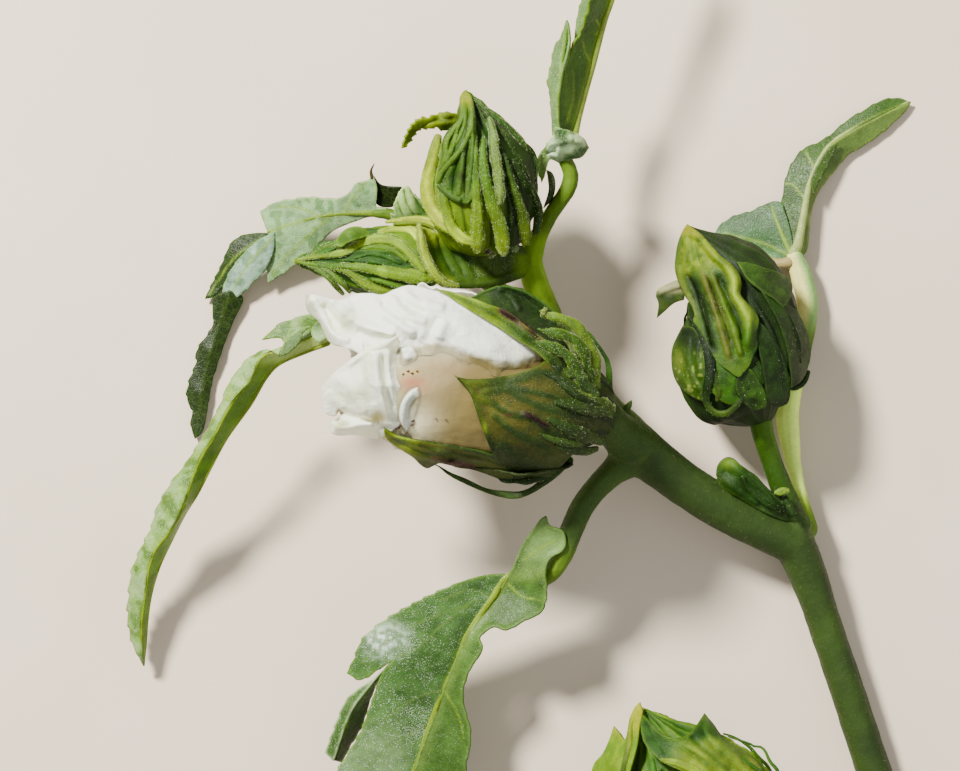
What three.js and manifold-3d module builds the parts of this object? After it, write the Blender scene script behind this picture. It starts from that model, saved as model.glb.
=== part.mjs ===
// A cut flowering shoot of roselle, lying on a level surface: the branched stem, its
// leaves on their stalks, four buds and one crumpled white bloom in its green calyx.
// Millimetres, +Z up. The shoot lies along +Y, with the cut end of its stem towards -Y.
import * as THREE from 'three';
import { mergeVertices } from 'three/addons/utils/BufferGeometryUtils.js';
import Module from 'manifold-3d';

const wasm = await Module();
wasm.setup();

// ---- driving sizes, mm ---------------------------------------------------------------
const EYE_HEIGHT = 483;        // height above the surface that the plan grid is drawn from
const BLOOM_HEIGHT = 26;       // height at which one grid step is 1 / GRID_PER_MM
const GRID_PER_MM = 7;
const GRID_CENTRE = [480, 385.5];
const CLEARANCE = 0.3;         // gap between neighbouring pieces
const LEAF_THICKNESS = 0.9;
const STEM_RADIUS = 2.72;      // main stem at its cut end
const NODE_RADIUS = 3.5;       // swollen node under the bloom
const SHIFT = [-9.45, 6.9, 0];   // brings the middle of the foot of the whole shoot to the origin

// A place on the plan grid (column to the right, row downwards) at a height, in mm.
const at = (col, row, z) => {
  const k = (EYE_HEIGHT - z) / ((EYE_HEIGHT - BLOOM_HEIGHT) * GRID_PER_MM);
  return new THREE.Vector3((col - GRID_CENTRE[0]) * k, (GRID_CENTRE[1] - row) * k, z);
};

// ---- helpers --------------------------------------------------------------------------
const lerp = (a, b, t) => a + (b - a) * t;

// Value of a list at t from 0 to 1, smoothly between its entries.
function sample(values, t) {
  const n = values.length - 1;
  const x = Math.min(Math.max(t, 0), 1) * n;
  const i = Math.min(Math.floor(x), n - 1);
  const u = x - i;
  const s = u * u * (3 - 2 * u);
  return lerp(values[i], values[i + 1], s);
}

// Closes a stack of rings into one solid. Each ring is a list of the same number of points.
function loft(rings) {
  const n = rings[0].length;
  const position = [];
  const index = [];
  rings.forEach((ring) => ring.forEach((p) => position.push(p.x, p.y, p.z)));
  for (let i = 0; i < rings.length - 1; i++) {
    for (let j = 0; j < n; j++) {
      const a = i * n + j, b = i * n + (j + 1) % n, c = a + n, d = b + n;
      index.push(a, b, d, a, d, c);
    }
  }
  for (const [ring, flip] of [[0, true], [rings.length - 1, false]]) {
    const middle = new THREE.Vector3();
    rings[ring].forEach((p) => middle.add(p));
    middle.divideScalar(n);
    const m = position.length / 3;
    position.push(middle.x, middle.y, middle.z);
    for (let j = 0; j < n; j++) {
      const a = ring * n + j, b = ring * n + (j + 1) % n;
      if (flip) index.push(b, a, m); else index.push(a, b, m);
    }
  }
  const geometry = new THREE.BufferGeometry();
  geometry.setAttribute('position', new THREE.Float32BufferAttribute(position, 3));
  geometry.setIndex(index);
  return geometry;
}

// Manifold solid of a closed geometry, turned so that its volume is positive.
function solid(geometry) {
  const g = mergeVertices(geometry, 1e-5);
  const tri = new Uint32Array(g.index.array);
  const p = g.attributes.position.array;
  let volume = 0;
  for (let i = 0; i < tri.length; i += 3) {
    const [a, b, c] = [tri[i] * 3, tri[i + 1] * 3, tri[i + 2] * 3];
    volume += p[a] * (p[b + 1] * p[c + 2] - p[b + 2] * p[c + 1])
      + p[a + 1] * (p[b + 2] * p[c] - p[b] * p[c + 2])
      + p[a + 2] * (p[b] * p[c + 1] - p[b + 1] * p[c]);
  }
  if (volume < 0) {
    for (let i = 0; i < tri.length; i += 3) [tri[i + 1], tri[i + 2]] = [tri[i + 2], tri[i + 1]];
  }
  return new wasm.Manifold(new wasm.Mesh({ numProp: 3, vertProperties: new Float32Array(p), triVerts: tri }));
}

// The largest single body of a solid, as left after its neighbours are cut away.
function largest(m) {
  let best = null;
  for (const piece of m.decompose()) {
    if (!best || piece.volume() > best.volume()) best = piece;
  }
  return best;
}

// Frames (side, up) carried along a curve without twist.
function frames(curve, steps) {
  const list = [];
  let up = new THREE.Vector3(0, 0, 1);
  for (let i = 0; i <= steps; i++) {
    const t = i / steps;
    const point = curve.getPoint(t);
    const along = curve.getTangent(t);
    up = up.clone().addScaledVector(along, -up.dot(along)).normalize();
    const side = new THREE.Vector3().crossVectors(along, up).normalize();
    list.push({ t, point, along, side, up });
  }
  return list;
}

// A tapering limb through [column, row, height, radius], with flat ends.
function limb(points, { sides = 10, steps = 0 } = {}) {
  return (grow = 0) => {
    const curve = new THREE.CatmullRomCurve3(points.map(([c, r, z]) => at(c, r, z)), false, 'centripetal');
    const radii = points.map((p) => p[3]);
    const n = steps || (points.length - 1) * 3;
    const list = frames(curve, n);
    const rings = list.map(({ t, point, side, up }) => {
      const radius = sample(radii, t) + grow;
      return Array.from({ length: sides }, (_, j) => {
        const a = (j + 0.5) * 2 * Math.PI / sides;
        return point.clone().addScaledVector(side, Math.cos(a) * radius).addScaledVector(up, Math.sin(a) * radius);
      });
    });
    if (grow > 0) {
      rings[0].forEach((p) => p.addScaledVector(list[0].along, -grow));
      rings[n].forEach((p) => p.addScaledVector(list[n].along, grow));
    }
    return solid(loft(rings));
  };
}

// A bud, calyx or bloom: a ribbed body from its foot to its tip. wide and deep are half
// sizes in mm along the axis, in the plan and upright; ribs folds stand rib of the radius.
function body(points, wide, deep, { ribs = 5, rib = 0.06, sides = 20, steps = 12, turn = 0, phase = 0.3 } = {}) {
  return (grow = 0) => {
    const curve = new THREE.CatmullRomCurve3(points.map(([c, r, z]) => at(c, r, z)), false, 'centripetal');
    const list = frames(curve, steps);
    const rings = list.map(({ t, point, side, up }) => {
      const w = sample(wide, t) + grow, d = sample(deep, t) + grow;
      return Array.from({ length: sides }, (_, j) => {
        const a = j * 2 * Math.PI / sides;
        const fold = 1 + rib * Math.cos(ribs * a + phase + turn * t) * Math.sin(Math.PI * Math.min(1, t * 1.2));
        return point.clone().addScaledVector(side, Math.cos(a) * w * fold).addScaledVector(up, Math.sin(a) * d * fold);
      });
    });
    if (grow > 0) {
      rings[0].forEach((p) => p.addScaledVector(list[0].along, -grow));
      rings[steps].forEach((p) => p.addScaledVector(list[steps].along, grow));
    }
    return solid(loft(rings));
  };
}

// A thin blade between two margins and its midrib, each a few [column, row, height].
function blade(left, mid, right, { thickness = LEAF_THICKNESS, steps = 10, teeth = 0 } = {}) {
  return (grow = 0) => {
    const curves = [left, mid, right].map((list) =>
      new THREE.CatmullRomCurve3(list.map(([c, r, z]) => at(c, r, z)), false, 'centripetal'));
    const rows = [];
    for (let i = 0; i <= steps; i++) {
      const [l, m, r] = curves.map((curve) => curve.getPoint(i / steps));
      if (teeth && i % 2 && i < steps) {
        l.addScaledVector(l.clone().sub(m).normalize(), teeth);
        r.addScaledVector(r.clone().sub(m).normalize(), teeth);
      }
      rows.push([l, m, r]);
    }
    const half = thickness / 2 + grow;
    const rings = rows.map(([l, m, r], i) => {
      const a = rows[Math.max(i - 1, 0)], b = rows[Math.min(i + 1, steps)];
      const along = b[1].clone().sub(a[1]).normalize();
      const across = r.clone().sub(l);
      if (across.length() < 0.5) across.crossVectors(along, new THREE.Vector3(0, 0, 1)).normalize().multiplyScalar(0.5);
      const spread = across.clone().normalize();
      const nl = new THREE.Vector3().crossVectors(m.clone().sub(l).addScaledVector(spread, 0.4), along).normalize();
      const nr = new THREE.Vector3().crossVectors(r.clone().sub(m).addScaledVector(spread, 0.4), along).normalize();
      const nm = nl.clone().add(nr).normalize();
      const wide = grow + 0.25;
      const L = l.clone().addScaledVector(spread, -wide), R = r.clone().addScaledVector(spread, wide);
      return [
        L.clone().addScaledVector(nl, half), m.clone().addScaledVector(nm, half), R.clone().addScaledVector(nr, half),
        R.clone().addScaledVector(nr, -half), m.clone().addScaledVector(nm, -half), L.clone().addScaledVector(nl, -half),
      ];
    });
    return solid(loft(rings));
  };
}

// Several solids as one.
const joined = (...makers) => (grow = 0) => makers.map((make) => make(grow)).reduce((a, b) => a.add(b));

// ---- the pieces -------------------------------------------------------------------------
const GREEN = 0x4f5f34, LIME = 0x8fae3a, LEAF = 0x5c8a3c, GREY = 0x6f8a5c, PETAL = 0xefeee4;
const S = STEM_RADIUS, N = NODE_RADIUS;

// Each entry: name, colour, roughness, shape, and the earlier pieces it is cut to clear.
const PIECES = [
  // main stem, from its cut end through the fork to the bud cluster
  ['main_stem_lower', GREEN, 0.6, limb([[944, 962, S, S], [905, 860, S + 0.1, S], [874, 771, 3.2, S - 0.05],
    [831, 650, 4.3, S - 0.1], [812, 590, 5.3, S], [797, 550, 6.2, S + 0.3]])],
  ['main_stem_middle', GREEN, 0.6, limb([[800, 556, 6.0, S + 0.2], [770, 530, 7.4, N - 0.4], [730, 509, 9.2, N - 0.2], [690, 487, 11.6, N - 0.1],
    [655, 464, 14.0, N], [632, 446, 15.8, N]])],
  ['main_stem_upper', GREEN, 0.6, limb([[634, 447, 15.6, N - 0.1], [603, 409, 15.2, 2.8], [586, 380, 14.0, 2.5],
    [565, 348, 13.4, 2.25], [549, 324, 13.4, 2.1], [533, 293, 14.0, 2.0], [524, 268, 14.6, 1.9]])],

  // right side of the fork: one bud on its stalk, one leaf, and a small side shoot
  ['right_peduncle', GREEN, 0.6, limb([[792, 522, 7.0, 1.9], [780, 483, 8.4, 1.55], [768, 448, 9.8, 1.5], [760, 415, 10.8, 1.8]])],
  ['right_bud', LEAF, 0.55, body([[761, 424, 10.8], [752, 380, 11.2], [740, 320, 11.8], [714, 262, 12.4], [687, 228, 13.0]],
    [1.8, 7.4, 9.4, 9.5, 8.2, 5.4, 2.8, 0.8], [1.8, 6.6, 8.6, 9.0, 8.0, 5.6, 3.0, 0.8], { rib: 0.08, sides: 18, steps: 11 })],
  ['right_leaf_petiole', LIME, 0.55, limb([[806, 530, 5.0, 1.5], [799, 482, 4.3, 1.25], [790, 440, 3.5, 1.4], [791, 413, 3.1, 1.55],
    [800, 375, 2.8, 1.65], [809, 335, 2.6, 1.65], [812, 305, 2.6, 1.65], [804, 275, 2.9, 1.6], [795, 256, 3.2, 1.4]], { sides: 8 })],
  ['right_leaf_blade', GREY, 0.5, blade([[788, 262, 2.2], [783, 200, 1.2], [798, 152, 1.0], [853, 121, 0.8], [906, 100, 0.7]],
    [[796, 262, 3.4], [806, 212, 3.2], [828, 162, 2.4], [868, 130, 1.4], [908, 101, 0.6]],
    [[804, 262, 2.0], [812, 213, 1.0], [845, 160, 0.7], [885, 129, 0.65], [908, 102, 0.65]], { teeth: 0.4 })],
  ['right_leaf_lobe', GREY, 0.5, blade([[792, 210, 2.2], [776, 203, 1.6], [745, 210, 1.2], [715, 229, 0.6]],
    [[796, 246, 3.2], [776, 238, 2.6], [748, 234, 1.8], [714, 230, 0.6]],
    [[796, 268, 1.8], [776, 258, 1.3], [745, 252, 0.8], [715, 231, 0.65]], { steps: 6, teeth: 0.3 })],
  ['fork_axillary_shoot', LEAF, 0.55, body([[800, 523, 9.6], [775, 504, 10.6], [745, 484, 11.2], [718, 474, 11.4]],
    [1.4, 2.2, 2.5, 1.9, 0.5], [1.2, 1.7, 1.9, 1.4, 0.5], { sides: 10, steps: 6 })],

  // bud cluster at the top of the stem
  ['top_bud', LEAF, 0.55, body([[497, 256, 19.2], [492, 225, 20.6], [490, 175, 22.2], [480, 125, 23.6], [466, 92, 24.6]],
    [2.4, 6.6, 7.4, 7.5, 6.8, 5.0, 2.4, 0.7], [2.2, 5.8, 6.9, 7.0, 6.3, 4.6, 2.3, 0.7], { rib: 0.08, sides: 18, steps: 11 })],
  ['side_bud', LIME, 0.55, body([[438, 262, 17.6], [400, 263, 17.2], [350, 262, 16.4], [294, 261, 15.4]],
    [2.4, 4.2, 4.5, 4.0, 2.6, 0.6], [2.2, 3.8, 4.1, 3.6, 2.4, 0.6], { steps: 10, sides: 16 })],
  ['cluster_bract', LEAF, 0.55, body([[536, 262, 15.8], [500, 272, 17.4], [460, 268, 18.4], [420, 246, 18.8]],
    [1.6, 2.9, 3.4, 2.8, 0.7], [1.4, 2.4, 2.8, 2.3, 0.6], { steps: 8, sides: 12 })],
  ['cluster_curled_leaf', LIME, 0.5, blade([[462, 112, 24.6], [436, 114, 26.0], [412, 124, 25.4], [402, 146, 23.2]],
    [[462, 119, 25.4], [436, 121, 26.8], [416, 131, 26.0], [403, 147, 23.4]],
    [[462, 127, 24.4], [438, 128, 25.6], [420, 137, 25.0], [404, 148, 23.2]], { steps: 6, teeth: 0.3 })],
  ['cluster_stipule', LIME, 0.6, body([[440, 232, 16.6], [420, 212, 17.6], [404, 188, 18.4]], [1.9, 2.3, 1.6, 0.5], [1.4, 1.6, 1.2, 0.5],
    { steps: 6, sides: 10 })],

  // leaf at the top of the shoot, folded along its midrib
  ['top_leaf_petiole', LIME, 0.55, limb([[528, 262, 15.6, 1.5], [537, 238, 16.2, 1.25], [551, 212, 16.8, 1.15], [566, 196, 17.2, 1.2],
    [573, 180, 17.6, 1.2], [570, 165, 17.8, 1.2]], { sides: 8, steps: 12 })],
  ['top_leaf_blade', LEAF, 0.5, joined(
    blade([[546, 156, 18.4], [552, 100, 19.4], [566, 48, 20.4], [584, 8, 21.6], [600, -60, 22.6], [630, -124, 22.0]],
      [[562, 158, 16.2], [568, 100, 16.6], [582, 50, 17.4], [600, 0, 18.6], [616, -60, 20.4], [631, -125, 21.8]],
      [[580, 156, 18.0], [583, 100, 19.0], [598, 36, 20.4], [614, -6, 21.4], [634, -60, 22.4], [633, -124, 22.0]], { steps: 12, teeth: 0.5 }),
    body([[541, 150, 19.4], [560, 149, 20.2], [588, 150, 19.4]], [0.9, 1.7, 1.9, 1.5, 0.8], [0.9, 1.5, 1.6, 1.3, 0.8], { steps: 6, sides: 8 }))],

  // leaf on the far side of the cluster, with a long lobe that hangs to the ground
  ['back_leaf_petiole', LIME, 0.55, limb([[538, 298, 12.2, 1.3], [500, 290, 9.6, 1.15], [455, 262, 8.0, 1.0], [415, 228, 7.4, 1.0],
    [385, 214, 7.4, 0.95]], { sides: 8 })],
  ['back_leaf_blade', GREY, 0.5, joined(
    blade([[392, 196, 8.8], [346, 195, 8.2], [300, 197, 7.0], [262, 212, 5.4], [232, 246, 3.0], [206, 296, 1.0]],
      [[388, 213, 7.2], [346, 214, 7.0], [304, 220, 6.2], [268, 238, 4.6], [240, 266, 2.6], [214, 298, 1.0]],
      [[386, 226, 6.4], [352, 226, 5.8], [312, 248, 4.6], [284, 272, 3.2], [256, 294, 1.9], [230, 300, 1.0]], { steps: 12, teeth: 0.4 }),
    blade([[352, 204, 8.0], [358, 190, 8.6], [370, 174, 9.0]], [[372, 208, 7.6], [372, 194, 8.4], [373, 174, 9.0]],
      [[392, 208, 7.4], [384, 194, 8.2], [375, 174, 9.0]], { steps: 4 }))],
  ['back_leaf_hanging_lobe', GREY, 0.5, blade([[214, 304, 1.4], [198, 350, 1.1], [187, 392, 0.8], [192, 438, 0.7]],
    [[228, 304, 2.4], [211, 350, 2.2], [202, 392, 1.8], [195, 440, 0.85]],
    [[242, 304, 1.2], [223, 350, 1.0], [215, 392, 0.75], [200, 438, 0.7]], { steps: 10, teeth: 0.5 })],

  // bloom: stalk, crumpled petals, and the calyx that holds them
  ['flower_peduncle', GREEN, 0.6, limb([[622, 436, 18.2, 2.7], [613, 427, 20.0, 2.6], [605, 418, 21.4, 2.8]])],
  ['flower_corolla', PETAL, 0.7, body([[562, 376, 26.4], [500, 380, 27.4], [440, 370, 28.0], [380, 362, 28.2], [313, 344, 28.0]],
    [3.0, 8.2, 10.6, 11.0, 10.7, 9.8, 8.0, 3.2], [3.0, 7.0, 8.4, 8.8, 8.6, 7.8, 6.0, 2.2], { ribs: 5, rib: 0.04, sides: 20, steps: 12, turn: 2 })],
  ['flower_calyx', LEAF, 0.55, joined(
    body([[606, 417, 22.0], [590, 408, 23.6], [560, 396, 25.6], [528, 390, 26.8], [496, 386, 27.4]],
      [2.6, 6.6, 9.6, 11.9, 13.2, 13.8, 13.6], [2.4, 6.0, 8.4, 9.8, 10.4, 10.6, 10.3], { ribs: 5, rib: 0.03, sides: 20, steps: 8 }),
    blade([[560, 372, 36.0], [524, 372, 38.2], [491, 376, 38.4], [453, 373, 38.0]],
      [[556, 420, 36.0], [524, 412, 38.4], [488, 395, 38.8], [452, 374, 38.0]],
      [[548, 466, 33.0], [510, 470, 34.4], [484, 426, 37.6], [453, 376, 38.0]], { steps: 5, thickness: 1.2 }),
    blade([[530, 440, 35.0], [470, 448, 34.8], [424, 442, 32.6], [383, 427, 31.0]],
      [[530, 470, 31.0], [468, 466, 31.2], [422, 454, 30.6], [382, 428, 30.6]],
      [[530, 480, 26.0], [468, 474, 27.4], [420, 458, 28.6], [383, 429, 30.4]], { steps: 6, thickness: 1.2 }))],

  // leaf on the far side of the bloom, long, narrow and folded
  ['left_leaf_petiole', LIME, 0.55, limb([[562, 350, 12.4, 1.4], [510, 352, 14.0, 1.15], [440, 345, 16.0, 1.1], [380, 340, 17.4, 1.1],
    [334, 339, 18.0, 1.05]], { sides: 8 })],
  ['left_leaf_blade', LEAF, 0.5, blade(
    [[318, 318, 19.4], [262, 345, 18.8], [226, 392, 17.0], [182, 470, 13.0], [136, 554, 8.0], [130, 610, 5.0], [143, 662, 2.6]],
    [[326, 338, 18.4], [272, 360, 20.6], [238, 405, 18.8], [198, 478, 14.6], [153, 562, 9.2], [140, 612, 6.0], [144, 664, 2.6]],
    [[330, 348, 17.0], [280, 364, 17.6], [248, 408, 15.6], [212, 470, 11.8], [164, 556, 6.8], [148, 612, 4.2], [145, 664, 2.4]],
    { steps: 16, teeth: 0.5 })],

  // leaf below the bloom, broad, lobed and toothed
  ['lower_leaf_petiole', GREEN, 0.6, limb([[618, 470, 15.4, 2.0], [597, 487, 16.6, 1.85], [582, 508, 17.0, 1.8], [568, 535, 16.6, 1.75],
    [557, 566, 15.4, 1.6], [540, 582, 13.6, 1.4]], { sides: 8, steps: 12 })],
  ['lower_leaf_blade', LEAF, 0.5, joined(
    blade([[524, 548, 14.0], [480, 582, 14.2], [436, 634, 13.2], [380, 690, 11.0], [338, 770, 7.6], [324, 850, 4.0], [370, 930, 0.9]],
      [[538, 574, 12.8], [507, 586, 13.0], [470, 626, 12.4], [448, 678, 10.8], [418, 755, 8.2], [396, 850, 4.2], [372, 932, 0.9]],
      [[548, 600, 13.6], [507, 632, 12.6], [474, 660, 11.6], [463, 707, 9.8], [470, 762, 7.4], [444, 850, 3.6], [375, 931, 0.9]],
      { steps: 13, teeth: 0.5 }),
    blade([[500, 576, 14.4], [467, 581, 14.4], [430, 593, 13.8], [389, 618, 12.4], [350, 668, 9.8]],
      [[480, 604, 13.6], [450, 612, 13.4], [418, 628, 12.6], [384, 646, 11.2], [350, 671, 9.6]],
      [[470, 632, 13.0], [440, 640, 12.6], [412, 652, 11.8], [384, 664, 10.4], [352, 673, 9.4]], { steps: 8, teeth: 0.4 }),
    blade([[392, 664, 11.8], [360, 686, 11.2], [334, 726, 9.2], [328, 758, 6.4]],
      [[402, 676, 11.0], [372, 700, 10.2], [346, 734, 8.4], [330, 760, 6.2]],
      [[410, 690, 10.6], [384, 712, 9.6], [358, 740, 7.8], [333, 760, 6.0]], { steps: 6, teeth: 0.3 }),
    blade([[560, 562, 15.4], [556, 545, 16.4], [545, 518, 17.6]], [[545, 572, 13.6], [545, 548, 15.4], [545, 517, 17.4]],
      [[524, 566, 13.6], [534, 545, 15.0], [543, 518, 17.2]], { steps: 4 }))],

  // lower bud, on its own stalk from the stem
  ['lower_peduncle', GREEN, 0.6, limb([[924, 908, 3.4, 1.7], [890, 904, 5.0, 1.5], [845, 912, 8.0, 1.45], [790, 915, 10.4, 1.55], [746, 898, 11.8, 1.85]])],
  ['lower_bud', LEAF, 0.55, body([[752, 902, 11.8], [732, 874, 12.2], [698, 820, 12.8], [668, 756, 13.0], [650, 708, 12.8]],
    [1.9, 8.2, 11.2, 12.2, 12.0, 10.6, 7.0, 1.4], [1.9, 7.4, 9.8, 10.4, 10.0, 8.4, 5.2, 1.2], { rib: 0.1, sides: 16, steps: 10 })],
];

// ---- assembly ----------------------------------------------------------------------------
const root = new THREE.Group();
const done = [];
for (const [name, colour, roughness, make] of PIECES) {
  let piece = make(0);
  const box = piece.boundingBox();
  for (const other of done) {
    const clear = [0, 1, 2].every((i) => box.max[i] + 1 > other.box.min[i] && other.box.max[i] + 1 > box.min[i]);
    if (clear) piece = piece.subtract(other.make(CLEARANCE));
  }
  piece = largest(piece);
  done.push({ make, box });
  const out = piece.getMesh();
  const geometry = new THREE.BufferGeometry();
  const p = new Float32Array(out.numVert * 3);
  for (let i = 0; i < out.numVert; i++) {
    for (let k = 0; k < 3; k++) p[i * 3 + k] = out.vertProperties[i * out.numProp + k];
  }
  geometry.setAttribute('position', new THREE.BufferAttribute(p, 3));
  geometry.setIndex(Array.from(out.triVerts));
  geometry.computeVertexNormals();
  const mesh = new THREE.Mesh(geometry, new THREE.MeshStandardMaterial({ color: colour, roughness, metalness: 0 }));
  mesh.name = name;
  mesh.position.set(...SHIFT);
  root.add(mesh);
}

export default root;
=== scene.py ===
import bpy
import math
import numpy as np
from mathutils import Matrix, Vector
from mathutils.bvhtree import BVHTree
from mathutils.kdtree import KDTree


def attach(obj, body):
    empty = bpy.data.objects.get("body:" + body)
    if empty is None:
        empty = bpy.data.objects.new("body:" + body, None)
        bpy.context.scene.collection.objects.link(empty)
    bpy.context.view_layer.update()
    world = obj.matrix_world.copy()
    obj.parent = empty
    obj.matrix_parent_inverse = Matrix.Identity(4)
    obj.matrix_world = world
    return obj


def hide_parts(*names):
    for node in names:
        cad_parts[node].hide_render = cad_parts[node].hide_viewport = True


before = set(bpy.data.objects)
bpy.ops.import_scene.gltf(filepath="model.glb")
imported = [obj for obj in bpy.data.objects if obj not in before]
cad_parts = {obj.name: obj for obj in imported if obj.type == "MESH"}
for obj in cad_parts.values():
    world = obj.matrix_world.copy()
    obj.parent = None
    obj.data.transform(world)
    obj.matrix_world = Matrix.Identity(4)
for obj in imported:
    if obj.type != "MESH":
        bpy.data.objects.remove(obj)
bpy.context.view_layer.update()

# ---------------------------------------------------------------- sizes and the plan grid
# Places are given on a plan grid (column to the right, row downwards) at a height in mm,
# seen from straight above at EYE; work is in millimetres and meshes are made in metres.
EYE, PLANE, GRID = 483.0, 26.0, 7.0
CENTRE = (480.0, 385.5)
SHIFT = np.array([-9.45, 6.9, 0.0])


def at(c, r, z):
    c, r, z = np.asarray(c, float), np.asarray(r, float), np.asarray(z, float)
    k = (EYE - z) / ((EYE - PLANE) * GRID)
    return np.stack([(c - CENTRE[0]) * k + SHIFT[0], (CENTRE[1] - r) * k + SHIFT[1], z + 0 * c], -1)


def places(rows):
    a = np.asarray([p[:3] for p in rows], float)
    return at(a[:, 0], a[:, 1], a[:, 2])


# ---------------------------------------------------------------- number helpers
def unit(v):
    return v / np.maximum(np.linalg.norm(v, axis=-1, keepdims=True), 1e-9)


def smooth(a, b, x):
    t = np.clip((np.asarray(x, float) - a) / (b - a), 0, 1)
    return t * t * (3 - 2 * t)


def curve(points, ts):
    """Catmull-Rom through the points; ts from 0 to 1 by index."""
    p = np.asarray(points, float)
    if p.ndim == 1:
        p = p[:, None]
        return curve(p, ts)[:, 0]
    n = len(p)
    q = np.vstack([2 * p[0] - p[1], p, 2 * p[-1] - p[-2]])
    x = np.clip(np.asarray(ts, float), 0, 1) * (n - 1)
    i = np.minimum(x.astype(int), n - 2)
    u = (x - i)[:, None]
    a, b, c, d = q[i], q[i + 1], q[i + 2], q[i + 3]
    return 0.5 * (2 * b + (c - a) * u + (2 * a - 5 * b + 4 * c - d) * u * u + (3 * b - a - 3 * c + d) * u ** 3)


def even(points, n, extra=None):
    """n points evenly spaced along the curve, with extra values carried along."""
    ts = np.linspace(0, 1, 400)
    p = curve(points, ts)
    s = np.concatenate([[0], np.cumsum(np.linalg.norm(np.diff(p, axis=0), axis=1))])
    want = np.interp(np.linspace(0, s[-1], n), s, ts)
    out = curve(points, want)
    if extra is None:
        return out
    return out, curve(extra, want)


def value_noise(p, seed=0):
    p = np.asarray(p, float)
    i = np.floor(p).astype(np.int64)
    f = p - i
    u = f * f * f * (f * (f * 6 - 15) + 10)

    def h(ix, iy, iz):
        n = (ix * 374761393 + iy * 668265263 + iz * 1442695041 + seed * 1274126177) & 0xFFFFFFFF
        n = ((n ^ (n >> 13)) * 1274126177) & 0xFFFFFFFF
        n = n ^ (n >> 16)
        return (n & 0xFFFF) / 32767.5 - 1
    x, y, z = i[..., 0], i[..., 1], i[..., 2]
    ux, uy, uz = u[..., 0], u[..., 1], u[..., 2]
    a = h(x, y, z) * (1 - ux) + h(x + 1, y, z) * ux
    b = h(x, y + 1, z) * (1 - ux) + h(x + 1, y + 1, z) * ux
    c = h(x, y, z + 1) * (1 - ux) + h(x + 1, y, z + 1) * ux
    d = h(x, y + 1, z + 1) * (1 - ux) + h(x + 1, y + 1, z + 1) * ux
    return (a * (1 - uy) + b * uy) * (1 - uz) + (c * (1 - uy) + d * uy) * uz


def fbm(p, octaves=3, seed=0):
    p = np.asarray(p, float)
    out, amp = 0, 1.0
    for k in range(octaves):
        out = out + amp * value_noise(p * 2 ** k + 17.3 * k, seed + k)
        amp *= 0.5
    return out


def ridged(p, octaves=3, seed=0):
    p = np.asarray(p, float)
    out, amp = 0, 1.0
    for k in range(octaves):
        out = out + amp * (1 - 2 * np.abs(value_noise(p * 2 ** k + 9.1 * k, seed + k)))
        amp *= 0.5
    return out


def rgb(r, g, b):
    c = np.array([r, g, b], float) / 255
    return np.where(c <= 0.04045, c / 12.92, ((c + 0.055) / 1.055) ** 2.4)


def mix(a, b, t):
    t = np.asarray(t, float)[..., None]
    return np.asarray(a) * (1 - t) + np.asarray(b) * t


# ---------------------------------------------------------------- colours
STEM = rgb(102, 123, 64)
STEM_DARK = rgb(84, 103, 53)
LIME = rgb(158, 186, 48)
LIME_PALE = rgb(196, 206, 112)
GREEN = rgb(88, 138, 40)
DEEP = rgb(44, 84, 28)
LEAF_TOP = rgb(84, 124, 66)
LEAF_GREY = rgb(116, 146, 110)
LEAF_UNDER = rgb(112, 160, 52)
VEIN = rgb(176, 196, 84)
WHITE = rgb(240, 240, 234)
CREAM = rgb(214, 202, 172)
TAN = rgb(182, 152, 92)
PINK = rgb(226, 168, 146)
BROWN = rgb(92, 44, 32)
MAROON = rgb(104, 52, 44)


SEEN = np.log([0.002, 0.012, 0.03, 0.074, 0.141, 0.25, 0.371, 0.515, 0.62, 0.75, 0.9, 1.0])
OWN = np.log([0.0006, 0.0026, 0.0055, 0.0125, 0.031, 0.078, 0.15, 0.3, 0.45, 0.78, 0.93, 0.98])
LUMA = np.array([0.2126, 0.7152, 0.0722])


def grade(c):
    """From the colour that a surface shows in strong light to the colour of its tissue."""
    c = np.clip(c, 1e-4, 1)
    y = c @ LUMA
    own = np.exp(np.interp(np.log(y), SEEN, OWN))
    r, g, b = c[:, 0], c[:, 1], c[:, 2]
    lush = smooth(0.3, 0.1, b / g) * smooth(0.22, 0.45, y)
    own = own * (1 - 0.2 * lush)
    ratio = np.stack([np.ones_like(r), (g / r) ** np.where(g > r, 1.75, 1.2), (b / r) ** (1.12 + 0.6 * lush)], -1)
    return np.clip(ratio * (own / (ratio @ LUMA))[:, None], 0, 1)


def tissue(r, g, b):
    return grade(rgb(r, g, b)[None])[0]


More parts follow.
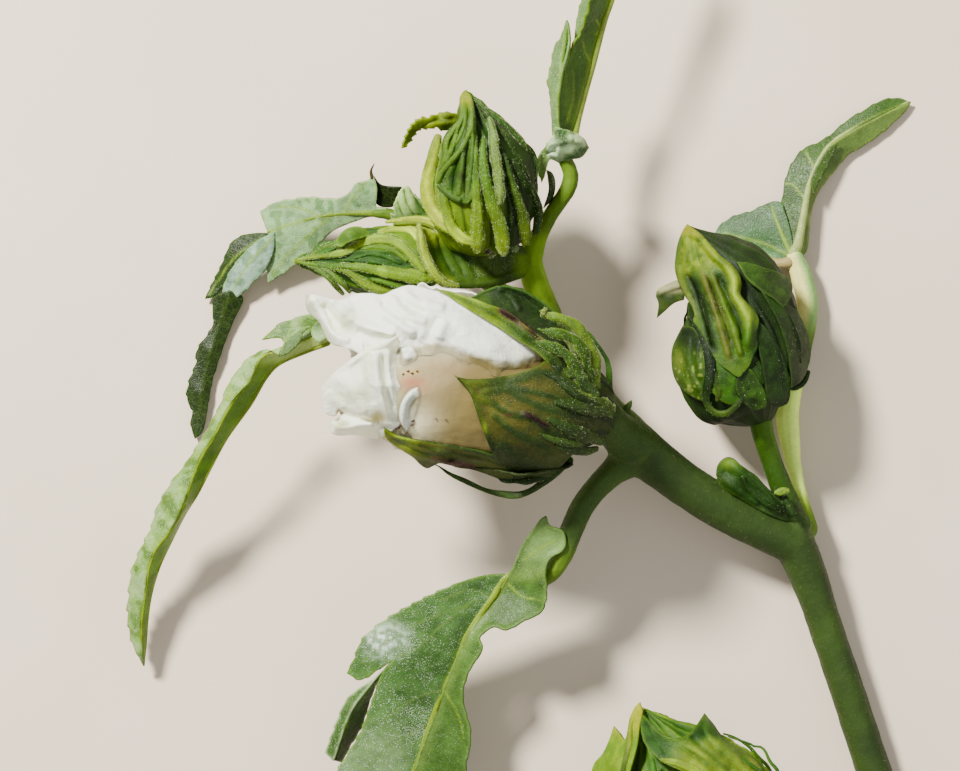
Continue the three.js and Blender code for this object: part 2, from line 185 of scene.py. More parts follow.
# ---------------------------------------------------------------- materials
class Nodes:
    def __init__(self, name):
        self.mat = bpy.data.materials.new(name)
        self.mat.use_nodes = True
        self.tree = self.mat.node_tree
        self.tree.nodes.clear()
        self.out = self.tree.nodes.new("ShaderNodeOutputMaterial")
        self.bsdf = self.tree.nodes.new("ShaderNodeBsdfPrincipled")
        self.link(self.bsdf.outputs[0], self.out.inputs["Surface"])

    def node(self, kind, **kw):
        n = self.tree.nodes.new(kind)
        for k, v in kw.items():
            setattr(n, k, v)
        return n

    def link(self, a, b):
        self.tree.links.new(a, b)

    def attr(self, name):
        return self.node("ShaderNodeAttribute", attribute_name=name)

    def coords(self, stretch=(1, 1, 1)):
        t = self.node("ShaderNodeTexCoord")
        m = self.node("ShaderNodeMapping")
        m.inputs["Scale"].default_value = [1000.0 * s for s in stretch]
        self.link(t.outputs["Object"], m.inputs["Vector"])
        return m.outputs[0]

    def noise(self, vec, scale, detail=3.0, rough=0.55):
        n = self.node("ShaderNodeTexNoise")
        n.inputs["Scale"].default_value = scale
        n.inputs["Detail"].default_value = detail
        n.inputs["Roughness"].default_value = rough
        self.link(vec, n.inputs["Vector"])
        return n.outputs["Fac"]

    def voronoi(self, vec, scale, feature="F1"):
        n = self.node("ShaderNodeTexVoronoi", feature=feature)
        n.inputs["Scale"].default_value = scale
        self.link(vec, n.inputs["Vector"])
        return n.outputs["Distance"]

    def ramp(self, fac, a, b, lo=0.0, hi=1.0):
        n = self.node("ShaderNodeMapRange")
        n.inputs["From Min"].default_value = a
        n.inputs["From Max"].default_value = b
        n.inputs["To Min"].default_value = lo
        n.inputs["To Max"].default_value = hi
        self.link(fac, n.inputs["Value"])
        return n.outputs[0]

    def math(self, op, a, b):
        n = self.node("ShaderNodeMath", operation=op)
        for i, v in enumerate((a, b)):
            if isinstance(v, (int, float)):
                n.inputs[i].default_value = v
            else:
                self.link(v, n.inputs[i])
        return n.outputs[0]

    def blend(self, fac, a, b, mode="MIX"):
        n = self.node("ShaderNodeMix", data_type="RGBA", blend_type=mode)
        n.clamp_result = False
        if isinstance(fac, (int, float)):
            n.inputs[0].default_value = fac
        else:
            self.link(fac, n.inputs[0])
        for i, v in ((6, a), (7, b)):
            if hasattr(v, "is_linked"):
                self.link(v, n.inputs[i])
            else:
                n.inputs[i].default_value = (*v, 1)
        return n.outputs[2]

    def bump(self, height, strength, distance_mm, normal=None):
        n = self.node("ShaderNodeBump")
        n.inputs["Strength"].default_value = strength
        n.inputs["Distance"].default_value = distance_mm / 1000
        self.link(height, n.inputs["Height"])
        if normal is not None:
            self.link(normal, n.inputs["Normal"])
        return n.outputs[0]


def plant(name, rough=(0.42, 0.68), spread=0.35, grain=1.1, cells=4.5, cell_bump=0.35, net=0.0,
          speck=0.0, dots_scale=2.9, streak=0.0, sss=0.0, sss_radius=(0.4, 0.9, 0.15), sheen=0.0, spec=0.5):
    """Living tissue: colour from the mesh's own tint, broken up at three scales."""
    n = Nodes(name)
    tint = n.attr("tint").outputs["Color"]
    v = n.coords()
    broad = n.noise(v, 0.35 * grain, 3)
    fine = n.noise(v, 2.6 * grain, 4, 0.6)
    col = n.blend(n.ramp(broad, 0.32, 0.7), n.blend(1.0, tint, [1 - 0.55 * spread] * 3, "MULTIPLY"),
                  n.blend(1.0, tint, [1 + 0.5 * spread, 1 + 0.42 * spread, 1 + 0.3 * spread], "MULTIPLY"))
    col = n.blend(n.ramp(fine, 0.35, 0.66, 0.0, 1.5 * spread), col, (0.55, 0.62, 0.5), "MULTIPLY")
    cell = n.voronoi(v, cells)
    height = n.ramp(cell, 0.0, 0.6, 1.0, 0.0)
    if net:
        mesh = n.voronoi(v, 0.85, "DISTANCE_TO_EDGE")
        line = n.ramp(mesh, 0.0, 0.10, 1.0, 0.0)
        mesh2 = n.voronoi(v, 2.1, "DISTANCE_TO_EDGE")
        line2 = n.ramp(mesh2, 0.0, 0.10, 1.0, 0.0)
        both = n.math("MAXIMUM", line, n.math("MULTIPLY", line2, 0.5))
        col = n.blend(n.math("MULTIPLY", both, net), col, tissue(168, 188, 104), "MIX")
    if streak:
        w = n.attr("lane").outputs["Fac"]
        n2 = n.node("ShaderNodeMath", operation="SINE")
        n.link(n.math("MULTIPLY", w, 1.0), n2.inputs[0])
        s = n.ramp(n2.outputs[0], -1, 1, 0.0, 1.0)
        s = n.math("MULTIPLY", s, n.ramp(fine, 0.3, 0.7))
        col = n.blend(n.math("MULTIPLY", s, streak), col, (1.7, 1.6, 1.5), "MULTIPLY")
        height = n.math("ADD", height, n.math("MULTIPLY", s, 1.6))
    # white dots where the pale attribute is high: partly the pale hairs' own colour, partly painted glints
    if speck:
        dots = n.voronoi(v, dots_scale)
        d = n.ramp(dots, 0.12, 0.30, 1.0, 0.0)
        patch = n.ramp(n.noise(v, 0.9, 3), 0.40, 0.62)
        pale = n.attr("pale").outputs["Fac"]
        f = n.math("MULTIPLY", n.math("MULTIPLY", d, patch), n.math("MULTIPLY", pale, speck))
        col = n.blend(f, col, tissue(222, 228, 214), "MIX")
        height = n.math("ADD", height, n.math("MULTIPLY", f, 2.0))
    n.link(col, n.bsdf.inputs["Base Color"])
    r = n.ramp(fine, 0.3, 0.7, rough[0], rough[1])
    n.link(r, n.bsdf.inputs["Roughness"])
    b = n.bump(height, cell_bump, 0.06)
    b = n.bump(n.noise(v, 0.9 * grain, 4), 0.5, 0.16, b)
    n.link(b, n.bsdf.inputs["Normal"])
    n.bsdf.inputs["Specular IOR Level"].default_value = spec
    if sss:
        n.bsdf.inputs["Subsurface Weight"].default_value = sss
        n.bsdf.inputs["Subsurface Radius"].default_value = sss_radius
        n.bsdf.inputs["Subsurface Scale"].default_value = 0.001
    if sheen:
        n.bsdf.inputs["Sheen Weight"].default_value = sheen
        n.bsdf.inputs["Sheen Roughness"].default_value = 0.4
        n.bsdf.inputs["Sheen Tint"].default_value = (0.9, 1.0, 0.8, 1)
    return n.mat


def petal_material():
    n = Nodes("petal_tissue")
    tint = n.attr("tint").outputs["Color"]
    v = n.coords()
    soft = n.noise(v, 0.28, 4, 0.6)
    fine = n.noise(v, 2.2, 5, 0.65)
    col = n.blend(n.ramp(soft, 0.35, 0.7, 0.0, 0.5), tint, n.blend(1.0, tint, (0.93, 0.95, 0.90), "MULTIPLY"))
    lanes = n.node("ShaderNodeTexNoise")
    lanes.inputs["Scale"].default_value = 1.0
    lanes.inputs["Detail"].default_value = 3
    m = n.coords((0.22, 1.9, 1.9))
    n.link(m, lanes.inputs["Vector"])
    line = n.ramp(lanes.outputs["Fac"], 0.48, 0.56, 0.0, 1.0)
    col = n.blend(n.math("MULTIPLY", line, n.math("MULTIPLY", n.attr("pale").outputs["Fac"], 0.3)), col, (0.9, 0.92, 0.86), "MULTIPLY")
    n.link(col, n.bsdf.inputs["Base Color"])
    n.link(n.ramp(fine, 0.3, 0.7, 0.38, 0.62), n.bsdf.inputs["Roughness"])
    b = n.bump(n.noise(v, 0.5, 4, 0.55), 0.4, 0.28)
    b = n.bump(fine, 0.35, 0.06, b)
    b = n.bump(n.math("MULTIPLY", lanes.outputs["Fac"], n.attr("pale").outputs["Fac"]), 0.4, 0.08, b)
    crease = n.node("ShaderNodeTexNoise")
    crease.inputs["Scale"].default_value = 0.55
    crease.inputs["Detail"].default_value = 4
    crease.inputs["Distortion"].default_value = 1.2
    n.link(v, crease.inputs["Vector"])
    line2 = n.math("ABSOLUTE", n.math("SUBTRACT", crease.outputs["Fac"], 0.5), 0.0)
    b = n.bump(n.math("MULTIPLY", n.ramp(line2, 0.0, 0.05, 0.0, 1.0), n.attr("pale").outputs["Fac"]), 0.35, 0.14, b)
    n.link(b, n.bsdf.inputs["Normal"])
    n.bsdf.inputs["Subsurface Weight"].default_value = 0.5
    n.bsdf.inputs["Subsurface Radius"].default_value = (1.0, 0.85, 0.6)
    n.bsdf.inputs["Subsurface Scale"].default_value = 0.0012
    n.bsdf.inputs["Specular IOR Level"].default_value = 0.35
    return n.mat


def hair_material(name, rough=0.35):
    n = Nodes(name)
    tint = n.attr("tint").outputs["Color"]
    v = n.coords()
    n.link(n.blend(n.ramp(n.noise(v, 1.2), 0.3, 0.7, 0, 1.0), tint, n.blend(1.0, tint, (1.5, 1.5, 1.4), "MULTIPLY"), "MIX"), n.bsdf.inputs["Base Color"])
    n.link(n.ramp(n.noise(v, 4.0), 0.3, 0.7, rough, rough + 0.2), n.bsdf.inputs["Roughness"])
    n.bsdf.inputs["Specular IOR Level"].default_value = 0.4
    return n.mat


# ---------------------------------------------------------------- mesh helpers
def grid_faces(ns, nt, wrap=False, base=0):
    """Quads of a grid of ns rows by nt columns of points, rows wrapped or not."""
    i = np.arange(ns if wrap else ns - 1)
    j = np.arange(nt - 1)
    I, J = np.meshgrid(i, j, indexing="ij")
    a = I * nt + J
    b = I * nt + J + 1
    c = ((I + 1) % ns) * nt + J + 1
    d = ((I + 1) % ns) * nt + J
    return (np.stack([a, b, c, d], -1).reshape(-1, 4) + base)


def normals_of(G):
    dt = np.gradient(G, axis=1)
    ds = np.gradient(G, axis=0)
    return unit(np.cross(dt, ds))


class Part:
    """Vertices, faces and per-vertex values gathered for one mesh."""

    def __init__(self):
        self.v, self.f, self.a, self.n = [], [], {}, 0

    def add(self, v, faces, **attrs):
        v = np.asarray(v, float).reshape(-1, 3)
        for f in faces:
            self.f.append(np.asarray(f) + self.n)
        names = set(self.a) | set(attrs)
        for k in names:
            if k not in self.a:
                first = np.asarray(attrs[k])
                shape = (self.n,) + ((3,) if k == "tint" else ())
                self.a[k] = [np.zeros(shape)] if self.n else []
            if k in attrs:
                val = np.asarray(attrs[k], float)
                if k == "tint":
                    val = np.broadcast_to(val, (len(v), 3))
                else:
                    val = np.broadcast_to(val, (len(v),))
            else:
                val = np.zeros((len(v), 3) if k == "tint" else len(v))
            self.a[k].append(val)
        self.v.append(v)
        self.n += len(v)
        return self

    def arrays(self):
        return np.vstack(self.v), self.f, {k: np.concatenate(x) for k, x in self.a.items()}


def flip_if_inside_out(v, quads):
    tri = np.vstack([quads[:, [0, 1, 2]], quads[:, [0, 2, 3]]]) if quads.shape[1] == 4 else quads
    a, b, c = v[tri[:, 0]], v[tri[:, 1]], v[tri[:, 2]]
    vol = np.einsum("ij,ij->i", a - v.mean(0), np.cross(b - v.mean(0), c - v.mean(0))).sum()
    return quads[:, ::-1] if vol < 0 else quads


def shell(G, th, **attrs):
    """A thin closed sheet round the grid of points G; th is its thickness in mm."""
    ns, nt = G.shape[:2]
    N = normals_of(G)
    th = np.broadcast_to(np.asarray(th, float), (ns, nt))[..., None]
    top, low = G + N * th / 2, G - N * th / 2
    v = np.vstack([top.reshape(-1, 3), low.reshape(-1, 3)])
    m = ns * nt
    q = grid_faces(ns, nt)
    faces = [q, q[:, ::-1] + m]
    idx = np.arange(m).reshape(ns, nt)
    ring = np.concatenate([idx[0, :], idx[1:, -1], idx[-1, -2::-1], idx[-2:0:-1, 0]])
    nxt = np.roll(ring, -1)
    faces.append(np.stack([ring, ring + m, nxt + m, nxt], -1))
    allq = np.vstack(faces)
    allq = flip_if_inside_out(v, allq)
    out = {}
    for k, val in attrs.items():
        val = np.asarray(val, float)
        if k == "tint":
            val = np.broadcast_to(val, (ns, nt, 3)).reshape(-1, 3)
        else:
            val = np.broadcast_to(val, (ns, nt)).reshape(-1)
        out[k] = np.concatenate([val, val])
    return v, [allq], out


def transport(P, up=(0, 0, 1)):
    """Tangent, side and up along the points without twist."""
    T = unit(np.gradient(P, axis=0))
    U = np.zeros_like(P)
    u = np.asarray(up, float)
    for i in range(len(P)):
        u = u - T[i] * u.dot(T[i])
        u = u / max(np.linalg.norm(u), 1e-9)
        U[i] = u
    S = np.cross(T, U)
    return T, S, U


def tube(P, rad, sides=12, flat=1.0, up=(0, 0, 1), shape=None, caps="round", ups=None):
    """A closed tube along P; rad per point; flat squashes it along its up."""
    P = np.asarray(P, float)
    T, S, U = transport(P, up)
    if ups is not None:
        U = ups - T * np.einsum("ij,ij->i", ups, T)[:, None]
        U = unit(U)
        S = np.cross(T, U)
    rad = np.broadcast_to(np.asarray(rad, float), len(P)).copy()
    if caps == "round":
        k = 3
        r0, r1 = rad[0], rad[-1]
        e0 = [(P[0] - T[0] * r0 * 0.8 * math.sin(x), r0 * math.cos(x), 0) for x in (1.45, 1.0, 0.5)]
        e1 = [(P[-1] + T[-1] * r1 * 0.8 * math.sin(x), r1 * math.cos(x), -1) for x in (0.5, 1.0, 1.45)]
        P = np.vstack([[e[0] for e in e0], P, [e[0] for e in e1]])
        rad = np.concatenate([[e[1] for e in e0], rad, [e[1] for e in e1]])
        S = np.vstack([S[:1]] * k + [S] + [S[-1:]] * k)
        U = np.vstack([U[:1]] * k + [U] + [U[-1:]] * k)
    a = np.arange(sides) * 2 * math.pi / sides
    w = np.cos(a)[None, :, None] * S[:, None, :] + flat * np.sin(a)[None, :, None] * U[:, None, :]
    R = rad[:, None] * np.ones(sides)
    if shape is not None:
        R = R * shape(np.linspace(0, 1, len(P))[:, None], a[None, :])
    G = P[:, None, :] + w * R[..., None]
    n = len(P)
    v = np.vstack([G.reshape(-1, 3), P[:1], P[-1:]])
    idx = np.arange(n * sides).reshape(n, sides)
    nxt = np.roll(idx, -1, axis=1)
    q = np.stack([idx[:-1], nxt[:-1], nxt[1:], idx[1:]], -1).reshape(-1, 4)
    c0 = np.stack([nxt[0], idx[0], np.full(sides, n * sides)], -1)
    c1 = np.stack([idx[-1], nxt[-1], np.full(sides, n * sides + 1)], -1)
    tri = np.vstack([c0, c1])
    a3 = np.vstack([q[:, [0, 1, 2]], q[:, [0, 2, 3]], tri])
    A, B, C = v[a3[:, 0]], v[a3[:, 1]], v[a3[:, 2]]
    if np.einsum("ij,ij->i", A, np.cross(B, C)).sum() < 0:
        q, tri = q[:, ::-1], tri[:, ::-1]
    t = np.concatenate([np.repeat(np.linspace(0, 1, n), sides), [0, 1]])
    ang = np.concatenate([np.tile(a, n), [0, 0]])
    return v, [q, tri], t, ang


def build(name, part, material, replaces=(), smooth_shade=True):
    v, faces, attrs = part.arrays()
    mesh = bpy.data.meshes.new(name)
    loops = np.concatenate([f.reshape(-1) for f in faces]).astype(np.int32)
    sizes = np.concatenate([np.full(len(f), f.shape[1]) for f in faces]).astype(np.int32)
    starts = np.concatenate([[0], np.cumsum(sizes)[:-1]]).astype(np.int32)
    mesh.vertices.add(len(v))
    mesh.vertices.foreach_set("co", (v * 0.001).astype(np.float32).ravel())
    mesh.loops.add(len(loops))
    mesh.loops.foreach_set("vertex_index", loops)
    mesh.polygons.add(len(sizes))
    mesh.polygons.foreach_set("loop_start", starts)
    mesh.polygons.foreach_set("loop_total", sizes)
    mesh.polygons.foreach_set("use_smooth", np.full(len(sizes), smooth_shade))
    mesh.update(calc_edges=True)
    mesh.validate()
    paint(mesh, attrs)
    ob = bpy.data.objects.new(name, mesh)
    bpy.context.scene.collection.objects.link(ob)
    mesh.materials.append(material)
    finish(ob, replaces)
    return ob


def paint(mesh, attrs):
    for k, val in attrs.items():
        if k == "tint":
            a = mesh.color_attributes.new(k, "FLOAT_COLOR", "POINT")
            c = np.ones((len(val), 4), np.float32)
            c[:, :3] = grade(np.asarray(val))
            a.data.foreach_set("color", c.ravel())
        else:
            a = mesh.attributes.new(k, "FLOAT", "POINT")
            a.data.foreach_set("value", np.asarray(val, np.float32))


def finish(ob, replaces=()):
    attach(ob, "root")
    if replaces:
        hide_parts(*replaces)


def tri_arrays(parts):
    """Triangles of gathered parts, for scattering hairs and for rays."""
    V, T, n = [], [], 0
    for v, faces in parts:
        for f in faces:
            f = np.asarray(f)
            T.append((f[:, :3] if f.shape[1] == 3 else np.vstack([f[:, [0, 1, 2]], f[:, [0, 2, 3]]])) + n)
        V.append(v)
        n += len(v)
    return np.vstack(V), np.vstack(T)


def scatter(V, T, count, rng, weight=None):
    a, b, c = V[T[:, 0]], V[T[:, 1]], V[T[:, 2]]
    cr = np.cross(b - a, c - a)
    area = np.linalg.norm(cr, axis=1)
    w = area.copy()
    if weight is not None:
        w = w * weight((a + b + c) / 3, unit(cr))
    w = w / w.sum()
    k = rng.choice(len(T), count, p=w)
    r1, r2 = np.sqrt(rng.random(count)), rng.random(count)
    p = a[k] * (1 - r1)[:, None] + b[k] * (r1 * (1 - r2))[:, None] + c[k] * (r1 * r2)[:, None]
    return p, unit(cr[k])


def spikes(part, p, n, length, radius, rng, lean=0.5, tint=(1, 1, 1), along=None, bend=0.0):
    """Short pointed hairs, each a thin three-sided spike."""
    m = len(p)
    length = np.broadcast_to(length, m) * (0.6 + 0.8 * rng.random(m))
    d = unit(n + lean * rng.normal(size=(m, 3)) + (0 if along is None else along))
    ref = unit(np.cross(d, rng.normal(size=(m, 3))))
    ref2 = np.cross(d, ref)
    v = np.zeros((m, 4, 3))
    for i in range(3):
        ang = 2 * math.pi * i / 3
        v[:, i] = p - n * 0.05 + radius * (math.cos(ang) * ref + math.sin(ang) * ref2)
    v[:, 3] = p + d * length[:, None]
    base = np.arange(m)[:, None] * 4
    f = np.concatenate([base + np.array([[0, 1, 3]]), base + np.array([[1, 2, 3]]),
                        base + np.array([[2, 0, 3]]), base + np.array([[2, 1, 0]])], 0)
    tint = np.asarray(tint, float)
    if tint.ndim == 1:
        tint = np.broadcast_to(tint, (m, 3))
    part.add(v.reshape(-1, 3), [f], tint=np.repeat(tint, 4, axis=0))


EYE_AT = np.array([SHIFT[0], SHIFT[1], EYE])


def tree_of(V, T):
    return BVHTree.FromPolygons([tuple(x) for x in V], [tuple(int(i) for i in t) for t in T])


def drop(tree, rows, lift=0.0, fallback=None):
    """Places where the sight line through each (column, row) meets a surface, and its normal."""
    out, nor = [], []
    for i, p in enumerate(rows):
        c, r = p[0], p[1]
        aim = at(c, r, 0.0) - EYE_AT
        hit, n, _, _ = tree.ray_cast(Vector(EYE_AT), Vector(unit(aim)))
        if hit is None:
            z = p[2] if len(p) > 2 else (fallback if fallback is not None else (out[-1][2] if out else 20.0))
            out.append(at(c, r, z))
            nor.append(nor[-1] if nor else np.array([0, 0, 1.0]))
        else:
            n = np.array(n)
            if n[2] < 0:
                n = -n
            out.append(np.array(hit) + n * lift)
            nor.append(n)
    return np.array(out), np.array(nor)


def exact(tree, guess):
    """The height at which the sight line through (column, row) meets a surface, and beside it the guess."""
    def h(c, r):
        P, _ = drop(tree, np.stack([c, r, guess(c, r)], -1))
        return P[:, 2]
    return h


def grid_of(v):
    """Column and row of a place."""
    k = (EYE - v[..., 2]) / ((EYE - PLANE) * GRID)
    return (v[..., 0] - SHIFT[0]) / k + CENTRE[0], CENTRE[1] - (v[..., 1] - SHIFT[1]) / k


# ================================================================= stems and stalks
# Each limb: places with a radius, and how far its colour leans to yellow-green.
LIMBS = {
    "stem_lower": ([(944, 962, 2.75, 2.72), (905, 860, 2.85, 2.75), (874, 771, 3.2, 2.66), (847, 690, 3.9, 2.6), (824, 622, 4.8, 2.55),
                    (808, 575, 5.6, 2.85), (795, 545, 6.3, 3.1)], 0.10),
    "stem_middle": ([(795, 545, 6.3, 3.1), (770, 532, 7.4, 3.2), (730, 512, 9.2, 3.3), (690, 488, 11.6, 3.25),
                     (660, 466, 13.8, 3.35), (634, 446, 15.6, 3.7)], 0.06),
    "stem_upper": ([(640, 452, 15.2, 3.5), (622, 432, 16.0, 3.4), (603, 408, 15.4, 2.7), (586, 380, 14.2, 2.4), (565, 348, 13.6, 2.2), (550, 322, 13.6, 2.15),
                    (540, 296, 14.1, 2.0), (532, 270, 14.7, 1.85), (530, 250, 15.3, 1.6)], 0.5),
    "right_peduncle": ([(797, 530, 6.8, 2.2), (789, 506, 7.6, 1.8), (780, 484, 8.4, 1.65), (772, 462, 9.2, 1.6), (763, 434, 10.2, 1.65), (759, 412, 10.8, 1.9)], 0.12),
    "right_leaf_petiole": ([(807, 530, 5.4, 1.7), (799, 488, 4.6, 0.95), (793, 462, 4.3, 1.2), (789, 434, 3.8, 1.6), (787.5, 412, 3.5, 1.75), (792, 380, 3.1, 1.75),
                            (802, 340, 2.8, 1.7), (807, 305, 2.7, 1.65), (801, 275, 2.9, 1.6), (794, 256, 3.2, 1.3)], 1.0),
    "flower_peduncle": ([(632, 444, 16.6, 3.5), (620, 434, 18.4, 3.0), (611, 424, 20.4, 2.7), (603, 416, 21.8, 2.9)], 0.1),
    "lower_leaf_petiole": ([(630, 458, 15.2, 2.9), (612, 473, 16.0, 2.05), (596, 489, 16.6, 1.8), (582, 508, 17.0, 1.75), (571, 532, 16.8, 1.7),
                            (562, 556, 15.8, 1.55), (550, 574, 14.4, 1.3), (532, 584, 13.0, 0.95), (514, 590, 12.7, 0.4)], 0.16),
    "left_leaf_petiole": ([(562, 350, 12.6, 1.5), (510, 352, 14.0, 1.15), (440, 345, 16.0, 1.1), (380, 340, 17.4, 1.1), (332, 337, 18.4, 0.95), (314, 339, 19.2, 0.7), (297, 343, 19.6, 0.35)], 0.6),
    "back_leaf_petiole": ([(540, 300, 12.6, 1.3), (500, 290, 9.8, 1.15), (455, 262, 8.2, 1.0), (415, 228, 7.6, 1.0), (392, 215, 7.6, 0.95), (372, 213, 7.6, 0.6)], 0.75),
    "top_leaf_petiole": ([(531, 262, 15.2, 1.6), (537, 240, 16.0, 1.4), (548, 219, 16.6, 1.2), (560, 201, 17.0, 1.15), (568.5, 187, 17.4, 1.2),
                          (570.5, 173, 17.8, 1.15), (565, 160, 18.2, 1.1), (560, 150, 18.8, 0.9)], 0.95),
    "lower_peduncle": ([(924, 908, 3.4, 1.8), (890, 904, 5.0, 1.5), (845, 912, 8.0, 1.45), (790, 915, 10.4, 1.55), (748, 898, 11.8, 2.0)], 0.15),
}


def stems():
    src = Part()
    centres, info = [], []
    for k, (name, (rows, lime)) in enumerate(LIMBS.items()):
        P3 = places(rows)
        rad = np.array([r[3] for r in rows])
        length = np.linalg.norm(np.diff(P3, axis=0), axis=1).sum()
        P, R = even(P3, max(8, int(length / 0.45)), rad)
        flat_end = name == "stem_lower"
        v, f, t, ang = tube(P, R, 28, caps="round")
        if flat_end:
            # clean cut at the foot of the stem
            T = unit(P[1] - P[0])
            d = (v - P[0]) @ T
            v = v - np.minimum(d, 0)[:, None] * T
        src.add(v, f)
        T, S, U = transport(P)
        s = np.linspace(0, length, len(P))
        for i in range(len(P)):
            centres.append(P[i])
            info.append((k, s[i], lime, R[i], S[i], U[i]))
    # swellings: leaf scars and the nodes where stalks leave the stem
    for c, r, z, rr in ((634, 447, 15.6, 4.15), (797, 541, 6.3, 3.55), (806, 528, 6.0, 2.6), (534, 262, 15.2, 2.25), (918, 905, 3.6, 2.9),
                        (628, 408, 16.2, 1.5), (563, 352, 13.4, 2.35)):
        p = at(c, r, z)
        Pn = np.array([p + [0, 0, -0.4 * rr], p, p + [0, 0, 0.4 * rr]])
        v, f, _, _ = tube(Pn, [rr * 0.9, rr, rr * 0.9], 20)
        src.add(v, f)
    # small thorn-like scar beside the upper stem
    v, f, _, _ = tube(np.array([at(626, 410, 17.6), at(630, 404, 18.2), at(632, 399, 18.4)]), [0.75, 0.5, 0.18], 10)
    src.add(v, f)
    V, faces, _ = src.arrays()
    tmp = bpy.data.meshes.new("stem_source")
    tmp.from_pydata((V * 0.001).tolist(), [], [tuple(int(i) for i in q) for f in faces for q in f])
    ob = bpy.data.objects.new("stem_source", tmp)
    bpy.context.scene.collection.objects.link(ob)
    m = ob.modifiers.new("join", "REMESH")
    m.mode = "VOXEL"
    m.voxel_size = 0.00027
    m.adaptivity = 0
    s = ob.modifiers.new("soften", "SMOOTH")
    s.factor = 0.55
    s.iterations = 7
    dg = bpy.context.evaluated_depsgraph_get()
    mesh = bpy.data.meshes.new_from_object(ob.evaluated_get(dg))
    bpy.data.objects.remove(ob)
    n = len(mesh.vertices)
    co = np.zeros(n * 3, np.float32)
    mesh.vertices.foreach_get("co", co)
    co = co.reshape(-1, 3).astype(float) * 1000
    no = np.zeros(n * 3, np.float32)
    mesh.vertices.foreach_get("normal", no)
    no = no.reshape(-1, 3).astype(float)
    tree = KDTree(len(centres))
    for i, p in enumerate(centres):
        tree.insert(p, i)
    tree.balance()
    tint = np.zeros((n, 3))
    lane = np.zeros(n)
    disp = np.zeros(n)
    A = np.array([c for c in centres])
    K = np.array([i[0] for i in info]); S_len = np.array([i[1] for i in info]); L = np.array([i[2] for i in info])
    Rr = np.array([i[3] for i in info]); SS = np.array([i[4] for i in info]); UU = np.array([i[5] for i in info])
    near = np.zeros(n, int)
    lime = np.zeros(n)
    for i in range(n):
        hits = tree.find_n(co[i], 5)
        w = lw = 0.0
        best, bd = 0, 1e9
        for _, j, d in hits:
            e = d / Rr[j]
            if e < bd:
                best, bd = j, e
            wt = 1.0 / (e * e * e + 0.02)
            w += wt
            lw += wt * L[j]
        near[i] = best
        lime[i] = lw / w
    q = co - A[near]
    ang = np.arctan2(np.einsum("ij,ij->i", q, UU[near]), np.einsum("ij,ij->i", q, SS[near]))
    along = S_len[near]
    lane = ang * np.round(4 + Rr[near] * 3.2) + 0.9 * np.sin(along * 0.13)
    # low ribs along the stem, faint rings at the nodes, and fine pits
    rib = 0.035 * np.cos(ang * 5 + 0.02 * along) * np.minimum(1, Rr[near] / 2) + 0.012 * np.cos(ang * 11 + 1.3 + 0.05 * along)
    disp = rib + 0.05 * fbm(co * 0.45, 3, 5) + 0.02 * fbm(co * 2.0, 2, 9)
    co = co + no * disp[:, None]
    # colour: a paler, yellower left side of the lower stem, painted light on its lit side, and a paler band under the
    # middle stem
    shade = 0.5 + 0.5 * fbm(co * 0.12, 3, 3)
    base = mix(STEM, STEM_DARK, np.clip(0.15 + 0.55 * shade + np.where(K[near] == 0, 0.5, 0), 0, 1))
    tint = mix(base, rgb(138, 168, 36), np.clip(lime * 0.92 + 0.07 * fbm(co * 0.3, 2, 8), 0, 1))
    k_low = K[near] == 0
    left = np.einsum("ij,j->i", unit(q), np.array([-0.92, -0.38, 0.0]))
    tint = mix(tint, rgb(112, 130, 62), np.where(k_low, smooth(0.35, 1.0, left) * 0.35, 0))
    k_mid = K[near] == 1
    under = np.einsum("ij,j->i", unit(q), np.array([-0.5, -0.86, 0.0]))
    tint = mix(tint, rgb(112, 130, 62), np.where(k_mid, smooth(0.4, 1.0, under) * 0.4, 0))
    # pale line along the stalks that carry leaves, on the side that faces up
    up = q[:, 2] / np.maximum(np.linalg.norm(q, axis=1), 1e-6)
    k_pet = np.isin(K[near], [4, 7, 8, 9])
    tint = mix(tint, rgb(170, 192, 84), np.where(k_pet, smooth(0.5, 1.0, up) * 0.3, 0))
    # the stalk of the right leaf: pale low down, buff on its left and blue-green on its right higher up, all lightened
    # as painted light where the right bud's shadow falls on it
    cc, rr = grid_of(co)
    # painted light: the upper stem and the foot of the top leaf's stalk made bright yellow-green where the top bud's
    # shadow falls on them
    tint = mix(tint, rgb(176, 206, 52), smooth(330, 285, rr) * smooth(225, 245, rr) * np.isin(K[near], [2, 9]) * 0.9)
    k_r = K[near] == 4
    # painted light: near-white yellow-green low on the stalk, in the right bud's shadow
    tint = mix(tint, rgb(232, 250, 138), np.where(k_r, smooth(520, 480, rr) * smooth(372, 396, rr) * 0.95, 0))
    tint = mix(tint, rgb(92, 126, 16), np.where(K[near] == 3, 0.85 * smooth(515, 490, rr), 0))
    tint = mix(tint, rgb(130, 166, 40), np.where(K[near] == 3, 0.85 * smooth(475, 440, rr), 0))
    tint = tint * np.where(np.isin(K[near], [5, 6]), 1.16, 1.0)[:, None]
    tint = mix(tint, rgb(156, 182, 74), np.where(K[near] == 6, 0.85 * smooth(535, 562, rr), 0))
    side = np.einsum("ij,j->i", unit(q), np.array([1.0, 0.0, 0.0]))
    # painted light: the buff and blue-green of the upper stalk are lightened against the bud's shadow
    tint = mix(tint, mix(rgb(222, 220, 140), rgb(176, 206, 136), smooth(-0.2, 0.6, side)), np.where(k_r, smooth(345, 312, rr), 0))
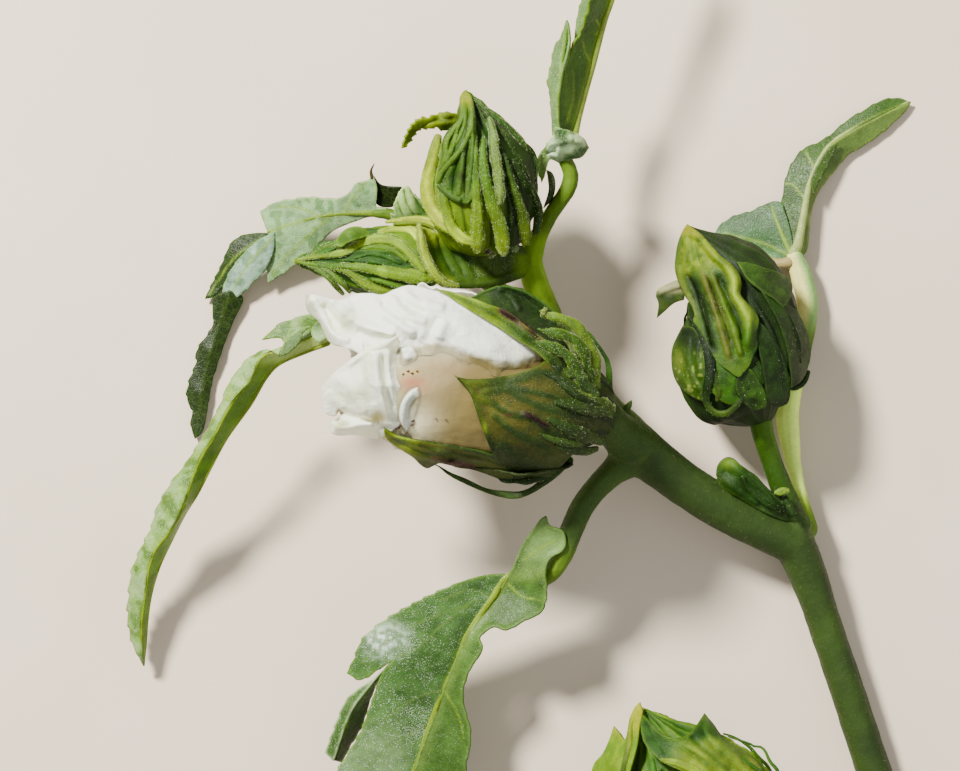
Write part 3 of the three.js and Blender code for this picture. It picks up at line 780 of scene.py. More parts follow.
    # cut face: pale pith with a darker ring of bark
    foot = A[0]
    ax = unit(A[1] - A[0])
    rr = np.linalg.norm(co - foot - ((co - foot) @ ax)[:, None] * ax, axis=1)
    face = (np.abs((co - foot) @ ax) < 0.12) & (rr < 3.2)
    tint = np.where(face[:, None], mix(rgb(216, 218, 176), rgb(150, 168, 96), smooth(1.3, 2.3, rr)), tint)
    mesh.vertices.foreach_set("co", (co * 0.001).astype(np.float32).ravel())
    mesh.name = "stem"
    paint(mesh, {"tint": tint, "lane": lane, "pale": np.zeros(n)})
    mesh.polygons.foreach_set("use_smooth", np.ones(len(mesh.polygons), bool))
    mesh.update()
    ob = bpy.data.objects.new("stem", mesh)
    bpy.context.scene.collection.objects.link(ob)
    mesh.materials.clear()
    mesh.materials.append(plant("stem_skin", rough=(0.5, 0.72), spread=0.22, grain=0.9, cells=3.6, cell_bump=0.35, streak=0.12,
                                sss=0.06, sheen=0.0, spec=0.18))
    finish(ob, ["main_stem_lower", "main_stem_middle", "main_stem_upper", "right_peduncle", "right_leaf_petiole",
                        "flower_peduncle", "lower_leaf_petiole", "left_leaf_petiole", "back_leaf_petiole", "top_leaf_petiole",
                        "lower_peduncle"])
    quads = np.zeros(len(mesh.polygons) * 4, np.int32)
    mesh.polygons.foreach_get("vertices", quads)
    quads = quads.reshape(-1, 4)
    return co, quads, lime


# ================================================================= sheets of a given outline
from mathutils.geometry import delaunay_2d_cdt


def outline(rows, step=1.4, tooth_len=15.0):
    """A closed outline on the plan grid. Each row is (column, row, teeth, corner): teeth is
    the height of the teeth there in grid steps, pointing on along the outline or, if it is
    negative, back; corner 1 keeps a sharp point."""
    rows = [tuple(r) + (0,) * (4 - len(r)) for r in rows]
    k = next((i for i, r in enumerate(rows) if r[3]), 0)
    rows = rows[k:] + rows[:k] + [rows[k]]
    runs, run = [], [rows[0]]
    for r in rows[1:]:
        run.append(r)
        if r[3]:
            runs.append(run)
            run = [r]
    if len(run) > 1:
        runs.append(run)
    pts = []
    for run in runs:
        a = np.array([r[:3] for r in run], float)
        ts = np.linspace(0, 1, 60 * len(run))
        p = curve(a, ts)
        s = np.concatenate([[0], np.cumsum(np.linalg.norm(np.diff(p[:, :2], axis=0), axis=1))])
        n = max(3, int(s[-1] / step) + 1)
        w = np.interp(np.linspace(0, s[-1], n), s, ts)
        pts.append(curve(a, w)[:-1])
    p = np.vstack(pts)
    xy, th = p[:, :2].copy(), p[:, 2]
    if np.abs(th).max() > 0:
        x, y = xy[:, 0], xy[:, 1]
        area = 0.5 * np.sum(x * np.roll(y, -1) - np.roll(x, -1) * y)
        t = np.roll(xy, -1, 0) - np.roll(xy, 1, 0)
        t = t / np.maximum(np.linalg.norm(t, axis=1, keepdims=True), 1e-9)
        nrm = np.stack([t[:, 1], -t[:, 0]], 1) * (1 if area > 0 else -1)
        s = np.concatenate([[0], np.cumsum(np.linalg.norm(np.diff(xy, axis=0), axis=1))])
        ph = (s / tooth_len + 0.18 * np.sin(s / tooth_len * 0.9)) % 1.0
        ph = np.where(th < 0, 1 - ph, ph)
        saw = np.where(ph < 0.78, (ph / 0.78) ** 1.3, (1 - ph) / 0.22)
        xy = xy + nrm * (np.abs(th) * (saw - 0.35))[:, None] + t * (th * 0.5 * saw)[:, None]
    return xy


def inside(poly, p):
    x, y = p[:, 0], p[:, 1]
    out = np.zeros(len(p), bool)
    x0, y0 = poly[:, 0], poly[:, 1]
    x1, y1 = np.roll(x0, -1), np.roll(y0, -1)
    for a, b, c, d in zip(x0, y0, x1, y1):
        if b == d:
            continue
        hit = ((b > y) != (d > y)) & (x < (c - a) * (y - b) / (d - b) + a)
        out ^= hit
    return out


def plate(heights):
    """A smooth height over the grid through (column, row, height) places."""
    h = np.asarray(heights, float)
    q = h[:, :2] / 100.0
    n = len(q)

    def ker(d2):
        return np.where(d2 > 1e-12, 0.5 * d2 * np.log(np.maximum(d2, 1e-12)), 0)
    d2 = ((q[:, None] - q[None]) ** 2).sum(-1)
    K = ker(d2) + 1e-4 * np.eye(n)
    Pm = np.hstack([np.ones((n, 1)), q])
    A = np.block([[K, Pm], [Pm.T, np.zeros((3, 3))]])
    w = np.linalg.lstsq(A, np.concatenate([h[:, 2], [0, 0, 0]]), rcond=None)[0]

    def f(c, r):
        p = np.stack([c, r], -1) / 100.0
        d = ((p[:, None] - q[None]) ** 2).sum(-1)
        return ker(d) @ w[:n] + w[n] + p @ w[n + 1:]
    return f


def near_line(p, line, n=120):
    """Distance on the grid to a line through places, and how far along it, 0 to 1."""
    ts = np.linspace(0, 1, n)
    q = curve(np.asarray(line, float)[:, :2], ts)
    d = np.sqrt(((p[:, None] - q[None]) ** 2).sum(-1))
    k = d.argmin(1)
    return d[np.arange(len(p)), k], ts[k]


def pad(rows, height, step=1.7, teeth=15.0, veins=(), thick=0.3, wave=0.3, seed=1, crumple=0.0,
        colour=None, edge_lift=0.0, lift=0.0, edge_roll=3.0, inner_step=None, pucker=0.0):
    """A thin closed sheet of the given outline. height is a function of (column, row), or
    places to pass through. veins: (line, half width at its start and end in grid steps,
    relief in mm). colour(info) gives the tint of the upper and the lower side."""
    poly = outline(rows, step, teeth)
    lo, hi = poly.min(0), poly.max(0)
    st = inner_step or step * 1.15
    gx, gy = np.meshgrid(np.arange(lo[0], hi[0], st), np.arange(lo[1], hi[1], st * 0.9))
    gx = gx + (np.arange(gx.shape[0]) % 2)[:, None] * st / 2
    g = np.stack([gx.ravel(), gy.ravel()], 1)
    g = g[inside(poly, g)]
    dmin = np.sqrt(((g[:, None] - poly[None]) ** 2).sum(-1)).min(1) if len(g) else np.zeros(0)
    g = g[dmin > 0.55 * step]
    allp = np.vstack([poly, g])
    n = len(poly)
    edges = [(i, (i + 1) % n) for i in range(n)]
    V2, _, F, _, _, _ = delaunay_2d_cdt([Vector(p) for p in allp], edges, [], 1, 1e-4)
    P2 = np.array([(v[0], v[1]) for v in V2])
    T = np.array([list(f) for f in F if len(f) == 3], int)
    used = np.unique(T)
    remap = -np.ones(len(P2), int)
    remap[used] = np.arange(len(used))
    P2, T = P2[used], remap[T]
    f = height if callable(height) else plate(height)
    z = f(P2[:, 0], P2[:, 1])
    dist = np.sqrt(((P2[:, None] - poly[None]) ** 2).sum(-1)).min(1)
    z = z + lift + edge_lift * np.exp(-dist / edge_roll)
    P = at(P2[:, 0], P2[:, 1], z)
    a, b, c = P[T[:, 0]], P[T[:, 1]], P[T[:, 2]]
    fn = np.cross(b - a, c - a)
    if fn[:, 2].sum() < 0:
        T = T[:, ::-1]
        fn = -fn
    N = np.zeros_like(P)
    for k in range(3):
        np.add.at(N, T[:, k], fn)
    N = unit(N)
    vein = np.zeros(len(P))
    relief = np.zeros(len(P))
    for line, w0, w1, h in veins:
        d, t = near_line(P2, line)
        w = w0 + (w1 - w0) * t
        m = np.exp(-(d / w) ** 2)
        vein = np.maximum(vein, m)
        relief = relief + h * m * (1 - 0.6 * t)
    bump = wave * fbm(P * 0.16, 2, seed) + 0.25 * wave * fbm(P * 0.6, 2, seed + 3)
    if pucker:
        bump = bump + pucker * value_noise(P * np.array([0.9, 0.9, 0.4]), seed + 11) * smooth(1, 6, dist)
    if crumple:
        bump = bump + crumple * (0.7 * ridged(P * 0.22, 3, seed + 5) - 0.4)
    info = {"P": P, "N": N, "c": P2[:, 0], "r": P2[:, 1], "edge": dist, "vein": vein, "noise": fbm(P * 0.5, 3, seed + 7)}
    tints = colour(info)
    top_t, low_t = tints if isinstance(tints, tuple) else (tints, tints)
    half = thick / 2
    top = P + N * (half + bump + relief)[:, None]
    low = P + N * (-half + bump - relief * 0.6)[:, None]
    m = len(P)
    e = np.vstack([T[:, [0, 1]], T[:, [1, 2]], T[:, [2, 0]]])
    key = {(int(x), int(y)) for x, y in e}
    rim = np.array([(x, y) for x, y in e if (int(y), int(x)) not in key], int)
    walls = np.stack([rim[:, 1], rim[:, 0], rim[:, 0] + m, rim[:, 1] + m], 1)
    v = np.vstack([top, low])
    faces = [np.vstack([T, T[:, ::-1] + m]), walls]
    tint = np.vstack([np.broadcast_to(top_t, (m, 3)), np.broadcast_to(low_t, (m, 3))])
    pale = np.concatenate([np.ones(m), np.full(m, 0.25)])
    return v, faces, tint, pale, (P, T, N)


def rib(rows, r0, r1, sides=10, flat=0.7, n=60, lift=0.0):
    P = places(rows)
    P[:, 2] += lift
    Pe = even(P, n)
    R = np.linspace(r0, r1, n) if r1 is not None else np.interp(np.linspace(0, 1, n), np.linspace(0, 1, len(r0)), r0)
    return tube(Pe, R, sides, flat=flat)


# ================================================================= leaves
def leaf_colour(top, low, vein=VEIN, rim=LIME, rim_width=2.0, rim_amount=0.5, patch=0.5, shade=None):
    def f(i):
        k = np.clip(0.5 + patch * i["noise"], 0, 1)
        a = mix(np.asarray(top) * 0.82, np.asarray(top) * 1.16, k)
        b = mix(np.asarray(low) * 0.88, np.asarray(low) * 1.12, k)
        if shade is not None:
            a = shade(i, a)
        out = []
        for t in (a, b):
            t = mix(t, vein, i["vein"] * 0.85)
            t = mix(t, rim, np.exp(-(i["edge"] / rim_width) ** 2) * rim_amount)
            out.append(t)
        return out[0], out[1]
    return f


LEAF_HAIR = []      # surfaces that carry short pale hairs, as (P, T, N, per mm2)


def leaf_part(part, rows, height, hairs=6.0, shiny=None, silver=1.0, **kw):
    v, f, tint, pale, raw = pad(rows, height, **kw)
    pale = pale * silver
    if shiny is not None:
        c, r = grid_of(v)
        for cc, rr, rx, ry, k in shiny:
            pale = pale + k * np.exp(-(((c - cc) / rx) ** 2 + ((r - rr) / ry) ** 2)) * (pale > 0.5)
    part.add(v, f, tint=tint, pale=pale)
    if hairs:
        LEAF_HAIR.append((raw[0], raw[1], raw[2], hairs))
    return raw


def limb_on(part, rows, r0, r1, tint, **kw):
    v, f, t, a = rib(rows, r0, r1, **kw)
    part.add(v, f, tint=tint, pale=0.3)


def lower_leaf():
    part = Part()
    mid = [(540, 572), (507, 577), (493, 597), (476, 621), (463, 642), (448, 676), (439, 700), (427, 732), (415, 766), (402, 810),
           (390, 855), (378, 900), (368, 935)]
    H = plate([(540, 572, 13.6), (507, 577, 13.2), (476, 621, 12.6), (448, 676, 11.2), (427, 732, 9.4), (415, 766, 8.2), (390, 855, 4.4),
               (368, 935, 0.9), (441, 590, 14.4), (386, 619, 13.0), (348, 673, 10.2), (392, 661, 12.2), (336, 771, 8.6), (320, 850, 4.8),
               (470, 604, 13.6), (361, 730, 10.4), (345, 900, 2.4), (440, 640, 13.0), (400, 700, 11.4)])
    left = [(509, 574, 0, 1), (494, 574), (476, 577), (455, 584, .8), (441, 590, 1.6), (416, 602, 1.8), (386, 619, 2), (363, 638, 2), (355, 656, 2),
            (347, 673, 0, 1), (361, 680, -1.5), (377, 671, -1), (392, 661, 0, 1), (382, 673), (372, 700, 1), (361, 730, 1.6), (346, 756, 2),
            (334, 776, 2.2), (321, 810, 2.4), (316, 850, 2.4), (330, 892, 2), (368, 936, 0, 1), (378, 900), (390, 855), (402, 810), (415, 766),
            (427, 732), (439, 700), (448, 676), (463, 642), (476, 621), (493, 597)]
    side = [(478, 600), (470, 604), (441, 626), (416, 649), (396, 657)]
    lobe = [(470, 604), (430, 618), (395, 637), (362, 662)]
    veins = [(mid, 2.6, 1.2, 0.10), (side, 1.1, 0.7, 0.07), (lobe, 0.8, 0.6, 0.05),
             ([(424, 726), (389, 747), (350, 782)], 1.2, 0.8, -0.06), ([(440, 690), (415, 698), (380, 722)], 1.1, 0.7, 0.04),
             ([(404, 800), (370, 815), (332, 850)], 1.2, 0.8, 0.04), ([(390, 850), (362, 866), (336, 892)], 1.0, 0.7, 0.04),
             ([(492, 598), (470, 590), (440, 600)], 1.0, 0.7, 0.03)]

    def shade(i, t):
        # the tip half of the outer lobe takes the light as a white sheen
        d = np.sqrt(((i["c"] - 386) / 30) ** 2 + ((i["r"] - 640) / 22) ** 2)
        t = mix(t, rgb(220, 230, 226), smooth(1.35, 0.15, d) * (0.4 + 0.55 * smooth(-0.3, 0.3, fbm(i["P"] * 1.6, 2, 44))))
        t = mix(t, rgb(172, 194, 146), smooth(700, 755, i["r"]) * smooth(430, 390, i["c"]) * 0.65)
        dark = ((i["c"] - 430) / 40) ** 2 + ((i["r"] - 668) / 22) ** 2
        return mix(t, rgb(92, 124, 58), np.exp(-dark) * 0.6)
    raw = leaf_part(part, left, H, veins=veins, wave=0.22, seed=3, thick=0.32, pucker=0.10, hairs=22, shiny=[(386, 640, 26, 16, 3.0), (380, 740, 50, 40, 1.2)],
              colour=leaf_colour(rgb(118, 150, 88), rgb(124, 160, 70), vein=rgb(150, 172, 90), shade=shade))
    # a denser coat of hairs on the outer lobe, where it shines, and along the far half
    c_, r_ = grid_of(raw[0][raw[1]].mean(1))
    for pick, per in (((((c_ - 384) / 34) ** 2 + ((r_ - 642) / 20) ** 2) < 1, 70), ((r_ > 705) & (c_ < 425), 22)):
        LEAF_HAIR.append((raw[0], raw[1][pick], raw[2], per))
    def near_rib(i, t):
        # paler along the midrib and on the curled end of the blade
        d, _ = near_line(np.stack([i["c"], i["r"]], -1), mid)
        t = mix(t, rgb(168, 190, 106), np.exp(-(d / 8.0) ** 2) * 0.6)
        return mix(t, rgb(178, 202, 134), smooth(580, 552, i["r"]) * 0.65)
    right = [(546, 516, 0, 1), (550, 526), (562, 531), (565, 541), (562, 550), (550, 558), (545, 570, .6), (546, 588, .8), (545, 603, .8), (540, 613), (524, 621, .8), (507, 630, .8),
             (494, 627), (480, 637, .8), (481, 650, .5), (470, 669, .6), (463, 688, .6), (464, 707, .8), (470, 730, .8), (470, 746, .8), (467, 763, 1),
             (460, 800, 1.8), (442, 850, 2), (412, 900, 1.6), (368, 936, 0, 1), (378, 900), (390, 855), (402, 810), (415, 766), (427, 732),
             (439, 700), (448, 676), (463, 642), (476, 621), (493, 597), (507, 577), (515, 563), (522, 546), (532, 531), (540, 520)]
    HR = plate([(507, 577, 13.2), (476, 621, 12.6), (448, 676, 11.2), (427, 732, 9.4), (415, 766, 8.2), (390, 855, 4.4), (368, 935, 0.9),
                (546, 516, 18.8), (562, 540, 18.2), (545, 570, 16.8), (545, 603, 16.0), (507, 630, 14.9), (480, 640, 14.2), (463, 688, 12.8),
                (470, 740, 11.4), (467, 763, 10.4), (455, 815, 7.4), (412, 900, 2.6), (522, 546, 16.4), (530, 590, 14.6), (452, 715, 10.6)])
    leaf_part(part, right, HR, veins=[(mid[1:], 2.2, 1.0, 0.08), ([(507, 582), (522, 596), (540, 600)], 1.2, 0.7, 0.04),
                                      ([(445, 690), (458, 712), (464, 738)], 1.0, 0.6, 0.03), ([(524, 560), (540, 548), (556, 540)], 1.2, .8, .04)],
              wave=0.25, seed=9, thick=0.3, hairs=3, edge_lift=0.5, silver=0.25,
              colour=leaf_colour(rgb(110, 140, 64), rgb(112, 146, 60), rim=rgb(150, 176, 96), rim_width=2.4, rim_amount=0.5, shade=near_rib))
    # narrow lobe folded along its vein: its near side is lit, its far side turned down
    HB = plate([(392, 661, 11.9), (372, 684, 11.6), (352, 704, 10.4), (340, 735, 8.2), (334, 757, 6.6), (346, 702, 9.4), (328, 740, 7.0), (326, 752, 6.0)])
    leaf_part(part, [(392, 661, 0, 1), (372, 680), (357, 690), (345, 702, 1), (333, 730, 1.5), (325, 752, 0, 1), (334, 761, 0, 1), (340, 742),
                     (352, 711), (372, 684)], HB, veins=[], wave=0.12, seed=21, thick=0.3, hairs=6,
              colour=leaf_colour(rgb(108, 142, 70), rgb(110, 140, 50), rim=rgb(216, 224, 188), rim_width=1.6, rim_amount=0.7))
    HC = plate([(392, 661, 11.9), (372, 684, 11.5), (352, 711, 10.2), (340, 742, 7.9), (334, 761, 6.2), (377, 683, 9.6), (363, 722, 6.6), (342, 759, 4.4)])
    leaf_part(part, [(392, 661, 0, 1), (377, 683, .6), (367, 708, .8), (361, 726, 1), (350, 746, 1), (341, 762, 0, 1), (334, 760, 0, 1), (340, 742), (352, 711), (372, 684)],
              HC, veins=[], wave=0.12, seed=22, thick=0.3, hairs=2,
              silver=0.15, colour=leaf_colour(rgb(96, 132, 40), rgb(110, 140, 50), rim=rgb(136, 164, 70), rim_width=1.4))
    midz = [(c, r, float(H(np.array([c]), np.array([r]))[0]) + 0.05) for c, r in mid]
    limb_on(part, [(556, 566, 15.0)] + midz, 0.62, 0.16, rgb(172, 190, 64), flat=0.8, n=110)
    ob = build("lower_leaf", part, LEAF_MAT, ["lower_leaf_blade"])
    return ob


def left_leaf():
    part = Part()
    fold = [(326, 333), (300, 341), (270, 352), (258, 361), (250, 380), (231, 404), (214, 436), (197, 465), (182, 508), (168, 533), (152, 557), (146, 588),
            (141, 627), (142, 656)]
    low = [(328, 343), (306, 351), (279, 363), (265, 378), (250, 404), (226, 438), (209, 470), (198, 492), (184.5, 514), (172, 539), (158.5, 569),
           (150, 601), (146, 639), (144, 665)]
    zf = np.interp(np.arange(14), [0, 3, 6, 9, 13], [20.0, 20.6, 17.8, 11.6, 4.4])
    HF = plate([(c, r, z) for (c, r), z in zip(fold, zf)] + [(318, 316, 20.6), (292, 319, 20.2), (262, 340, 19.4), (255, 354, 19.4), (228, 385, 18.2),
               (207, 431, 15.8), (175, 479, 12.6), (151, 528, 9.4), (131, 584, 6.4), (131, 634, 4.0), (144, 664, 2.8)])
    left = [(324, 332, 0, 1), (326, 321), (318, 314), (308, 314, .8), (292, 319, 1.2), (279, 324, 1), (262, 340, 0, 1), (279, 338), (284, 343, 0, 1), (279, 356, 0, 1),
            (268, 350), (256, 354, .8), (243, 363, 1.2), (228, 385, 1.2), (221, 404, 1.2), (207, 431, 1.2), (190, 458, 1.3), (175, 479, 1.4), (158, 506, 1.4),
            (151, 528, 1.8), (136, 562, 2.2), (130, 584, 2.6), (128, 612, 2.2), (131, 636, 1.6), (138, 654, 1), (144, 666, 0, 1), (141, 627), (146, 588), (152, 557), (168, 533), (182, 508), (197, 465),
            (214, 436), (231, 404), (250, 380), (258, 361), (270, 352), (300, 341)]
    leaf_part(part, left, HF, teeth=17, veins=[([(300, 338), (270, 345)], 1.2, .8, .03), ([(236, 392), (222, 402)], 1.0, .7, .03), ([(205, 448), (190, 458)], 1.0, .7, .03),
                                               ([(186, 488), (168, 500)], 1.0, .7, .03), ([(160, 540), (148, 545)], 1.0, .7, .03)],
              wave=0.22, seed=31, thick=0.3, hairs=9,
              colour=leaf_colour(rgb(160, 188, 104), rgb(112, 144, 50), rim=rgb(166, 190, 74), rim_width=1.3, rim_amount=0.5, patch=0.7,
                                 shade=lambda i, t: mix(mix(t, rgb(98, 132, 44), smooth(0.08, 0.45, i["noise"]) * 0.6), rgb(200, 216, 172), smooth(-0.08, -0.42, i["noise"]) * 0.45)))
    zl = np.interp(np.arange(14), [0, 3, 6, 9, 13], [19.2, 17.4, 14.2, 8.2, 2.4])
    t = np.arange(14)
    u = np.arange(0, 13.01, 0.25)
    HL = plate([(float(np.interp(x, t, [p[0] for p in line])), float(np.interp(x, t, [p[1] for p in line])), float(np.interp(x, t, zz)))
                for line, zz in ((fold, zf), (low, zl)) for x in u])
    right = [(326, 333, 0, 1), (329, 341), (306, 351), (279, 363), (265, 378), (250, 404), (226, 438), (209, 470), (198, 492), (184.5, 514), (172, 539),
             (158.5, 569), (150, 601), (146, 639), (144, 666, 0, 1), (142, 650), (141, 627), (146, 588), (152, 557), (168, 533), (182, 508), (197, 465),
             (214, 436), (231, 404), (250, 380), (258, 361), (270, 352), (300, 341)]
    # painted light: the lower face made paler near its foot, where the bloom's shadow falls on it
    leaf_part(part, right, HL, teeth=13, veins=[], wave=0.12, seed=33, thick=0.3, hairs=0, silver=0.05,
              colour=leaf_colour(rgb(144, 182, 4), rgb(120, 150, 50), rim=rgb(186, 202, 44), rim_width=1.5, rim_amount=0.75,
                                 shade=lambda i, t: mix(t, rgb(216, 228, 156), smooth(376, 350, i["r"]) * 0.75)))
    zr = [z - 0.1 for z in zl]
    limb_on(part, [(c, r, z) for (c, r), z in zip(low, zr)], 0.44, 0.14, rgb(176, 194, 84), n=110)
    # little lobes at the foot of the blade, curling towards the viewer
    for rows, zz, sd in (([(312, 326, 0, 1), (303, 333), (301, 341), (290, 352, .8), (279, 357, 0, 1), (283, 345), (290, 336), (300, 328)], 21.4, 41),
                         ([(330, 322, 0, 1), (328, 336), (319, 343, 0, 1), (312, 336), (313, 326), (320, 320)], 22.0, 42)):
        leaf_part(part, rows, [(rows[0][0], rows[0][1], zz - 0.4), (rows[2][0], rows[2][1], zz), (rows[4][0], rows[4][1], zz - 0.8), (rows[-1][0], rows[-1][1], zz + 0.3)],
                  wave=0.1, seed=sd, thick=0.28, hairs=8, colour=leaf_colour(rgb(156, 180, 128), rgb(112, 144, 50), rim=rgb(172, 192, 96), rim_width=1.4))
    return build("left_leaf", part, LEAF_MAT, ["left_leaf_blade"])


def top_leaf():
    part = Part()
    HM = plate([(565, 132, 18.6), (557, 115, 20.4), (562, 83, 21.0), (574, 45, 22.0), (586, 10, 23.0), (577, 134, 16.8), (586, 97, 17.0), (594, 67, 17.6),
                (605, 19, 19.0), (613, 0, 19.4), (600, -50, 23.0), (636, -60, 20.6), (631, -124, 22.0), (614, -95, 22.8), (640, -95, 21.4)])
    front = [(572, 134, 0, 1), (575, 120), (581, 94), (594, 51), (608, 4), (618, -30), (630, -60, 1.2), (638, -92, 1.2), (631, -126, 0, 1), (612, -96, -1.5), (600, -56, -1.6), (592, -18, -1.6), (587, 8, -1.6),
             (581, 33, -1.6), (575, 40, -1.2), (573, 47, -1.2), (566, 65, -1.2), (562, 83, -1), (557, 93), (556, 115), (558, 128)]
    mid = [(574, 132), (581, 104), (590, 72), (601, 34), (611, 0), (620, -40), (628, -90), (631, -122)]

    def lit(i, t):
        d, _ = near_line(np.stack([i["c"], i["r"]], -1), mid)
        t = mix(t, rgb(166, 196, 54), np.exp(-(d / 5.0) ** 2) * 0.7)
        return mix(t, rgb(160, 186, 84), np.exp(-(((i["c"] - 566) / 5) ** 2 + ((i["r"] - 96) / 26) ** 2)) * 0.5)
    leaf_part(part, front, HM, teeth=14, wave=0.18, seed=51, thick=0.3, hairs=0.5, silver=0.06,
              veins=[([(566, 122), (572, 96), (572, 70)], 1.1, .7, .05), ([(590, 62), (584, 50), (583, 40)], 1.1, .7, .05), ([(596, 34), (600, 28), (596, 20)], 1.1, .7, .05),
                     (mid, 1.6, .8, .06)],
              colour=leaf_colour(rgb(104, 142, 16), rgb(104, 138, 50), rim=rgb(166, 190, 46), rim_width=1.5, rim_amount=0.7, shade=lit))
    # the half behind the fold, silvery on its outer face
    leaf_part(part, [(575, 40, 0, 1), (576, 29), (578, 16, 1), (582, 0, 1.4), (592, -40, 1.6), (606, -84, 1.2), (630, -124, 0, 1), (612, -80), (600, -40), (590, 0), (582, 30)],
              [(575, 40, 20.4), (582, 0, 21.6), (590, 0, 22.4), (606, -84, 22.0), (630, -124, 21.6), (612, -80, 22.2), (582, 30, 21.6)],
              teeth=13, wave=0.12, seed=53, thick=0.3, hairs=9,
              colour=leaf_colour(rgb(140, 166, 108), rgb(104, 138, 50), rim=rgb(164, 186, 100)))
    # side lobe, standing up along the left of the blade
    leaf_part(part, [(567, 20, 0, 1), (561, 37, -1), (554, 48, -1.4), (551, 66, -1.4), (548, 82, -1.4), (550, 92, -.8), (551, 108, -.8), (552, 128), (553, 142, 0, 1), (560, 136),
                     (558, 118), (559, 96), (563, 72), (567, 58), (570, 42), (569, 26)],
              [(567, 20, 22.4), (551, 66, 20.6), (548, 82, 20.2), (551, 108, 19.6), (553, 142, 18.6), (563, 72, 22.6), (570, 42, 22.8), (558, 118, 21.0)],
              teeth=12, wave=0.14, seed=55, thick=0.3, hairs=11,
              veins=[([(558, 118), (560, 80), (566, 30)], 1.0, .8, .06)],
              colour=leaf_colour(rgb(142, 168, 112), rgb(104, 140, 40), rim=rgb(152, 184, 70)))
    leaf_part(part, [(567, 22, 0, 1), (570, 42), (568, 58), (564, 71, 0, 1), (562, 64), (564, 46)],
              [(567, 22, 22.4), (570, 42, 22.0), (564, 71, 21.6), (564, 46, 23.0)], wave=0.06, seed=56, thick=0.28, hairs=1,
              colour=leaf_colour(rgb(112, 150, 30), rgb(112, 150, 30)))
    # rolled foot of the blade: a curl round the end of the stalk, with painted sparkle and painted shade in its hollows

    def curl(i, t):
        c, r = i["c"], i["r"]
        n = np.clip(0.5 + 1.4 * i["noise"], 0, 1)
        t = mix(rgb(92, 124, 70), rgb(190, 206, 164), n)
        # painted shade in the hollows of the curl
        t = mix(t, rgb(64, 92, 38), np.exp(-(((c - 559) / 4) ** 2 + ((r - 139) / 3.2) ** 2)) * 0.7)
        t = mix(t, rgb(76, 104, 42), np.exp(-(((c - 550) / 6) ** 2 + ((r - 152.5) / 2.4) ** 2)) * 0.5)
        # painted sparkle: pale glinting patches on the curl
        t = mix(t, rgb(226, 246, 200), np.exp(-(((c - 567) / 9) ** 2 + ((r - 149) / 5) ** 2)) * 0.85)
        t = mix(t, rgb(236, 250, 220), np.exp(-(((c - 552) / 9) ** 2 + ((r - 148) / 8) ** 2)) * 0.75)
        t = mix(t, rgb(138, 164, 52), smooth(551, 544, c) * 0.8)
        return mix(t, rgb(176, 200, 120), np.exp(-(i["edge"] / 1.6) ** 2) * 0.5)
    leaf_part(part, [(555, 127, 0, 1), (568, 131, .8), (580, 136, .8), (588, 147, 0, 1), (581, 156), (571, 158.5), (561, 164, 0, 1), (553, 159.5), (549, 160),
                     (547, 165), (545, 172), (541.5, 182.5, 0, 1), (538, 168), (538.5, 156), (545, 147), (552, 138)],
              folded(plate([(555, 127, 20.6), (568, 131, 20.9), (588, 147, 19.6), (561, 164, 18.4), (562, 146, 22.6), (562, 154, 20.4), (545, 148, 20.8), (538, 161, 19.6), (542, 183, 18.4), (576, 144, 22.0), (574, 154, 20.2)]),
                     [([(548, 146), (560, 142), (574, 140), (586, 147)], 0.7, 2.6, 2.6), ([(546, 154), (552, 151), (558, 151)], -0.5, 2.0, 2.0), ([(556, 130), (560, 138), (562, 144)], 0.4, 1.8, 1.8),
                      ([(570, 132), (572, 140)], 0.4, 1.8, 1.8), ([(540, 152), (539, 164), (541, 178)], 0.4, 1.6, 1.6)]),
              wave=0.16, seed=57, thick=0.3, hairs=26, teeth=9, inner_step=1.0, step=1.0, pucker=0.3, crumple=0.25,
              colour=leaf_colour(rgb(110, 150, 112), rgb(120, 154, 44), rim=rgb(150, 186, 96), rim_width=1.0, rim_amount=0.2, shade=curl))
    # underside of the curl
    leaf_part(part, [(546, 144, 0, 1), (562, 138), (580, 141), (586, 148, 0, 1), (572, 157), (556, 158)],
              [(546, 144, 18.4), (562, 138, 17.4), (586, 148, 18.4), (565, 150, 16.0)], wave=0.1, seed=59, thick=0.3, hairs=0,
              colour=leaf_colour(rgb(120, 152, 44), rgb(120, 152, 44)))
    limb_on(part, [(564, 158, 18.0), (572, 140, 17.2), (577, 118, 17.0), (583, 96, 17.1), (593, 62, 17.8), (604, 22, 19.0), (613, -4, 19.5), (623, -45, 20.4), (630, -95, 21.4), (632, -122, 21.8)],
            0.8, 0.16, rgb(178, 194, 96), n=110, flat=0.9)
    # thin stipule beside the stalk
    leaf_part(part, [(547, 170, 0, 1), (552, 173), (555, 181), (554.5, 191), (551, 200), (543.5, 208, 0, 1), (547, 197), (549, 187), (548, 178)],
              folded(plate([(547, 170, 17.6), (555, 181, 17.0), (551, 200, 17.0), (543.5, 208, 17.0), (549, 187, 17.9)]), [([(550, 174), (552, 186), (548, 202)], 0.4, 1.4, 1.4)]),
              wave=0.05, seed=60, thick=0.26, hairs=6, step=1.0, inner_step=1.0, colour=leaf_colour(rgb(92, 110, 44), rgb(98, 116, 48), rim=rgb(120, 128, 70), rim_width=1.0))
    return build("top_leaf", part, LEAF_MAT, ["top_leaf_blade"])


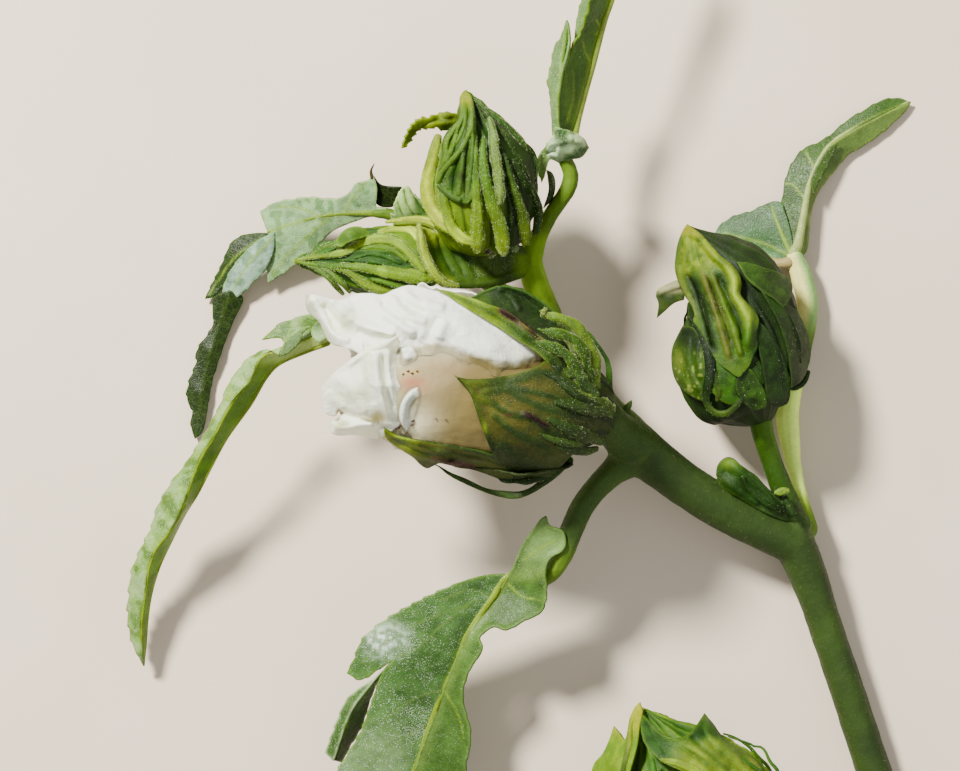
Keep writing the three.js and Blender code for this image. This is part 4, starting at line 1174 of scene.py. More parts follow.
def back_leaf():
    part = Part()
    H = plate([(389, 215, 7.8), (372, 212, 7.8), (343, 212, 7.6), (320, 216, 7.0), (291, 224, 5.8), (267, 236, 4.4), (372, 171, 9.8), (346, 195, 8.6),
               (309, 197, 7.6), (276, 202, 5.8), (260, 211, 4.6), (339, 227, 6.2), (317, 247, 4.8), (280, 276, 2.6), (268, 282, 2.2), (300, 240, 5.2)])
    mid = [(386, 214), (372, 213), (343, 213), (320, 216), (291, 224), (268, 232)]
    main = [(376, 207, 0, 1), (377, 196), (377, 186), (372, 171, 0, 1), (369, 179, 1), (356, 184, 1.2), (346, 195), (333, 199, 1), (309, 197, 1.2), (291, 199, 1.2), (276, 202, 1.2),
            (260, 211, 0, 1), (263, 221, -1), (268, 233), (272, 250), (267, 269, 0, 1), (268, 283, 0, 1), (280, 276, -1), (293, 267, -1.2), (308, 255, -1.2), (320, 243, -.8), (330, 233), (341, 226),
            (356, 221), (370, 217), (388, 219), (394, 215), (386, 209)]
    leaf_part(part, main, H, teeth=16, veins=[(mid, 2.4, 1.2, .10), ([(345, 212), (352, 198), (366, 182)], 1.4, .9, .05), ([(330, 216), (312, 232), (290, 252), (272, 275)], 1.5, .9, .05),
                                              ([(318, 215), (300, 208), (278, 206)], 1.2, .8, .04)],
              wave=0.25, seed=61, thick=0.32, hairs=9,
              silver=0.8, colour=leaf_colour(rgb(176, 202, 158), rgb(104, 138, 46), rim=rgb(176, 194, 132), rim_width=1.8, patch=0.8,
                                             shade=lambda i, t: mix(t, rgb(112, 146, 92), smooth(0.1, 0.5, i["noise"]) * 0.55)))
    # silvery front lobe and the darker one beside it
    HS = plate([(274, 234, 4.8), (243, 254, 3.8), (224, 290, 2.0), (235, 297, 1.8), (254, 282, 2.6), (267, 268, 3.4), (255, 262, 4.0)])
    leaf_part(part, [(275, 232, 0, 1), (258, 240), (243, 254, .8), (230, 271, 1), (223, 288, 1), (222, 298, 0, 1), (236, 297, -1), (243, 293, -1), (254, 282, -1), (267, 269, 0, 1), (274, 250)],
              HS, teeth=13, wave=0.16, seed=63, thick=0.3, hairs=14, veins=[([(272, 238), (250, 262), (232, 290)], 1.4, .8, .05)],
              colour=leaf_colour(rgb(182, 204, 196), rgb(104, 138, 46), rim=rgb(130, 164, 76), shade=lambda i, t: mix(t, rgb(128, 158, 128), smooth(0.1, 0.5, i["noise"]) * 0.6)))
    HD = plate([(272, 233, 4.0), (241, 236, 2.4), (222, 264, 1.6), (205, 299, 0.8), (221, 288, 1.2), (243, 254, 2.8)])
    leaf_part(part, [(273, 233, 0, 1), (256, 233), (241, 236, 1), (231, 244, 1), (222, 264, 1.2), (211, 286, 1.2), (205, 299, 0, 1), (213, 297), (222, 288), (234, 271), (243, 255), (258, 242)],
              HD, teeth=12, wave=0.08, seed=65, thick=0.3, hairs=0, veins=[([(262, 238), (235, 258), (209, 295)], 1.2, .8, .05)],
              silver=0.05, colour=leaf_colour(rgb(70, 94, 22), rgb(96, 126, 40), rim=rgb(104, 134, 44)))
    # the long lobe that hangs to the ground
    HH = plate([(228, 296, 2.0), (211, 350, 1.7), (202, 392, 1.3), (196, 436, 0.7), (214, 298, 1.4), (197, 351, 1.0), (188, 398, 0.7), (243, 299, 1.3), (224, 345, 1.0), (211, 387, 0.8)])
    leaf_part(part, [(230, 290, 0, 1), (214, 298), (213, 323, 1), (209, 332, 1.4), (197, 350, 1.8), (196, 363, 1.8), (189, 382, 2), (187, 398, 1.8), (192, 410, 1.6), (191, 426, 1.2),
                     (195, 439, 0, 1), (204, 428), (211, 387, -.8), (215, 372, -.8), (224, 345, -.6), (234, 320), (243, 298)],
              HH, teeth=14, wave=0.06, seed=67, thick=0.3, hairs=0, veins=[([(229, 298), (211, 350), (202, 392), (196, 436)], 1.6, .8, .10)],
              silver=0.0, colour=leaf_colour(rgb(66, 86, 24), rgb(84, 112, 36), rim=rgb(96, 122, 40), rim_width=1.6, vein=rgb(98, 118, 40)))
    # shaded piece of the same leaf behind the young shoot, and the brown tip of the lobe
    leaf_part(part, [(374, 176, 0, 1), (382, 185), (402, 187, 0, 1), (398, 198), (392, 207), (376, 203)],
              [(374, 176, 9.0), (402, 187, 8.4), (392, 207, 7.4), (376, 203, 7.6)], wave=0.1, seed=68, thick=0.3, hairs=0,
              silver=0.0, colour=leaf_colour(rgb(52, 66, 20), rgb(74, 96, 40), rim=rgb(60, 78, 34)))
    v, f, t, a = tube(even(places([(372, 178, 9.6), (371, 171, 10.0), (374, 164, 10.4)]), 14), np.linspace(0.3, 0.08, 14), 8)
    part.add(v, f, tint=rgb(120, 98, 60), pale=0.1)
    midz = [(c, r, float(H(np.array([c]), np.array([r]))[0])) for c, r in mid]
    limb_on(part, midz, 0.55, 0.2, rgb(164, 186, 76), n=60)
    return build("back_leaf", part, LEAF_MAT, ["back_leaf_blade", "back_leaf_hanging_lobe"])


def right_leaf():
    part = Part()
    mid = [(793, 256), (798, 244), (804, 213), (810, 183), (821, 158), (836, 140), (868, 121), (908, 102)]
    H = plate([(793, 256, 3.6), (804, 213, 3.4), (810, 183, 3.0), (821, 158, 2.6), (868, 121, 1.8), (910, 102, 0.9), (783, 200, 1.8), (793, 162, 1.4), (830, 135, 1.2),
               (880, 102, 0.9), (784, 240, 2.8), (816, 144, 1.3)])
    left = [(796, 258, 0, 1), (786, 250), (780, 230), (781, 205), (783, 197, .6), (786, 179, 1), (793, 162, 1.2), (804, 149, 1.2), (816, 144, 1), (830, 135, 1), (847, 121, 1.2), (865, 110, 1.4), (881, 101, 1.2),
            (897, 98, .8), (911, 102, 0, 1), (896, 108), (868, 122), (836, 141), (821, 158), (810, 183), (804, 213), (799, 244)]
    leaf_part(part, left, H, teeth=17, veins=[(mid, 2.8, 1.3, .1), ([(806, 200), (794, 186), (786, 184)], 1.3, .8, .04), ([(816, 170), (808, 156), (806, 150)], 1.2, .8, .04)],
              wave=0.16, seed=71, thick=0.32, hairs=2, silver=0.15, colour=leaf_colour(rgb(102, 132, 62), rgb(104, 138, 56), rim=rgb(128, 154, 80), rim_width=1.4, rim_amount=0.4))
    HR = plate([(796, 258, 3.6), (804, 213, 3.4), (810, 183, 3.0), (821, 158, 2.6), (868, 121, 1.9), (910, 102, 0.9), (807, 250, 2.6), (812, 205, 1.4), (826, 181, 1.2),
                (847, 155, 1.0), (884, 130, 0.8), (904, 113, 0.8)])
    right = [(796, 258, 0, 1), (799, 244), (804, 213), (810, 183), (821, 158), (836, 141), (868, 122), (896, 108), (911, 102, 0, 1), (904, 113, .8), (896, 120, 1), (884, 131, 1), (866, 144, 1),
             (848, 155, 1), (835, 170, .8), (826, 181, .8), (816, 196), (811, 213), (809, 236), (806, 252)]
    # the half right of the midrib gets a lighter tint, painted light where that half tilts away into shade
    leaf_part(part, right, HR, teeth=16, veins=[(mid, 2.2, 1.0, .08)], wave=0.12, seed=73, thick=0.3, hairs=1, silver=0.1,
              colour=leaf_colour(rgb(146, 168, 92), rgb(104, 138, 56), rim=rgb(164, 182, 96), rim_width=2.4, rim_amount=0.7))
    # dark pleat along the blade
    leaf_part(part, [(838, 143, 0, 1), (828, 166), (818, 184), (813, 195, 0, 1), (811, 180), (820, 160), (830, 147)],
              [(838, 143, 2.9), (818, 184, 3.2), (813, 195, 3.3), (820, 160, 3.4)], wave=0.05, seed=74, thick=0.24, hairs=0,
              colour=leaf_colour(rgb(112, 134, 66), rgb(72, 104, 42), rim=rgb(128, 154, 78)))
    HL = plate([(792, 254, 3.6), (783, 236, 3.0), (773, 210, 2.2), (752, 211, 1.4), (717, 232, 0.9), (757, 257, 1.8), (776, 265, 2.8), (750, 232, 2.0)])
    def beside(i, t):
        # painted light: much paler along the band where the right bud's shadow falls on the lobe
        d, _ = near_line(np.stack([i["c"], i["r"]], -1), [(712, 240), (738, 253), (768, 262)])
        return mix(t, rgb(172, 212, 158), np.exp(-(d / 10.0) ** 2) * 0.9)
    lobe = [(795, 258, 0, 1), (792, 236), (786, 214), (780, 202), (766, 204, -1), (752, 211, -1.2), (734, 216, -1.2), (720, 225, -1), (715, 233, 0, 1), (727, 244, 1), (741, 253, .8), (757, 257), (772, 265), (784, 267)]
    leaf_part(part, lobe, HL, teeth=15, veins=[([(791, 252), (783, 236), (776, 219), (772, 206)], 1.8, 1, .07), ([(790, 256), (765, 244), (725, 233)], 1.8, 1, .07)], wave=0.14, seed=75, thick=0.3, hairs=4, silver=0.5,
              colour=leaf_colour(rgb(110, 142, 104), rgb(104, 138, 56), rim=rgb(122, 150, 84), rim_width=1.5, shade=beside))
    v, f, t, a = tube(even(places([(790, 262, 3.8), (776, 263, 3.5), (760, 256, 2.9), (744, 254, 2.2)]), 40), np.linspace(0.85, 0.35, 40), 10, flat=0.7)
    part.add(v, f, tint=rgb(196, 178, 120), pale=0.2)
    midz = [(c, r, float(H(np.array([c]), np.array([r]))[0])) for c, r in mid]
    limb_on(part, [(803, 282, 3.0), (797, 262, 3.6)] + [(793, 253, 3.6)] + midz[1:], [1.1, 0.9, 0.62, 0.5, 0.42, 0.38, 0.34, 0.28, 0.22, 0.16], None, rgb(186, 196, 124), n=90, flat=0.8)
    limb_on(part, [(792, 256, 3.7), (783, 236, 3.2), (776, 219, 2.7), (772, 208, 2.4)], 0.55, 0.15, rgb(164, 186, 96), n=40, flat=0.8)
    return build("right_leaf", part, LEAF_MAT, ["right_leaf_blade", "right_leaf_lobe"])


def leaf_hairs():
    part = Part()
    rng = np.random.default_rng(11)
    for P, T, N, per in LEAF_HAIR:
        a, b, c = P[T[:, 0]], P[T[:, 1]], P[T[:, 2]]
        area = 0.5 * np.linalg.norm(np.cross(b - a, c - a), axis=1).sum()
        n = int(area * per)
        p, nn = scatter(P, T, n, rng)
        k = smooth(-0.5, 0.7, fbm(p * 0.35, 2, 4))
        keep = rng.random(n) < 0.35 + 0.65 * k
        p, nn = p[keep], nn[keep]
        # pale squat hairs that read as dots: their near-white tint is partly the hairs' own colour, partly painted
        # glints
        spikes(part, p + nn * 0.12, nn, 0.055, 0.036, rng, lean=0.14, tint=mix(rgb(186, 204, 170), rgb(228, 238, 226), rng.random(len(p))))
    return build("leaf_hairs", part, HAIR_PALE)


LEAF_MAT = plant("leaf_tissue", rough=(0.3, 0.52), spread=0.3, grain=1.6, cells=4.2, cell_bump=0.6, net=0.08, speck=0.62, dots_scale=4.2, sss=0.05,
                 sss_radius=(0.35, 0.8, 0.12), sheen=0.0, spec=0.18)
HAIR_PALE = hair_material("pale_hair")


# ================================================================= rounded bodies
def dome(rows):
    """Height of the upper side of a rounded body over the plan grid. Rows along its axis:
    (column, row, height, half width in grid steps, half depth in mm)."""
    q = curve(np.asarray(rows, float), np.linspace(0, 1, 240))

    def f(c, r):
        p = np.stack([c, r], -1)
        d2 = ((p[:, None] - q[None, :, :2]) ** 2).sum(-1)
        x2 = d2 / np.maximum(q[None, :, 3], 0.5) ** 2
        zz = q[None, :, 2] + q[None, :, 4] * np.where(x2 < 0.8464, np.sqrt(np.maximum(0, 1 - x2)), 0.392 - (np.sqrt(x2) - 0.92) * 2.35)
        near = d2 < (np.sqrt(d2.min(1))[:, None] + 14) ** 2
        return np.where(near, zz, -99).max(1)
    return f


class Body:
    """A closed rounded body along an axis, with places on its surface by (t, angle):
    angle 0 is the side to the right of the axis, a quarter turn is straight up."""

    def __init__(self, rows, disp=None, up=(0, 0, 1)):
        self.rows = np.asarray(rows, float)
        self.disp = disp
        ts = np.linspace(0, 1, 400)
        q = curve(self.rows, ts)
        P = at(q[:, 0], q[:, 1], q[:, 2])
        T, S, U = transport(P, up)
        self.ts, self.P, self.T, self.S, self.U = ts, P, T, S, U
        k = (EYE - q[:, 2]) / ((EYE - PLANE) * GRID)
        self.w, self.d = np.maximum(q[:, 3], 0.2) * k, np.maximum(q[:, 4], 0.05)

    def pick(self, arr, t):
        return np.stack([np.interp(t, self.ts, arr[:, i]) for i in range(3)], -1)

    def point(self, t, a, lift=0.0):
        t, a = np.broadcast_arrays(np.asarray(t, float), np.asarray(a, float))
        P, S, U, T = (self.pick(x, t) for x in (self.P, self.S, self.U, self.T))
        w, d = np.interp(t, self.ts, self.w), np.interp(t, self.ts, self.d)
        base = P + S * (w * np.cos(a))[..., None] + U * (d * np.sin(a))[..., None]
        n = unit(S * (np.cos(a) / np.maximum(w, .3))[..., None] + U * (np.sin(a) / np.maximum(d, .3))[..., None])
        h = lift + (self.disp(t, a, base) if self.disp else 0)
        return base + n * np.asarray(h)[..., None], n

    def mesh(self, n=120, sides=120, t0=0.0, t1=1.0):
        t = np.linspace(t0, t1, n)[:, None] * np.ones((1, sides))
        a = (np.arange(sides) * 2 * math.pi / sides)[None, :] * np.ones((n, 1))
        G, _ = self.point(t, a)
        v = np.vstack([G.reshape(-1, 3), G[0].mean(0)[None], G[-1].mean(0)[None]])
        idx = np.arange(n * sides).reshape(n, sides)
        nxt = np.roll(idx, -1, axis=1)
        q = np.stack([idx[:-1], nxt[:-1], nxt[1:], idx[1:]], -1).reshape(-1, 4)
        tri = np.vstack([np.stack([nxt[0], idx[0], np.full(sides, n * sides)], -1),
                         np.stack([idx[-1], nxt[-1], np.full(sides, n * sides + 1)], -1)])
        c = v.mean(0)
        A, B, C = v[q[:, 0]] - c, v[q[:, 1]] - c, v[q[:, 2]] - c
        if np.einsum("ij,ij->i", A, np.cross(B, C)).sum() < 0:
            q, tri = q[:, ::-1], tri[:, ::-1]
        tt = np.concatenate([t.ravel(), [t0, t1]])
        aa = np.concatenate([a.ravel(), [0, 0]])
        return v, [q, tri], tt, aa

    def sheet(self, t0, t1, a0, half, tip=0.0, lift=0.5, n=60, m=26, flare=0.0, wave=0.0, seed=1, skew=0.0, curl=0.0, th=0.3, ruffle=0.0):
        """A sepal or petal that lies on the body from t0 to t1, half angle half(u)."""
        u = np.linspace(0, 1, n)[:, None]
        s = np.linspace(-1, 1, m)[None, :]
        t = t0 + (t1 - t0) * u + 0 * s
        a = a0 + skew * u + half(u) * s
        up = lift + flare * u ** 2 + curl * np.abs(s) ** 3 * (1 - 0.5 * u)
        q, _ = self.point(t, a, 0)
        up = up + wave * fbm(q * 0.35, 3, seed) + ruffle * np.sin(u * 16 + seed + 2 * s) * np.abs(s) ** 2
        G, N = self.point(t, a, up)
        return G, u + 0 * s, s + 0 * u


def sheet_part(part, G, tint, th=0.3, pale=0.3):
    v, f, at_ = shell(G, th, tint=tint, pale=pale)
    part.add(v, f, **at_)


def signed_line(p, line, n=140):
    q = curve(np.asarray(line, float)[:, :2], np.linspace(0, 1, n))
    d2 = ((p[:, None] - q[None]) ** 2).sum(-1)
    k = d2.argmin(1)
    tan = np.gradient(q, axis=0)[k]
    w = p - q[k]
    side = tan[:, 0] * w[:, 1] - tan[:, 1] * w[:, 0]
    return np.sqrt(d2[np.arange(len(p)), k]), k / (n - 1), side


def folded(base, folds):
    """A height with folds added: (line, rise in mm, width to its right, width to its left)."""
    g = base if callable(base) else plate(base)

    def f(c, r):
        p = np.stack([c, r], -1)
        z = g(c, r)
        for line, h, wr, wl in folds:
            d, t, side = signed_line(p, line)
            w = np.where(side > 0, wr, wl)
            z = z + h * np.exp(-(d / w) ** 2) * smooth(0, 0.12, t + 0.02) * smooth(0, 0.12, 1.02 - t)
        return z
    return f


# ================================================================= the bloom
CORE = [(366, 366, 28.0, 2, 0.6), (371, 365, 28.0, 34, 4.6), (384, 364, 28.2, 55, 7.2), (402, 367, 28.3, 68, 8.4), (425, 371, 28.3, 73, 8.9), (452, 377, 28.0, 75, 9.0),
        (480, 386, 27.6, 72, 8.8), (510, 397, 27.0, 65, 8.2), (540, 405, 26.0, 54, 7.2), (565, 411, 25.0, 40, 5.6), (584, 415, 24.0, 22, 3.6), (592, 417, 23.6, 2, 0.6)]
CUP = [(606, 430, 21.0, 3, 0.5), (604, 428, 21.2, 9, 1.5), (600, 424, 21.8, 17, 2.8), (593, 419, 22.8, 27, 4.3), (583, 413, 24.0, 41, 6.2), (570, 408, 25.0, 53, 7.8), (556, 403, 25.8, 63, 9.0), (540, 399, 26.4, 70, 9.7),
       (522, 396, 26.9, 72, 9.7), (510, 394, 27.0, 69, 9.0), (503, 392, 27.0, 60, 7.6), (499, 391, 27.0, 2, 0.6)]


CUP_BODY = CUP[:5] + [(570, 408, 25.0, 51, 7.4), (562, 405, 25.4, 54, 8.0), (554, 402.5, 25.8, 52, 7.7), (547, 401, 26.0, 40, 5.6), (543, 400, 26.0, 2, 0.6)]


def spread_max(f, g, lift_f=0.0, lift_g=0.0):
    def h(c, r):
        a, b = f(c, r) + lift_f, g(c, r) + lift_g
        k = 1.2
        m = np.maximum(a, b)
        return m + k * np.exp(-np.abs(a - b) / k) * 0.25
    return h


def petal_tint(i, warm=0.0):
    c, r = i["c"], i["r"]
    k = np.clip(0.5 + 0.5 * i["noise"], 0, 1)
    t = mix(rgb(238, 240, 216), rgb(249, 250, 236), k)
    # towards the calyx the petal turns cream, its own warmer base darkened as painted shade
    t = mix(t, rgb(222, 218, 178), smooth(478, 545, c) * 0.75)
    t = mix(t, rgb(204, 214, 170), np.exp(-(i["edge"] / 2.0) ** 2) * 0.3)
    t = mix(t, CREAM, warm)
    return t


def core_tint_and_shade(c, r, up):
    t = np.broadcast_to(rgb(206, 196, 154), (len(c), 3))
    # painted shade: tan where the upper petal shades the core, and towards the calyx
    t = mix(t, rgb(178, 156, 104), np.exp(-(((c - 446) / 40) ** 2 + ((r - 394) / 24) ** 2)) * 0.7)
    t = mix(t, rgb(172, 154, 84), smooth(428, 470, c + 0.35 * (r - 400)) * 0.9)
    t = mix(t, rgb(226, 152, 112), np.exp(-(((c - 413) / 14) ** 2 + ((r - 383) / 8) ** 2)) * 0.72)
    t = mix(t, rgb(222, 200, 128), np.exp(-(((c - 412) / 10) ** 2 + ((r - 372) / 4) ** 2)) * 0.5)
    t = mix(t, rgb(232, 226, 192), np.exp(-(((c - 414) / 20) ** 2 + ((r - 424) / 16) ** 2)) * 0.8)
    # painted shade: a darker band just under the upper petal's lower edge
    t = mix(t, rgb(186, 158, 110), np.exp(-(((c - 448) / 26) ** 2 + ((r - 368) / 9) ** 2)) * 0.6)
    t = mix(t, rgb(236, 234, 214), smooth(0.1, -0.35, up))
    return t


def faded(v, tint, pale):
    """Paleness of a petal, which runs out to the core's where the colour does."""
    c, r = grid_of(v)
    unlike = np.linalg.norm(tint - core_tint_and_shade(c, r, np.ones(len(c))), axis=1)
    return 0.15 + (pale - 0.15) * smooth(0.0, 0.2, unlike)


def bloom():
    part = Part()

    def crumple(t, a, p):
        up = np.sin(a)
        calm = smooth(0.1, 0.7, up)
        turn = a * 5 / (2 * math.pi) + 0.9 * t
        ph = turn - np.floor(turn)
        lap = 0.7 * (smooth(0, 0.12, ph) - ph) * (1 - calm)
        c = 0.55 * ridged(p * 0.24, 3, 5) * (1 - 0.85 * calm)
        line = 0.10 * np.sin(a * 34 + 3 * fbm(p * 0.15, 2, 8)) * (1 - 0.6 * calm)
        return (lap + c + line * 0.6 * (1 - calm)) * smooth(0, 0.08, t) * smooth(1, 0.75, t)
    core = Body(CORE, crumple)
    # the middle of the bloom stays smooth; only its sides are creased
    v, f, t, a = core.mesh(170, 190)
    c, r = grid_of(v)
    part.add(v, f, tint=core_tint_and_shade(c, r, np.sin(a)), pale=0.15)
    cd = exact(tree_of(v, np.vstack([f[0][:, [0, 1, 2]], f[0][:, [0, 2, 3]], f[1]])), dome(CORE))
    # upper petal, folded over and crumpled
    H1 = plate([(306, 294, 29.6), (313, 310, 29.2), (320, 297, 30.6), (327, 340, 30.6), (340, 346, 31.6), (344, 299, 30.9), (357, 352, 33.6), (373, 293, 31.4), (403, 286, 32.2),
                (422, 287, 32.4), (441, 293, 32.8), (466, 305, 33.6), (492, 321, 34.0), (524, 342, 34.0), (552, 365, 33.0), (365, 322, 34.6), (400, 315, 35.8), (440, 325, 36.9),
                (480, 345, 37.0), (520, 362, 35.6), (398, 338, 37.0), (424, 354, 37.3), (452, 361, 37.3), (480, 372, 36.9), (508, 377, 35.8), (535, 373, 34.6)])
    F1 = [([(312, 296), (318, 306), (326, 320), (333, 333), (342, 339), (352, 338)], 1.1, 8, 2.6),
          ([(322, 303), (329, 312), (337, 324), (346, 331)], -0.9, 3.5, 3.5),
          ([(346, 318), (360, 325), (378, 331), (397, 335)], 0.9, 4, 6),
          ([(356, 331), (372, 338), (392, 341)], -0.7, 3, 3),
          ([(372, 296), (380, 308), (392, 318), (404, 327), (418, 334)], 0.8, 5, 4),
          ([(388, 294), (398, 306), (412, 317), (428, 322)], 0.7, 4, 4),
          ([(380, 304), (394, 314), (410, 324)], -0.6, 3, 3),
          ([(402, 289), (416, 300), (430, 305), (446, 306)], 0.7, 5, 3.5),
          ([(398, 298), (412, 308), (426, 313)], -0.5, 2.5, 2.5),
          ([(440, 316), (434, 326), (430, 336), (428, 343)], -0.9, 5, 4),
          ([(446, 320), (441, 330), (438, 339)], 0.6, 7, 6),
          ([(400, 338), (404, 344), (411, 349), (420, 350)], 0.7, 4, 3),
          ([(412, 336), (416, 343), (423, 347)], -0.6, 3, 3),
          ([(420, 300), (440, 309), (462, 318), (484, 332), (504, 350)], 0.5, 8, 6),
          ([(452, 322), (470, 333), (490, 348), (510, 366)], 0.35, 6, 6),
          ([(448, 344), (468, 352), (490, 364), (512, 373)], 0.3, 5, 4),
          ([(344, 300), (350, 310), (352, 322)], 0.6, 4, 4),
          ([(332, 299), (338, 308), (346, 316)], 0.5, 3, 3)]
    o1 = [(306, 294, 0, 1), (313, 295), (320, 296), (327, 298), (335, 300), (344, 299), (350, 296), (356, 293.5), (364, 293), (373, 293), (381, 294.5), (387, 293), (392, 290), (397, 288),
          (403, 286), (412, 285), (422, 287), (432, 290), (441, 293), (452, 297), (466, 305), (480, 313), (492, 321), (508, 331), (524, 342), (540, 355), (552, 365, 0, 1), (546, 371),
          (535, 374), (522, 376.5), (508, 378), (495, 377), (480, 373), (466, 367), (452, 362), (438, 357), (424, 356), (414, 357), (406, 352), (401, 344), (399, 339, 0, 1), (385, 347),
          (372, 354), (362, 357), (357, 352.5), (349, 348.5), (341, 346.5), (333, 345), (327, 340), (323, 331), (318, 320), (309, 313), (306, 306)]

    LOW_EDGE = [(404, 352), (414, 357), (424, 356), (438, 357), (452, 362), (466, 367), (480, 373), (495, 377), (508, 378), (522, 376.5), (535, 374), (548, 370)]

    def settle(f, line, near, far, sink=0.0):
        """The sheet comes down on the core along a line and dips under it, so that its edge doesn't show."""
        def h(c, r):
            z = f(c, r)
            d, _ = near_line(np.stack([c, r], -1), line)
            k = cd(c, r)
            return mix_z(np.maximum(z, k + 0.12), k + 0.12 - sink * smooth(far * 0.55, 0.5, d), smooth(far, near, d))
        return h

    def mix_z(a, b, k):
        return a + (b - a) * k

    def tint1(i):
        t = petal_tint(i)
        c, r = i["c"], i["r"]
        # painted shade: greyer on the far side of the first fold and in the patch beside it
        d, tt, side = signed_line(np.stack([c, r], -1), [(312, 296), (318, 306), (326, 320), (333, 333), (342, 339)])
        t = mix(t, rgb(166, 176, 150), smooth(0, 4, np.where(side > 0, d, 0)) * smooth(355, 325, c) * 0.6)
        t = mix(t, rgb(182, 192, 162), np.exp(-(((c - 352) / 16) ** 2 + ((r - 318) / 12) ** 2)) * (0.5 + 0.4 * np.clip(i["noise"], -1, 1)))
        # painted shade with the petal's warm cream: cream to tan along the lower edge, where the petal turns under
        t = mix(t, rgb(200, 188, 150), np.exp(-(((c - 452) / 32) ** 2 + ((r - 366) / 10) ** 2)) * 0.6)
        dl, _ = near_line(np.stack([c, r], -1), LOW_EDGE)
        t = mix(t, mix(rgb(184, 170, 132), rgb(168, 168, 112), smooth(465, 505, c)), np.exp(-(dl / 10.0) ** 2) * 0.6 * smooth(414, 430, c))
        t = mix(t, core_tint_and_shade(c, r, np.ones(len(c))), smooth(20.0, 6.5, dl + 3.0 * np.clip(i["noise"], -1, 1)) * smooth(402, 414, c) * smooth(575, 545, c))
        # painted shade: a grey patch by the first fold
        t = mix(t, rgb(186, 194, 152), np.exp(-(((c - 346) / 9) ** 2 + ((r - 322) / 16) ** 2)) * 0.6)
        return t, t * 0.96
    v, f, tint, pale, _ = pad(o1, settle(folded(H1, F1), LOW_EDGE, 5.0, 21.0, 0.24), step=1.3, inner_step=1.35, wave=0.12, crumple=0.22, seed=101, thick=0.1, colour=tint1, edge_lift=0.0)
    part.add(v, f, tint=tint, pale=faded(v, tint, 1.0))
    # lower left petal, turned back with its corner up
    H2 = plate([(398, 335, 38.6), (378, 344, 37.2), (359, 352, 35.2), (344, 365, 33.2), (330, 378, 31.8), (322, 389, 30.8), (322, 401, 30.2), (325, 413, 29.6), (336, 416, 29.4),
                (330, 424, 28.4), (336, 434, 27.8), (356, 437, 27.8), (384, 436, 29.2), (399, 424, 33.4), (402, 405, 36.0), (401, 390, 37.2), (398, 360, 38.2), (360, 380, 35.6),
                (350, 405, 33.0), (375, 400, 35.9), (385, 380, 37.2), (368, 424, 32.0), (350, 425, 30.8)])
    F2 = [([(374, 350), (375, 362), (377, 378), (380, 393), (384, 407), (391, 421)], 1.3, 3.2, 7),
          ([(381, 352), (384, 366), (386, 382), (389, 398), (394, 412)], -0.8, 3, 3),
          ([(389, 348), (390, 362), (391, 378), (393, 395), (396, 412), (398, 422)], 0.5, 3.5, 4),
          ([(398, 338), (388, 342), (374, 348), (360, 356), (346, 368)], 0.5, 4, 3),
          ([(339, 411), (350, 416), (364, 419), (380, 423)], -1.3, 3, 3.5),
          ([(333, 426), (346, 428), (360, 425), (374, 424)], 0.9, 5, 3),
          ([(340, 374), (350, 388), (358, 402), (366, 414)], 0.4, 7, 5),
          ([(356, 360), (364, 374), (370, 390), (374, 405)], -0.35, 5, 5),
          ([(326, 392), (334, 400), (346, 408)], 0.35, 4, 4)]
    o2 = [(398, 335, 0, 1), (388, 340), (378, 343.5), (368, 348), (359, 352.5), (351, 358), (344, 365), (337, 371), (330, 378), (324.5, 384), (321.5, 389), (322, 395), (322.5, 401),
          (323, 407), (325, 413), (331, 416), (336, 415.5, 0, 1), (339, 411, 0, 1), (340.5, 415), (337, 419, 0, 1), (333, 420.5), (329.5, 424), (331, 430), (336, 434.5), (346, 436), (356, 436.5),
          (372, 437.5), (384, 436), (393, 430), (399, 425), (401.5, 418), (402, 405), (402, 390), (401, 372), (400, 352)]

    def tint2(i):
        t = petal_tint(i)
        c, r = i["c"], i["r"]
        t = mix(t, rgb(222, 226, 192), 0.45)
        t = mix(t, rgb(200, 200, 162), np.exp(-(((c - 378) / 6) ** 2 + ((r - 415) / 6) ** 2)) * 0.8)
        t = mix(t, rgb(240, 241, 224), smooth(408, 425, r) * smooth(395, 330, c) * 0.6)
        t = mix(t, rgb(184, 188, 118), np.exp(-(((c - 342) / 9) ** 2 + ((r - 425) / 4) ** 2)) * 0.8)
        t = mix(t, rgb(206, 192, 98), np.exp(-(((c - 377) / 8) ** 2 + ((r - 418) / 4.5) ** 2)) * 0.75)
        t = mix(t, rgb(184, 194, 152), np.exp(-(((c - 352) / 20) ** 2 + ((r - 396) / 14) ** 2)) * (0.55 + 0.3 * np.clip(i["noise"], -1, 1)))
        t = mix(t, rgb(188, 198, 150), np.exp(-(((c - 366) / 5) ** 2 + ((r - 372) / 22) ** 2)) * 0.45)
        t = mix(t, mix(rgb(226, 222, 178), core_tint_and_shade(c, r, np.ones(len(c))), smooth(398, 402, c)), np.exp(-(((c - 403) / 5) ** 2 + ((r - 386) / 34) ** 2)) * 0.9)
        for cc, rr, q in ((338.5, 412, 2.6), (337.5, 418, 2.4), (341, 414, 1.8)):
            t = mix(t, rgb(110, 72, 34), np.exp(-(((c - cc) / q) ** 2 + ((r - rr) / q) ** 2)) * 0.9)
        return t, t * 0.96
    v, f, tint, pale, _ = pad(o2, settle(folded(H2, F2), [(401, 352), (402, 372), (403, 390), (403, 405), (402.5, 420)], 3.0, 17.0, 0.2), step=1.2, inner_step=1.2, wave=0.15, crumple=0.3, seed=107, thick=0.1, colour=tint2, edge_lift=0.0)
    part.add(v, f, tint=tint, pale=1)
